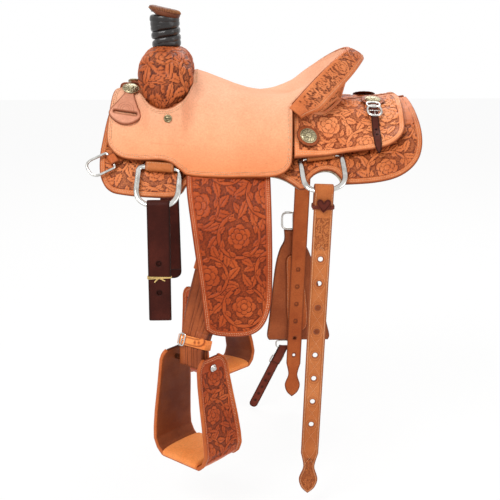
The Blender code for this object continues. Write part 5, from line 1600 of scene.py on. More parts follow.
def roll_grid(count, crown):
    """Surface of the Cheyenne roll: stations along the rim by points of the crown (a, b)."""
    share = np.linspace(-ROLL_REACH, ROLL_REACH, count)
    a_share = np.abs(share)
    rim = rim_at(share)
    near_end = 1 - 0.34 * smooth_step(a_share, 0.90, 1.05)
    width = ROLL_WIDTH * (1 + 0.16 * smooth_step(a_share, 0.1, 0.6)) * near_end
    thick = ROLL_THICK * (0.45 + 0.55 * near_end)
    along = unit(rim_at(share + 0.02) - rim_at(share - 0.02))
    droop = ROLL_DROOP + math.radians(6) * a_share + math.radians(20) * smooth_step(a_share, 0.15, 0.75)
    out = unit(np.stack([np.ones(count), 0.55 * share, np.zeros(count)], -1))
    out = np.stack([out[:, 0] * np.cos(droop), out[:, 1] * np.cos(droop), -np.sin(droop)], -1)
    out = unit(out - along * (out * along).sum(1)[:, None])
    up = np.cross(out, along)
    up *= np.where(up[:, 2:3] < 0, -1, 1)
    start = rim + out * 0.0022 + up * (0.0045 * a_share ** 3 - 0.0015)[:, None]
    crown = np.asarray(crown, float)
    points = (start[:, None] + out[:, None] * (crown[None, :, :1] * width[:, None, None])
              + up[:, None] * (crown[None, :, 1:2] * thick[:, None, None]))
    return share, width, points


def make_roll():
    control = [(0.0, 0.0), (0.10, 0.35), (0.45, 0.55), (0.80, 0.45), (0.97, 0.05), (1.0, -0.45),
               (0.90, -0.85), (0.72, -0.70), (0.40, -0.45), (0.08, -0.42)]
    crown = spline(control, per=7)
    share, width, rings = roll_grid(330, crown)
    normal = unit(np.cross(np.gradient(rings, axis=0),
                           np.roll(rings, -1, 1) - np.roll(rings, 1, 1)))
    if float(((rings - rings.mean(1, keepdims=True)) * normal).sum()) < 0:
        normal = -normal
    top = (crown[:, 1] > 0.12) & (crown[:, 0] > 0.10) & (crown[:, 0] < 0.80)
    run = run_of(rings[:, 0])
    gu = np.broadcast_to(run[:, None], rings.shape[:2])
    gv = crown[None, :, 0] * width[:, None]
    raw = carving_at(gu, gv, *ROLL_CARVING)
    ends = 1 - smooth_step(np.abs(share), 0.96, 1.01)
    field = top[None, :] * (ends[:, None] > 0.5)
    groove = np.exp(-((crown[None, :, 0] - 0.82) * width[:, None]
                      / 0.0009) ** 2) * (crown[None, :, 1] > 0)
    rings = rings + normal * (carved_height(raw, THIN_CARVE_DEPTH) * field
                              - 0.0009 * groove)[..., None]
    # painted shade and light of the carving, and painted shade in the groove before the rolled edge
    carving_shade = carving_at(gu, gv, *ROLL_CARVING, SHADING)
    tone = np.where(field, carving_shade, 1.0) * (1 - 0.7 * groove)
    put(shape("carved_roll", [loft(rings)], "roll", {"carve": tone.ravel()}), "saddle",
        ("cheyenne_roll",))


def make_roll_stitching():
    """One row of stitches before the plain rolled edge."""
    line, over = (roll_grid(600, [(0.875, b)])[2][:, 0] for b in (0.37, 0.43))
    lift = unit(over - line)
    run = run_of(line)
    rows = []
    for spot in np.arange(0.004, run[-1] - 0.004, 0.0036):
        i = int(np.searchsorted(run, spot))
        j = int(np.searchsorted(run, spot + 0.0024))
        rows.append(sweep([line[i] - lift[i] * 0.0002, (line[i] + line[j]) / 2 + lift[i] * 0.0004,
                           line[j] - lift[j] * 0.0002], oval(0.0005, 0.0004, 6), lift[i]))
    put(shape("roll_stitching", rows, "thread"), "saddle")


def under_roll(depth, share):
    """Fall from the rim to the roll's underside, depth behind the rim."""
    return (0.0035 + 0.004 * abs(share) + max(0.0, depth) * math.tan(ROLL_DROOP + math.radians(6))
            + 0.85 * ROLL_THICK / math.cos(ROLL_DROOP))


def make_cantle_back():
    front, rear = 0.014 + GAP, 0.014 + GAP + 0.004

    def corner(share, depth, down):
        rim = rim_at(np.array(share))
        foot = height_on(float(rim[0]), float(rim[1]), bar_lift) + 0.0015
        high = float(rim[2]) - under_roll(depth, share)
        lean = 0.27 * max(0.0, float(rim[2]) - under_roll(front, share) - foot)
        return np.array([float(rim[0]) - 0.002 + depth - lean * down, float(rim[1]),
                         high + (foot - high) * down])

    count, rows = ((200, 66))
    shares = np.linspace(-CANTLE_REACH, CANTLE_REACH, count)
    outer = np.zeros((count, rows, 3))
    inner = np.zeros((count, 2, 3))
    for i, share in enumerate(shares):
        a, b = corner(share, rear, 0.0), corner(share, rear, 1.0)
        t = np.linspace(0, 1, rows)[:, None]
        outer[i] = a * (1 - t) + b * t
        inner[i] = [corner(share, front, 1.0), corner(share, front, 0.0)]
    normal = unit(np.cross(np.gradient(outer, axis=0), np.gradient(outer, axis=1)))
    normal *= np.where(normal[..., :1].mean() < 0, -1, 1)
    gu = np.broadcast_to((shares * RIM_HALF * 1.3)[:, None], (count, rows))
    gv = np.concatenate([np.zeros((count, 1)),
                         np.cumsum(np.linalg.norm(np.diff(outer, axis=1), axis=2), axis=1)], 1)
    raw = carving_at(gu, gv, *CANTLE_CARVING)
    field = (np.abs(shares)[:, None] < 0.80) * (gv > 0.008) * (gv < gv[:, -1:] - 0.010)
    outer = outer + normal * (carved_height(raw, THIN_CARVE_DEPTH) * field)[..., None]
    # painted shade and light of the carving
    tone = np.where(field, carving_at(gu, gv, *CANTLE_CARVING, SHADING), 1.0)
    tone = np.concatenate([tone, np.ones((count, 2))], 1).ravel()
    put(shape("carved_cantle_back", [loft(np.concatenate([outer, inner], 1))], "jockey",
              {"carve": tone}), "saddle", ("cantle_back",))


# Conchos, hangers and strings
CONCHO_SIDES = 96
# rings of a concho as shares of its radius: back, rope edge, cut line, engraved field, cut line and
# centre
CONCHO_RINGS = (1.0, 1.0, 0.975, 0.95, 0.92, 0.885, 0.86, 0.84, 0.78, 0.70, 0.60, 0.50, 0.42, 0.36,
                0.33, 0.30, 0.22, 0.12, 0.001)
ROPE_RINGS = (0.975, 0.95, 0.92)
CUT_RINGS = (0.885, 0.86, 0.36, 0.33)
ROPE_STRANDS = 34
PETALS = 12


def concho(name, matrix, radius):
    """Engraved domed disc with a rope edge and a small centre."""
    rings, tone = [], []
    angle = 2 * np.pi * np.arange(CONCHO_SIDES) / CONCHO_SIDES
    strands = np.cos(ROPE_STRANDS * angle + 2.0)
    for i, share in enumerate(CONCHO_RINGS):
        dome = 0.0010 + 0.0036 * (1 - share ** 2) if i else 0.0
        rise = dome + (0.00035 * strands if share in ROPE_RINGS else 0.0)
        shade = np.ones(CONCHO_SIDES)
        if share in CUT_RINGS:
            rise = rise - 0.0006
            shade = np.full(CONCHO_SIDES, 0.1)
        if 0.40 < share < 0.80:
            cut = np.abs(np.sin(PETALS * angle / 2 + share * 3.0)) ** 0.6
            fine = 0.5 + 0.5 * np.cos(PETALS * 4 * angle + share * 40)
            rise = rise - 0.0005 * (1 - cut) - 0.00015 * fine
            shade = np.clip(cut * (0.65 + 0.5 * fine), 0, 1)
        reach = radius * share * (1 + (0.006 * strands if share > 0.9 else 0))
        rings.append(stack(reach * np.cos(angle), reach * np.sin(angle), rise))
        tone.append(shade)
    points, faces = loft(rings)
    return shape(name, [(moved(points, matrix), faces)], "silver", {"carve": np.concatenate(tone)})


ROSETTE_THICK = 0.0022
ROSETTE_TEETH = 15
# share of the radius, height and edge value of each ring of a rosette
ROSETTE_RINGS = ((0.98, 0.0, 0), (1.0, 0.0006, 0), (1.0, ROSETTE_THICK - 0.0007, 0),
                 (0.97, ROSETTE_THICK, 0.4), (0.90, ROSETTE_THICK - 0.0005, 0.9),
                 (0.86, ROSETTE_THICK - 0.0001, 1), (0.4, ROSETTE_THICK, 1),
                 (0.01, ROSETTE_THICK, 1))


def rosette(name, matrix, radius):
    """Scalloped leather disc under a concho."""
    sides = ROSETTE_TEETH * 8
    angle = 2 * np.pi * np.arange(sides) / sides
    wave = np.abs(np.cos(ROSETTE_TEETH * angle / 2)) ** 0.7
    rings = []
    for share, rise, rim in ROSETTE_RINGS:
        reach = radius * share * (1 - (0.055 if share > 0.5 else 0) * (1 - wave))
        rings.append(stack(reach * np.cos(angle), reach * np.sin(angle), rise))
    points, faces = loft(rings)
    edge = np.repeat([float(rim) for share, rise, rim in ROSETTE_RINGS], sides)
    return shape(name, [(moved(points, matrix), faces)], "cinch", {"edge": edge})


def surface(place, x, s, height, side):
    """Points and outward normals of the surface place(x, s, height), on one side."""
    here = place(x, s, height)
    out = unit(np.cross(place(x + SURFACE_STEP, s, height) - here,
                        place(x, s + SURFACE_STEP, height) - here))
    out *= np.where(out[..., 1:2] + out[..., 2:3] < 0, -1, 1)
    flip = np.array([1.0, side, 1.0])
    return here * flip, out * flip


def facing(place, x, s, height, side, rise):
    """Frame on a surface, rise off it, with its Z outward."""
    here, out = surface(place, x, s, height, side)
    return frame_at(Vector(here) + Vector(out) * rise, out)


HANGER_X = -0.300
HANGER_S = 0.070
STRING_X = 0.258
STRING_S = 0.062


SURFACE_STEP = 0.004               # distance over which a surface's normal is taken
HANGER_THICK = 0.0036
HANGER_SLOT = (0.0240, 0.0022, 0.060)
HANGER_ARCHES = (0.0065, 0.0105, 0.0150)
JOCKEY_SCREW = (-0.2121, 0.1115)
CANTLE_CONCHO = (0.098, 0.186)
# name, place, height off the jockey, and radii of the rosette and the concho
REAR_CONCHOS = (("cantle", CANTLE_CONCHO, 0.0020, 0.0270, 0.0190),
                ("rear", (STRING_X, STRING_S), 0.0024, 0.0275, 0.0185))


def hanger_outline():
    """Keyhole shape: a narrow neck under the concho and a broad slotted foot."""
    right = [(0.0105, -0.012), (0.0110, 0.014), (0.0230, 0.040), (0.0350, 0.058), (0.0345, 0.068),
             (0.0190, 0.078), (0.0, 0.082)]
    return spline(right + [(-u, v) for u, v in reversed(right[:-1])], per=4)


def slot_outline(half, width, v):
    end = [(half + width * math.cos(a), v + width * math.sin(a))
           for a in np.linspace(-math.pi / 2, math.pi / 2, 7)]
    return np.array(end + [(-x, y) for x, y in end[::-1]])


def arched(u, v, inset):
    """Tooling of the hangers: an edge crease and a fan of arches above the slot, with painted shade in
    the crease, the arches and the fan.
    """
    height, tone = creased(0.0026, 0.0005)(u, v, inset)
    reach = np.hypot(u * 0.85, v - 0.0540)
    for radius in HANGER_ARCHES:
        line = np.exp(-((reach - radius) / 0.0006) ** 2) * (v < 0.0545)
        height, tone = height - 0.0004 * line, tone * (1 - 0.75 * line)
    fan = (reach > 0.0068) * (reach < 0.0102) * (v < 0.0540)
    spokes = np.exp(-(np.sin(np.arctan2(u, 0.0540 - v) * 8) / 0.35) ** 2) * fan
    return height - 0.0003 * spokes, tone * (1 - 0.5 * spokes)


def make_front_trim():
    for word, side in SIDES:

        def place(u, v, w, side=side):
            x = HANGER_X + u - 0.16 * v
            point, normal = surface(seat_point, x, HANGER_S + v * 0.98, SEAT_LEATHER, side)
            lift = 0.0012 + 0.0022 * smooth_step(v, 0.01, 0.05) + w
            return point + normal * np.asarray(lift)[..., None]

        leather = sheet("hanger_" + word, hanger_outline(), place, HANGER_THICK, PAINT["hanger"],
                        step=0.0010, holes=[slot_outline(*HANGER_SLOT)], relief=arched)
        put(leather, "saddle", ("slotted_hanger_" + word,))
        at = facing(seat_point, HANGER_X, HANGER_S, SEAT_LEATHER, side, 0.0054)
        put(concho("concho_front_" + word, at, 0.0190), "saddle", ("front_concho_" + word,))
        at = facing(seat_place, *JOCKEY_SCREW, SEAT_LEATHER, side, 0.0006)
        put(screw("jockey_screw_" + word, at, 0.0092), "saddle")


def screw(name, matrix, r):
    """Cup washer of radius r with a slotted, domed screw head in it."""
    washer = lathe([(r * 0.96, 0.0), (r, 0.0009), (r * 0.90, 0.0019), (r * 0.74, 0.0019),
                    (r * 0.62, 0.0009), (0, 0.0008)], 48, matrix)
    head = lathe([(r * 0.56, 0.0008), (r * 0.55, 0.0014), (r * 0.42, 0.0023), (r * 0.2, 0.0027),
                  (0, 0.0028)], 40, matrix)
    corners = ((-0.5, -0.06), (0.5, -0.06), (0.5, 0.06), (-0.5, 0.06))
    slot = moved([(a * r, b * r, c) for c in (0.0019, 0.0030) for a, b in corners], matrix)
    slot_faces = [[3, 2, 1, 0], [4, 5, 6, 7], [0, 1, 5, 4], [1, 2, 6, 5], [2, 3, 7, 6], [3, 0, 4, 7]]
    tone = np.ones(len(washer[0]) + len(head[0]) + len(slot))
    # the slot is a dark block standing on the head: painted shade of the slot
    tone[-len(slot):] = 0.0
    return shape(name, [washer, head, (slot, slot_faces)], "silver", {"carve": tone})


STRING_TOP = 0.020                 # string strap's start below the middle of the concho
STRING_HOLES = (0.088, 0.106)
# name, place down the strap, half sizes and height of the buckle and the keeper ring above it
STRING_RINGS = (("string_buckle_", 0.036, (0.0160, 0.0185), 0.0034),
                ("string_ring_", 0.012, (0.0150, 0.0110), 0.0036))


def string_ring(place, at_v, size, lift, with_bar):
    """Oval ring on the string strap, for a buckle with its centre bar and tongue."""
    middle, ahead, over = (place(np.array(0.0), np.array(v), np.array(w))
                           for v, w in ((at_v, lift), (at_v + 0.01, lift), (at_v, lift + 0.01)))
    along, up = unit(ahead - middle), unit(over - middle)
    wide = np.cross(along, up)
    ring = superring(*size, 0.8, 40)
    line = middle + wide * ring[:, :1] + along * ring[:, 1:]
    parts = [sweep(line, oval(0.0021, 0.0030, 12), up, closed=True)]
    if with_bar:
        parts.append(sweep([middle - wide * size[0], middle + wide * size[0]],
                           oval(0.0011, 0.0011, 10), up))
        tongue = [middle - along * 0.001 + up * 0.0012, middle + along * 0.006 + up * 0.0021,
                  middle + along * (size[1] + 0.0012) + up * 0.0018]
        parts.append(sweep(tongue, oval(0.0009, 0.0009, 8), wide))
    return parts


def make_rear_trim():
    outline = spline([(-0.0085, 0.008, 1), (0.0085, 0.008, 1), (0.0086, 0.060), (0.0085, 0.110),
                      (0.0078, 0.138), (0.0005, 0.158), (-0.0070, 0.138), (-0.0085, 0.110),
                      (-0.0086, 0.060)], per=5)
    for word, side in SIDES:
        for stem, spot, rise, radius, disc in REAR_CONCHOS:
            base = facing(rear_jockey_point, *spot, JOCKEY, side, rise)
            put(rosette("{}_rosette_{}".format(stem, word), base, radius), "saddle")
            put(concho("concho_{}_{}".format(stem, word), base @ Matrix.Translation((0, 0, 0.0024)),
                       disc), "saddle", ("{}_concho_{}".format(stem, word),))

        def place(u, v, w, side=side):
            point, normal = surface(rear_jockey_point, STRING_X - 0.004 + u - 0.02 * v,
                                    STRING_S + STRING_TOP + v, JOCKEY, side)
            clear = 0.0007 + 0.0048 * smooth_step(v, 0.0,
                                                  0.01) - 0.0041 * smooth_step(v, 0.05, 0.09) + w
            return point + normal * np.asarray(clear)[..., None]

        strap = sheet("string_leather_" + word, outline, place, 0.0022, PAINT["dark"], step=0.0011,
                      relief=creased(0.0016, 0.0003), holes=[hole_at(0.0, v, 0.0014)
                                                             for v in STRING_HOLES])
        put(strap, "saddle", ("string_strap_" + word,))
        for stem, at_v, size, lift in STRING_RINGS:
            parts = string_ring(place, at_v, size, lift, "buckle" in stem)
            put(shape(stem + word, parts, "steel"), "saddle")


# Rigging: dees and the leathers that hold them
DEE_BAR = 0.0036
DEE_BROAD = 0.0062
DEE_HALF = 0.046
DEE_DROP = 0.096
FRONT_DEE = (-0.231, 0.228)
REAR_DEE = (0.126, 0.212)
BREAST_WIRE = 0.0030
STRAP_PLATE = 0.0028
RUNNING = 0.0006
LOOP_STEPS = 0.090                 # share of v that a fold or a bow takes up
DEE_CORNER = 0.010
DEE_POWER = 2.6
DEE_ARC = 50
DEE_CORNER_STEPS = 10
BREAST_DEE = (-0.338, 0.222)
BREAST_LIFT = 0.0078
BREAST_TURN = math.radians(-52)
BREAST_HALF = 0.021
BREAST_DROP = 0.056
RIGGING_HALF = DEE_HALF - 0.014    # half width of the leather through a rigging dee
TAB_HALF = 0.0125
TAB_THICK = 0.0025


def dee_path(half, drop, corner):
    """Middle line of a dee's bar: round below, straight with two corners above."""
    points = []
    share = 2 / DEE_POWER
    for k in range(DEE_ARC + 1):
        angle = math.pi * k / DEE_ARC
        c, s = math.cos(angle), max(0.0, math.sin(angle))
        points.append((math.copysign(abs(c) ** share, c) * half,
                       -(drop - half) - half * s ** share))
    for cx, start in ((-half + corner, math.pi), (half - corner, math.pi / 2)):
        for k in range(DEE_CORNER_STEPS + 1):
            angle = start - math.pi / 2 * k / DEE_CORNER_STEPS
            points.append((cx + corner * math.cos(angle), -corner + corner * math.sin(angle)))
    return points


def hang_frame(x, s, lift, side):
    """Frame on the side of the saddle: X to the rear, Y up the side, Z outward."""
    place = Vector(back(x, side * s, lift))
    along = (Vector(back(x + 0.05, side * s, lift))
             - Vector(back(x - 0.05, side * s, lift))).normalized()
    here = float(slope_at(x)) + RIB_CURVE * s
    out = Vector((0, side * math.sin(here), math.cos(here)))
    out = (out - along * out.dot(along)).normalized()
    up = out.cross(along)
    if up.z < 0:
        up = -up
    return Matrix.Translation(place) @ Matrix((along, up, out)).transposed().to_4x4()


def dee_frame(spot, side):
    return hang_frame(spot[0], spot[1], SKIRT_TOP + GAP + STRAP_PLATE + RUNNING + DEE_BAR, side)


def even_loop(points, step=0.0015):
    """Closed line with even steps, softened a little."""
    line = dense(points, step)
    for _ in range(2):
        line = line * 0.5 + (np.roll(line, 1, 0) + np.roll(line, -1, 0)) * 0.25
    return line


def fold_place(frame, around, below):
    """Place function of a leather folded round a bar: flat side inside, back over it outside."""
    m = np.array(frame)

    def place(u, v, w):
        u, v, w = np.broadcast_arrays(np.asarray(u, float), np.asarray(v, float),
                                      np.asarray(w, float))
        bend = np.clip(math.pi * v / LOOP_STEPS, 0, math.pi)
        y = np.where(v <= 0, -v, np.where(v >= LOOP_STEPS, v - LOOP_STEPS,
                                          -np.sin(bend) * (below + w)))
        z = np.where(v <= 0, -around - w, np.where(v >= LOOP_STEPS, around + w,
                                                   -np.cos(bend) * (around + w)))
        local = np.stack([u, y, z], -1)
        return local @ m[:3, :3].T + m[:3, 3]
    return place


def make_dee(name, frame, line, section):
    """Steel dee of a bar bent along a line in its frame."""
    line = moved(np.concatenate([line, np.zeros((len(line), 1))], 1), frame)
    out = np.array(frame.to_3x3() @ Vector((0, 0, 1)))
    put(shape("steel_" + name, [sweep(line, section, out, closed=True)], "steel"), name, (name,))


def folded_leather(half, above):
    """Outline of a leather folded round a dee, in steps round the fold."""
    return box_outline(-half, half, -0.030, LOOP_STEPS + above)


def make_rigging():
    outline = folded_leather(RIGGING_HALF, 0.012)
    path = even_loop(dee_path(DEE_HALF, DEE_DROP, DEE_CORNER))
    section = oval(DEE_BAR - 0.0001, DEE_BROAD - 0.0001, 24)
    for word, side in SIDES:
        for end, spot in (("front", FRONT_DEE), ("rear", REAR_DEE)):
            frame = dee_frame(spot, side)
            place = fold_place(frame, DEE_BAR + RUNNING, DEE_BROAD + RUNNING)
            leather = sheet("rigging_leather_{}_{}".format(end, word), outline, place, STRAP_PLATE,
                            PAINT["billet"], step=0.0026, relief=creased(0.0045), under=2)
            put(leather, "saddle", ("rigging_{}_{}".format(end, word),))
            row = stitch_row(outline, place, STRAP_PLATE - THREAD_SINK,
                             0.0045, lambda u, v: v > LOOP_STEPS * 0.62)
            put(stitching("rigging_stitching_{}_{}".format(end, word), [row]), "saddle")
            make_dee("{}_dee_{}".format(end, word), frame, path, section)


def make_breast():
    reach = BREAST_WIRE + RUNNING
    path = even_loop(dee_path(BREAST_HALF, BREAST_DROP, 0.006), 0.001)
    for word, side in SIDES:
        frame = hang_frame(*BREAST_DEE, SKIRT_TOP + BREAST_LIFT,
                           side) @ Matrix.Rotation(BREAST_TURN, 4, "Z")
        make_dee("breast_dee_" + word, frame, path, oval(BREAST_WIRE, BREAST_WIRE))
        tab = sheet("breast_leather_" + word, folded_leather(TAB_HALF, 0.014),
                    fold_place(frame, reach, reach), TAB_THICK, PAINT["strap"], step=0.0016,
                    relief=creased(0.0026), under=2)
        put(tab, "saddle", ("breast_tab_" + word,))


# Straps that hang from the dees
LATIGO_WIDTH = 0.0495
BILLET_WIDTH = 0.042
BILLET_LENGTH = 0.710
HOLE = 0.0055
FIRST_HOLE = 0.150
HOLE_PITCH = 0.0555
STRAP_SHIFT = 0.006
BILLET_LEAN = math.radians(2.2)
OFF_BILLET_LENGTH = 0.705
CINCH_DROP = 0.205
CINCH_SHIFT = -0.028
STRAP = 0.004
WIDE_STRAP = 0.0034                # thickness of the latigo and the off billet
LATIGO_TAIL, LATIGO_DROP = 0.160, 0.2545
LATIGO_HOLES = (0.128, 0.194)
LATIGO_TIE = 0.160                 # where the thong is tied, below the dee
OFF_TAIL, OFF_DROP = 0.285, 0.315
OFF_FIRST_HOLE, OFF_PITCH = 0.130, 0.038
FLANK_FIRST_HOLE, FLANK_PITCH = 0.330, 0.050
BILLET_CARVING = (0.0062, THIN_CARVE_DEPTH, 0.62, 0.0, (0.01, 0.02))


def bow_point(spot, side):
    """Middle of a dee's lower bow."""
    return dee_frame(spot, side) @ Vector((0, -DEE_DROP, 0)) + Vector((0, 0, 0.0002))


BOW_RADIUS = DEE_BROAD + 0.0048    # middle of a strap that is folded over a dee


def hanging_path(tail, drop):
    """Line (outward, up) of a strap over a dee, from its tail inside to its end outside."""
    angle = np.pi - np.pi * np.arange(17) / 16
    arc = BOW_RADIUS * np.stack([np.cos(angle), np.sin(angle)], -1)
    inner = np.stack([np.full(12, -BOW_RADIUS), np.linspace(-tail, -0.004, 12)], -1)
    outer = np.stack([np.full(30, BOW_RADIUS), np.linspace(-0.004, -drop, 30)], -1)
    return np.concatenate([inner, arc, outer])


def wide_strap(name, flat, place, side, outline_tip, holes):
    """Latigo or off billet along a line (outward, up) from a place on its dee."""
    path = np.stack([np.full(len(flat), place.x), place.y + side * flat[:, 0],
                     place.z + flat[:, 1]], -1)
    at = on_path(path, (-side, 0, 0))
    strap = sheet(name, strip_outline(at.length, LATIGO_WIDTH / 2, **outline_tip),
                  lambda u, v, w: at(u, v, w - WIDE_STRAP / 2), WIDE_STRAP, PAINT["latigo"],
                  step=0.0022, relief=creased(0.0038), under=2, holes=holes)
    return strap, at


def make_latigo():
    place = bow_point(FRONT_DEE, -1) + Vector((STRAP_SHIFT, 0, 0))
    bend = BOW_RADIUS + np.array([-0.0010, -0.0026, -0.0043])
    bend = np.stack([bend, [-0.2562, -0.2572, -0.2562]], -1)
    rise = np.stack([np.full(30, BOW_RADIUS - 0.0054), np.linspace(-LATIGO_DROP, -0.060, 30)], -1)
    flat = np.concatenate([hanging_path(LATIGO_TAIL, LATIGO_DROP), bend, rise])
    over = LATIGO_TAIL + math.pi * BOW_RADIUS
    strap, at = wide_strap("latigo_leather", flat, place, -1, {}, [hole_at(-0.001, over + d, 0.0048)
                                                                   for d in LATIGO_HOLES])
    put(strap, "latigo", ("latigo",))
    # thong that ties the folded end
    middle = at(np.array(-0.001), np.array(over + LATIGO_TIE), np.array(WIDE_STRAP / 2 + 0.0008))
    ring = superring(LATIGO_WIDTH / 2 + 0.0012, 0.0062, 0.30, 80)
    loops = []
    for rise, tilt in ((0.0, 0.04), (0.0024, -0.02)):
        line = stack(place.x + ring[:, 0], place.y - BOW_RADIUS + 0.0027 + ring[:, 1],
                     middle[2] + rise + tilt * ring[:, 0])
        loops.append(sweep(line, oval(0.0012, 0.0012, 8), (0, 0, 1), closed=True))
    for du, dz in ((0.013, -0.006), (-0.010, -0.009)):
        line = np.array([middle, middle + (du * 0.5, -0.0022, dz * 0.3),
                         middle + (du, -0.0012, dz)])
        loops.append(sweep(smooth_path(line, 0.001), oval(0.0015, 0.0008, 8), (0, 0, 1)))
    put(shape("latigo_thong", loops, "tie"), "latigo")


def make_off_billet():
    place = bow_point(FRONT_DEE, 1) + Vector((STRAP_SHIFT, 0, 0))
    over = OFF_TAIL + math.pi * BOW_RADIUS
    holes = [hole_at(0.0, over + OFF_FIRST_HOLE + OFF_PITCH * k, 0.0040) for k in range(5)]
    strap, _ = wide_strap("off_billet_leather", hanging_path(OFF_TAIL, OFF_DROP), place, 1,
                          {"tip": 0.020}, holes)
    turned_piece(strap, turn_about(place, -BILLET_LEAN / 2, "Y"))
    put(strap, "off_billet", ("off_billet",))


def billet_outline(length):
    """Flank billet with its waisted tip, v upward from the middle of the dee's bow."""
    half = BILLET_WIDTH / 2
    right = [(half, LOOP_STEPS + 0.045), (half, 0.0), (half - 0.001, -(length - 0.100))]
    tip = spline([(half - 0.001, -(length - 0.100), 1), (0.0135, -(length - 0.074)),
                  (0.0140, -(length - 0.060)), (0.0215, -(length - 0.036)),
                  (0.0150, -(length - 0.014)), (0.0, -length, 1)], per=6, closed=False)
    line = np.concatenate([np.array(right[:-1]), tip])
    return np.concatenate([line, (line[:-1] * (-1, 1))[::-1]])


def billet_place(place, hand):
    """Place function of a flank billet that hangs over its dee; hand is its outward side."""
    def at(u, v, w):
        u, v, w = np.broadcast_arrays(np.asarray(u, float), np.asarray(v, float),
                                      np.asarray(w, float))
        reach = BOW_RADIUS + w
        bend = np.clip(math.pi * v / LOOP_STEPS, 0, math.pi)
        y = np.where(v <= 0, hand * reach, np.where(v >= LOOP_STEPS, -hand * reach,
                                                    hand * np.cos(bend) * reach))
        z = np.where(v <= 0, v, np.where(v >= LOOP_STEPS, -(v - LOOP_STEPS), np.sin(bend) * reach))
        return np.stack([place.x + u, place.y + y, place.z + z], -1)
    return at


def hole_rows(at):
    """Stitches of the two curved rows that cross between the holes."""
    spots = []
    for v in np.arange(-FIRST_HOLE + HOLE_PITCH / 2, -(BILLET_LENGTH - 0.06), -0.0032):
        swing = 0.0128 * math.sin(math.pi * (-v - FIRST_HOLE + HOLE_PITCH / 2) / HOLE_PITCH)
        spots += [(-swing, v), (swing, v)]
    spots = np.array(spots)
    half_long, half_wide = 0.0012, 0.0005
    foot = ((-half_wide, -half_long, -0.0003), (half_wide, -half_long, -0.0003),
            (half_wide, half_long, -0.0003), (-half_wide, half_long, -0.0003),
            (0, -half_long * 0.5, 0.0006), (0, half_long * 0.5, 0.0006))
    rings = np.stack([at(spots[:, 0] + a, spots[:, 1] + b, STRAP - THREAD_SINK + c)
                      for a, b, c in foot], 1)
    local = [(0, 1, 4), (1, 2, 5, 4), (2, 3, 5), (3, 0, 4, 5), (3, 2, 1, 0)]
    return rings.reshape(-1, 3), [[k + 6 * i for k in face] for i in range(len(spots))
                                  for face in local]


def make_keeper(near, turn):
    """Keeper of the near flank billet with its heart-shaped lacing."""
    reach = BOW_RADIUS + STRAP + 0.0022
    corner = superring(BILLET_WIDTH / 2 + 0.0022, reach, 0.35, 60)
    line = stack(near.x + corner[:, 0], near.y + corner[:, 1], near.z - 0.034)
    ring = sweep(line, block(0.0038, 0.0014, 0.0005), (0, 0, 1), closed=True)
    face = near.y - reach - 0.0018
    cords = []
    for hand in (-1, 1):
        cord = np.array([(0, -0.044), (hand * 0.010, -0.034), (hand * 0.0155, -0.024),
                         (hand * 0.0125, -0.0165), (hand * 0.0055, -0.0165), (0, -0.0235)])
        cord = smooth_path(stack(near.x + cord[:, 0], face, near.z + cord[:, 1]), 0.001)
        cords.append(sweep(cord, block(0.0016, 0.0009, 0.0004), (0, 1, 0)))
    heart = spline([(0.0, -0.0240, 1), (0.0055, -0.0172), (0.0122, -0.0172), (0.0150, -0.0240),
                    (0.0098, -0.0335), (0.0, -0.0435, 1), (-0.0098, -0.0335), (-0.0150, -0.0240),
                    (-0.0122, -0.0172), (-0.0055, -0.0172)], per=4)
    band = shape("keeper_band", [ring], "mahogany")
    lace = shape("keeper_lacing", cords, "mahogany")
    filled = sheet("keeper_heart", heart, lambda u, v, w: stack(near.x + u, face + 0.0008 - w,
                                                                near.z + v), 0.0012,
                   PAINT["mahogany"], step=0.0012, relief=creased(0.0014, 0.0003))
    for piece, nodes in ((band, ("lace_keeper",)), (filled, ()), (lace, ())):
        put(turned_piece(piece, turn), "flank_billet_near", nodes)


def make_near_flank_billet():
    near = bow_point(REAR_DEE, -1) - Vector((STRAP_SHIFT, 0, 0.0012))
    turn = turn_about(near, BILLET_LEAN, "Y")
    holes = [hole_at(0, -FIRST_HOLE - HOLE_PITCH * k, HOLE, 20) for k in range(8)]
    outline = billet_outline(BILLET_LENGTH)
    at = billet_place(near, -1)

    def field(u, v):
        # carved above the holes and on the tip, plain leather round each hole
        high = (v < -0.058) & (v > -(FIRST_HOLE - 0.020))
        return (high | (v < -(BILLET_LENGTH - 0.088))).astype(float)

    strap = sheet("flank_billet_leather", outline, at, STRAP, PAINT["billet"], step=0.0013,
                  holes=holes, under=2, relief=carved(*BILLET_CARVING, field))
    put(turned_piece(strap, turn), "flank_billet_near", ("flank_billet_near",))
    border = stitch_row(outline, at, STRAP - THREAD_SINK, 0.0036, lambda u, v: v < -0.004,
                        pitch=0.0032)
    thread = stitching("billet_stitching", [border, hole_rows(at)])
    put(turned_piece(thread, turn), "flank_billet_near")
    make_keeper(near, turn)


def make_off_flank_billet():
    off = bow_point(REAR_DEE, 1)
    holes = [hole_at(0, -FLANK_FIRST_HOLE - FLANK_PITCH * k, 0.0042) for k in range(6)]
    strap = sheet("off_flank_leather", billet_outline(OFF_BILLET_LENGTH), billet_place(off, 1), STRAP,
                  PAINT["strap"], step=0.0020, holes=holes, relief=creased(0.0038, 0.0005), under=2)
    turned_piece(strap, turn_about(off, BILLET_LEAN, "Y"))
    put(strap, "flank_billet_off", ("flank_billet_off",))


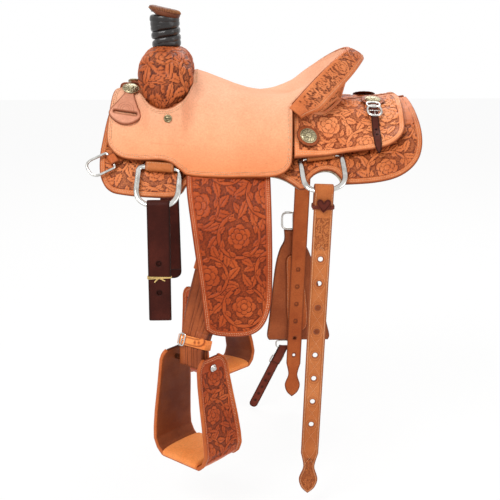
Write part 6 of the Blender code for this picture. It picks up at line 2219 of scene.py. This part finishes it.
# Fenders, stirrup leathers and stirrups
FENDER = 0.0045
FENDER_X = -0.080
FENDER_TOP = -0.100
BOLT = (-0.161, 0.288, -0.517)
BOLT_RADIUS = 0.0062
HOBBLE_RISE = 0.043
BLEVINS_Z = -0.290
BAND_PLAY = 0.0020
SLEEVE_PLAY = 0.0010
BAND_WALL = 0.0030
LEATHER_HALF = 0.037
STIRRUP_TWIST = math.radians(45)
STIRRUP_LEAN = math.radians(-3)
STIRRUP_WIDTH = 0.176
STIRRUP_NECK = 0.118
STIRRUP_HEIGHT = 0.225
STIRRUP_DEPTH = 0.114
PANEL = 0.0105
OFF_SWING = math.radians(-6)
FENDER_CARVING = (0.0135, CARVE_DEPTH, 1.45, 0.9, (0.04, 0.03))
STIRRUP_CARVING = (CARVE_BORDER, CARVE_DEPTH, 1.15, 0.3, (0.02, 0.0))
STRIP_THICK = 0.0031
# half thickness of the folded strips at which a layer keeps its height
STRIP_FULL = 0.0032
STRIP_EDGES = (-0.018, -0.009, 0.001, 0.011, 0.019)
# name, height of its middle, its own height, play round the strips and paint of each band
LEATHER_BANDS = (("sleeve_band_near", "blevins_sleeve", BLEVINS_Z, 0.050, SLEEVE_PLAY, "strap"),
                 ("hobble_band_near", "hobble_strap", BOLT[2] + HOBBLE_RISE, 0.022, BAND_PLAY, "tread"))
FENDER_Y = np.array([0.2030, 0.2165, 0.2270, 0.2450, 0.2665, 0.2845, 0.2955, 0.3000, 0.3000])
FENDER_Z = np.array([-0.0880, -0.1020, -0.1140, -0.1390, -0.1740, -0.2150, -0.2600, -0.3100, -0.5200])


def fender_depth(z):
    """Distance of the fender's inner face from the middle plane, at a height."""
    return np.interp(-np.asarray(z, float), -FENDER_Z, FENDER_Y)


def fender_tilt(z):
    """Outward normal of the fender in the plane across the saddle, softened between its facets."""
    z = np.minimum(np.asarray(z, float), -0.098)
    low, high = fender_depth(z - 0.01), fender_depth(z + 0.01)
    return unit(np.stack([np.full(z.shape, 0.02), low - high], -1))


def fender_pivot(side):
    """Point on the hinge of a fender."""
    return Vector((FENDER_X, side * float(fender_depth(FENDER_TOP)), FENDER_TOP))


def swing_axis(side):
    """Direction of the hinge of a fender: outward from its top."""
    low = float(fender_depth(FENDER_TOP - 0.01))
    high = float(fender_depth(FENDER_TOP + 0.01))
    lean = Vector((0, 0.02, low - high)).normalized()
    return Vector((0, side * lean.y, lean.z))


def rest_turn(side):
    """Turn of a fender from its mirrored place to where it rests."""
    return turn_about(fender_pivot(side), OFF_SWING if side == 1 else 0.0, swing_axis(side))


def hang_both(thing, body, nodes=()):
    """Near piece and its mirror image, with the off one turned to where its fender rests."""
    other = mirror(thing, thing.name.replace("_near", "_off"))
    turned_piece(other, rest_turn(1))
    for piece, word in ((thing, "near"), (other, "off")):
        put(piece, body.format(word), tuple(n + "_" + word for n in nodes))


def make_fenders():
    outline = spline([(-0.173, -0.088, 1), (-0.171, -0.140), (-0.160, -0.220), (-0.144, -0.339),
                      (-0.133, -0.440, 1), (-0.110, -0.452), (-0.061, -0.456), (-0.026, -0.449),
                      (-0.002, -0.426), (0.012, -0.380), (0.0145, -0.302), (0.0140, -0.200),
                      (0.0130, -0.088, 1)], per=5)

    def place(x, z, w):
        lean = fender_tilt(z)
        return stack(x, -(fender_depth(z) + lean[..., 0] * w), z + lean[..., 1] * w)

    leather = sheet("carved_fender_near", outline, place, FENDER, PAINT["fender"], step=0.0016,
                    relief=carved(*FENDER_CARVING, lambda u, v: (v < -0.115) * 1.0))
    hang_both(leather, "fender_{}", ("fender",))
    rows = [stitch_row(outline, place, FENDER - THREAD_SINK, inset, lambda u, v: v < -0.100)
            for inset in EDGE_ROWS]
    hang_both(stitching("fender_stitching_near", rows), "fender_{}")


def leather_route():
    """Line of the stirrup leather: its points, wide directions, half thicknesses and runs."""
    x, y, z = BOLT
    route = np.array([(FENDER_X, 0.2186, -0.1120), (-0.084, 0.2382, -0.1400),
                      (-0.093, 0.2700, -0.2050), (-0.103, 0.2795, -0.2600),
                      (-0.120, 0.2815, -0.3200), (-0.140, 0.2760, -0.4000),
                      (-0.152, 0.2730, -0.4500), (x, y - 0.004, z + 0.028), (x, y, z),
                      (x, y, z - 0.013)])
    route[:, 1] *= -1
    run = run_of(route)
    spots = np.linspace(0, run[-1], 220)
    line = np.stack([np.interp(spots, run, route[:, k]) for k in range(3)], -1)
    turn = smooth_step(-line[:, 2], 0.360, 0.500)[:, None]
    twist = np.array([math.cos(STIRRUP_TWIST), -math.sin(STIRRUP_TWIST), 0])
    wide = unit(np.array([1.0, 0, 0]) * (1 - turn) + twist * turn)
    half = 0.0022 + 0.0028 * smooth_step(-line[:, 2], 0.10, 0.20) + 0.0040 * turn[:, 0]
    return line, wide, half, spots


def strip_edges(u, v, inset):
    """Relief of the outer strip: edges of the folded strips, seen side by side."""
    height, tone = creased(0.0042)(u, v, inset)
    lines = sum(np.exp(-((u - spot - 0.002 * np.sin(v * 19 + spot * 300)) / 0.0010) ** 2)
                for spot in STRIP_EDGES)
    return height - 0.0007 * lines, np.clip(tone - 0.85 * lines, 0, 1)


def make_strips(line, wide, half, run):
    """Two strips, one on the other: the outer one comes back up to the buckle."""
    at = on_path(line, wide)

    def inner(u, v, w):
        layer = np.interp(v, run, half)
        return at(u, v, -layer + np.clip(w, 0, None) * (layer / STRIP_FULL))

    def outer(u, v, w):
        return at(u, v, 0.0002 + np.clip(w, 0, None) * (np.interp(v, run, half) / STRIP_FULL))

    for stem, place, share, top, paint, relief, nodes in (
            ("leather_inner_near", inner, 1.0, 0.0, "strap", creased(0.0042), ("stirrup_leather",)),
            ("leather_outer_near", outer, 0.97, 0.13, "cinch", strip_edges, ())):
        outline = box_outline(-LEATHER_HALF * share, LEATHER_HALF * share, top, at.length)
        strip = sheet(stem, outline, place, STRIP_THICK, PAINT[paint], step=0.0020, under=2,
                      relief=relief)
        hang_both(strip, "fender_{}", nodes)


def sleeve_studs(centre, across, along, face, clear):
    """Two studs of the Blevins buckle, seen below the sleeve."""
    parts = []
    for shift in (-0.018, 0.018):
        stud = frame_at(Vector(centre + face * clear + across * shift + along * 0.014), face)
        parts.append(lathe([(0.0040, 0.0), (0.0042, 0.0008), (0.0030, 0.0019), (0.0, 0.0023)],
                           28, stud))
    hang_both(shape("sleeve_studs_near", parts, "steel"), "fender_{}")


def hobble_buckle(centre, across, along, face, clear):
    """Buckle of the hobble strap with its bar and tongue, and the strap's loose tip."""
    middle = centre + face * (clear + 0.0012) - across * 0.026
    box = superring(0.0085, 0.0135, 0.5, 40)
    parts = [sweep(middle + across * box[:, :1] + along * box[:, 1:], oval(0.0013, 0.0016, 10),
                   face, closed=True), sweep([middle - along * 0.0135, middle + along * 0.0135],
                                             oval(0.0012, 0.0012, 10), face),
             sweep([middle, middle + across * 0.004 + face * 0.0014,
                    middle + across * 0.0090 + face * 0.0012], oval(0.0010, 0.0010, 8), along)]
    hang_both(shape("hobble_buckle_near", parts, "steel"), "fender_{}")
    start = centre + face * (clear + 0.0010) - across * 0.016
    way = on_path(smooth_path([start, start + across * 0.030 + face * 0.0006,
                               start + across * 0.046 - along * 0.003 + face * 0.0012,
                               start + across * 0.056 - along * 0.012 + face * 0.0022], 0.002), along)
    flap = sheet("hobble_tip_near", strip_outline(way.length, 0.0085, 0.010), way, 0.0020,
                 PAINT["tread"], step=0.0015, relief=creased(0.0018, 0.0003), under=2,
                 holes=[hole_at(0, way.length - back_off, 0.0013) for back_off in (0.018, 0.030)])
    hang_both(flap, "fender_{}")


def make_stirrup_leathers():
    line, wide, half, run = leather_route()
    make_strips(line, wide, half, run)
    for stem, node, z, height, play, paint in LEATHER_BANDS:
        i = int(np.argmin(np.abs(line[:, 2] - z)))
        centre, across, thin = line[i], wide[i], half[i]
        along = unit(line[min(i + 6, len(line) - 1)] - line[i - 6])
        across = unit(across - along * float(across @ along))
        normal = np.cross(along, across)
        reach = BAND_WALL / 2 + play
        corner = superring(LEATHER_HALF + reach, thin + reach, 0.22, 120)
        ring = sweep(centre + across * corner[:, :1] + normal * corner[:, 1:],
                     block(height / 2, BAND_WALL / 2, 0.0007), along, closed=True)
        hang_both(shape(stem, [ring], paint), "fender_{}", (node,))
        face = normal if normal[1] < 0 else -normal
        fitting = hobble_buckle if node == "hobble_strap" else sleeve_studs
        fitting(centre, across, along, face, thin + reach + BAND_WALL / 2)


# height, distance from the middle and depth of the stirrup's side, from its neck to its foot
SIDE_X = STIRRUP_WIDTH / 2 - PANEL / 2
NECK_X = STIRRUP_NECK / 2
STIRRUP_PROFILE = ((0.024, NECK_X - 0.003, 0.050), (0.015, NECK_X, 0.076),
                   (0.002, NECK_X + 0.001, 0.088), (-0.030, NECK_X + 0.004, 0.094),
                   (-0.080, NECK_X + 0.011, 0.101), (-0.125, NECK_X + 0.018, 0.107),
                   (-0.165, SIDE_X - 0.001, 0.111), (-0.192, SIDE_X, STIRRUP_DEPTH - 0.001),
                   (-0.212, SIDE_X - 0.009, STIRRUP_DEPTH),
                   (-STIRRUP_HEIGHT, SIDE_X - 0.024, STIRRUP_DEPTH),
                   (-STIRRUP_HEIGHT, SIDE_X - 0.030, STIRRUP_DEPTH))
STIRRUP_STATIONS = 260


def outward_hand(at, v, axis):
    """1 or -1: the sense of w in which a place function leads along +axis."""
    spot = np.array(0.0), np.array(v)
    return 1.0 if (at(*spot, np.array(0.01)) - at(*spot, np.array(0.0)))[axis] > 0 else -1.0


def stirrup_line():
    """Middle line of the stirrup's panel in its own frame, and half its depth at each station."""
    full = np.array(list(STIRRUP_PROFILE) + [(z, -x, d) for z, x, d in STIRRUP_PROFILE[::-1]])
    run = run_of(full[:, :2])
    spots = np.linspace(0, run[-1], STIRRUP_STATIONS)
    rows = np.stack([np.interp(spots, run, full[:, k]) for k in range(3)], -1)
    return np.stack([rows[:, 1], np.zeros(len(rows)), rows[:, 0]], -1), rows[:, 2] / 2


def tread_cover():
    """Smooth leather wrapped round the tread."""
    reach = SIDE_X - 0.0295
    line = np.stack([np.linspace(-reach, reach, 50), np.zeros(50),
                     np.full(50, 0.0055 - STIRRUP_HEIGHT)], -1)
    ripple = 1 + 0.006 * np.sin(np.linspace(0, 9, 50)) + 0.004 * np.sin(np.linspace(0, 23, 50))
    section = superring(STIRRUP_DEPTH / 2 + 0.0045, PANEL / 2 + 0.0070, 0.72, 120)
    return shape("tread_cover_near", [sweep(line, section, (0, 1, 0), scales=ripple)], "tread")


def stirrup_bolt():
    """Bolt with its domed nuts."""
    parts = []
    for hand in (-1, 1):
        head = frame_at((hand * (NECK_X + PANEL / 2 - 0.0006), 0, 0), (hand, 0, 0), (0, 1, 0))
        parts.append(lathe([(0.0090, 0.0), (0.0092, 0.0010), (0.0070, 0.0022), (0.0055, 0.0030),
                            (0.0052, 0.0050), (0.0034, 0.0062), (0.0, 0.0066)], 32, head))
    parts.append(lathe([(BOLT_RADIUS, -NECK_X), (BOLT_RADIUS, NECK_X)], 32,
                       Matrix.Rotation(math.pi / 2, 4, "Y")))
    return shape("stirrup_bolt_near", parts, "steel")


def make_stirrups():
    path, half = stirrup_line()
    at = on_path(path, (0, 1, 0))
    run = run_of(path)
    sign = outward_hand(at, 0.02, 0)
    order = np.linspace(0, len(run) - 1, 90).astype(int)
    right = np.stack([half[order], run[order]], -1)
    outline = np.concatenate([right, (right * (-1, 1))[::-1]])
    span = at.length
    foot = (span / 2 - (SIDE_X - 0.030), span / 2 + (SIDE_X - 0.030))

    def outer(u, v, w):
        return at(u, v, sign * (w - PANEL / 2))

    def inner(u, v, w):
        return at(u, v, sign * (PANEL / 2 - PANEL * 0.02 - w))

    def sides_only(u, v):
        return ((v < foot[0] - 0.030) | (v > foot[1]
                                         + 0.030)).astype(float) * (v > 0.030) * (v < span - 0.030)

    # edge binding: burnished band round the stack of leather and metal
    section = superring(0.0022, PANEL / 2 - 0.0008, 0.6, 14)
    edges = [sweep(at(hand * (half - 0.0016), run, np.zeros(len(run)))[::2], section, (0, 1, 0))
             for hand in (-1, 1)]
    rows = [stitch_row(outline, outer, PANEL * 0.62 - THREAD_SINK, inset)
            for inset in (0.0048, 0.0084)]
    pieces = [sheet("stirrup_leather_cover_near", outline, outer, PANEL * 0.62, PAINT["stirrup"],
                    step=0.0016, under=3, lower=PANEL * 0.30,
                    relief=carved(*STIRRUP_CARVING, sides_only), edge_round=0.0022),
              sheet("stirrup_lining_near", outline, inner, PANEL, PAINT["lining"], step=0.0030,
                    relief=worn(0.0005, 0.03, 8), under=2, lower=PANEL * 0.66),
              stitching("stirrup_stitching_near", rows), tread_cover(),
              shape("stirrup_edge_near", edges, "strap"), stirrup_bolt()]
    axis = np.array([math.cos(STIRRUP_TWIST), -math.sin(STIRRUP_TWIST), 0])
    place = (Matrix.Translation((BOLT[0], -BOLT[1], BOLT[2]))
             @ Matrix.Rotation(math.atan2(axis[1], axis[0]), 4,
                               "Z") @ Matrix.Rotation(-STIRRUP_LEAN, 4, "X"))
    for i, piece in enumerate(pieces):
        turned_piece(piece, place)
        hang_both(piece, "stirrup_{}", ("stirrup",) if i == 0 else ())


# Flank cinch on the off side
BUCKLE_TOP = 0.0350
CINCH_LAYER = 0.0046
CINCH_FOOT = (-0.0240, 0.0058, -0.3351)  # lower end of the cinch from its buckle
DEE_CENTRE = 0.0100                # below that end: middle of the centre dee
DEE_BOW = 0.0200                   # and its lower bow
CONNECT_LEAN = math.radians(26)
CONNECT_TAIL, CONNECT_DROP = 0.050, 0.200
CONNECT_LOOP = 0.0046              # radius of the strap's fold over the dee
CONNECT_THICK = 0.0030
CONNECT_FIRST_HOLE, CONNECT_PITCH = 0.090, 0.022


def cinch_place():
    """Pivot of the flank cinch, on the roller of its buckle."""
    return bow_point(REAR_DEE, 1) + Vector((CINCH_SHIFT, BOW_RADIUS + STRAP + 0.0031, -CINCH_DROP))


def flat_ring(middle, ring, section):
    """Ring that lies across Y, its line given as (x, z) from its middle."""
    return sweep(middle + stack(ring[:, 0], 0, ring[:, 1]), section, (0, 1, 0), closed=True)


def make_cinch_buckle(p):
    tongue = smooth_path([p + (0.0, 0.0010, -0.0100), p + (0.0, 0.0035, 0.004),
                          p + (0.0, 0.0048, 0.026), p + (0.0, 0.0040, BUCKLE_TOP + 0.003)], 0.002)
    parts = [flat_ring(p, superring(0.0300, 0.0230, 0.45, 90) + (0, 0.012),
                       oval(0.0024, 0.0030, 14)),
             sweep([p + (-0.0230, 0, BUCKLE_TOP), p + (0.0230, 0, BUCKLE_TOP)],
                   oval(0.0036, 0.0036, 20), (0, 1, 0)),
             sweep(tongue, oval(0.0019, 0.0017, 12), (1, 0, 0))]
    put(shape("roller_buckle", parts, "steel"), "flank_cinch", ("cinch_buckle",))


def make_cinch_body(p):
    def body(u, v, w):
        swell = 0.0030 * smooth_step(-v, 0.02, 0.10) * (1 - smooth_step(-v, 0.27, 0.319))
        return stack(p[0] + u - 0.06 * v, p[1] + 0.0058 + w * (0.0050 + swell) / 0.0050,
                     p[2] + v - 0.0138)

    line = spline([(0.0245, 0.0, 1), (0.0255, -0.030), (0.0400, -0.058), (0.0540, -0.105),
                   (0.0680, -0.185), (0.0810, -0.265), (0.0880, -0.305), (0.0830, -0.3190, 1)],
                  per=6, closed=False)
    outline = np.concatenate([line, (line * (-1, 1))[::-1]])
    for stem, hand in (("cinch_outer", 1), ("cinch_inner", -1)):
        def layer(u, v, w, hand=hand):
            return body(u, v, hand * (0.0002 + w))

        piece = sheet(stem, outline, layer, CINCH_LAYER, PAINT["cinch"], step=0.0022, under=3,
                      relief=worn(0.0007, 0.07, 4 + hand))
        put(piece, "flank_cinch", ("flank_cinch",) if hand == 1 else ())
        rows = [stitch_row(outline, layer, CINCH_LAYER - THREAD_SINK, 0.0050)]
        put(stitching(stem + "_stitching", rows, "brown_thread"), "flank_cinch")
    # centre panel sewn on the inboard layer
    panel = spline([(-0.020, -0.075), (0.020, -0.075), (0.026, -0.140), (0.030, -0.250),
                    (0.018, -0.288), (-0.018, -0.288), (-0.030, -0.250), (-0.026, -0.140)], per=6)

    def on_top(u, v, w):
        return body(u, v, -0.0048 - w)

    put(sheet("cinch_panel", panel, on_top, 0.0022, PAINT["strap"], step=0.0022,
              relief=creased(0.003), under=3), "flank_cinch")
    put(stitching("cinch_panel_stitching", [stitch_row(panel, on_top, 0.0020, 0.0046)]), "flank_cinch")


def make_connecting_strap(top):
    """Strap folded over the bow of the centre dee, with its buckle."""
    down = np.array([-math.sin(CONNECT_LEAN), 0, -math.cos(CONNECT_LEAN)])
    angle = np.pi * np.arange(17) / 16
    arc = top - down * (np.sin(angle) * CONNECT_LOOP)[:, None]
    arc = arc + stack(0.0, -np.cos(angle) * CONNECT_LOOP, 0.0)
    inner = [top + down * t + (0, -CONNECT_LOOP, 0) for t in np.linspace(CONNECT_TAIL, 0.004, 12)]
    outer = [top + down * t + (0, CONNECT_LOOP, 0) for t in np.linspace(0.004, CONNECT_DROP, 40)]
    at = on_path(np.concatenate([inner, arc, outer]), (1, 0, 0))
    fold = CONNECT_TAIL + math.pi * CONNECT_LOOP
    holes = [hole_at(0.0, fold + CONNECT_FIRST_HOLE + CONNECT_PITCH * k, 0.0024) for k in range(5)]
    hand = outward_hand(at, at.length, 1)
    strap = sheet("connecting_leather", strip_outline(at.length, 0.0120, 0.012),
                  lambda u, v, w: at(u, v, hand * (w - CONNECT_THICK / 2)), CONNECT_THICK,
                  PAINT["mahogany"], step=0.0016, relief=creased(0.0026), under=2, holes=holes)
    put(strap, "connecting_strap", ("connecting_strap",))
    middle = top + down * 0.040 + (0, CONNECT_LOOP + 0.0031, 0)
    ring = superring(0.0165, 0.0140, 0.5, 60)
    parts = [sweep(middle + stack(ring[:, 0], 0, 0) + down * ring[:, 1:], oval(0.0015, 0.0018, 12),
                   (0, 1, 0), closed=True),
             sweep([middle - (0.0130, 0, 0) - down * 0.0140,
                    middle + (0.0130, 0, 0) - down * 0.0140], oval(0.0024, 0.0024, 16), (0, 1, 0)),
             sweep([middle + down * 0.0130, middle + (0, 0.0026, 0),
                    middle - down * 0.0150 + (0, 0.0022, 0)], oval(0.0012, 0.0012, 8), (1, 0, 0))]
    put(shape("connector_roller_buckle", parts, "steel"), "connecting_strap", ("connector_buckle",))


def make_flank_cinch():
    p = np.array(cinch_place())
    make_cinch_buckle(p)
    make_cinch_body(p)
    # screw at the fold
    fold = frame_at(Vector(p + (0.0, 0.0114, -0.030)), (0, 1, 0))
    put(screw("cinch_screw", fold, 0.0062), "flank_cinch")
    hang = p + CINCH_FOOT
    ring = flat_ring(hang - (0, 0, DEE_CENTRE), superring(0.0200, 0.0100, 0.45, 60),
                     oval(0.0018, 0.0018, 12))
    put(shape("steel_cinch_dee", [ring], "steel"), "cinch_dee", ("cinch_dee",))
    make_connecting_strap(hang - (0, 0, DEE_BOW))


def paint_inner_pieces():
    """Pieces of the tree that stay as they are in the solids."""
    for name, thing in frame["nodes"].items():
        if name.startswith("tree_"):
            kind = "rawhide"
        elif name == "horn_post":
            kind = "rubber"
        else:
            continue
        thing.data.materials.clear()
        thing.data.materials.append(PAINT[kind])


def main():
    make_stage()
    make_paints()
    make_skirts()
    make_seat()
    make_rear_jockeys()
    make_swell()
    make_horn_cap()
    make_horn_wrap()
    make_roll()
    make_roll_stitching()
    make_cantle_back()
    make_front_trim()
    make_rear_trim()
    make_rigging()
    make_breast()
    make_latigo()
    make_off_billet()
    make_near_flank_billet()
    make_off_flank_billet()
    make_fenders()
    make_stirrup_leathers()
    make_stirrups()
    make_flank_cinch()
    paint_inner_pieces()


main()
SIZE["end"] = plain(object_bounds())
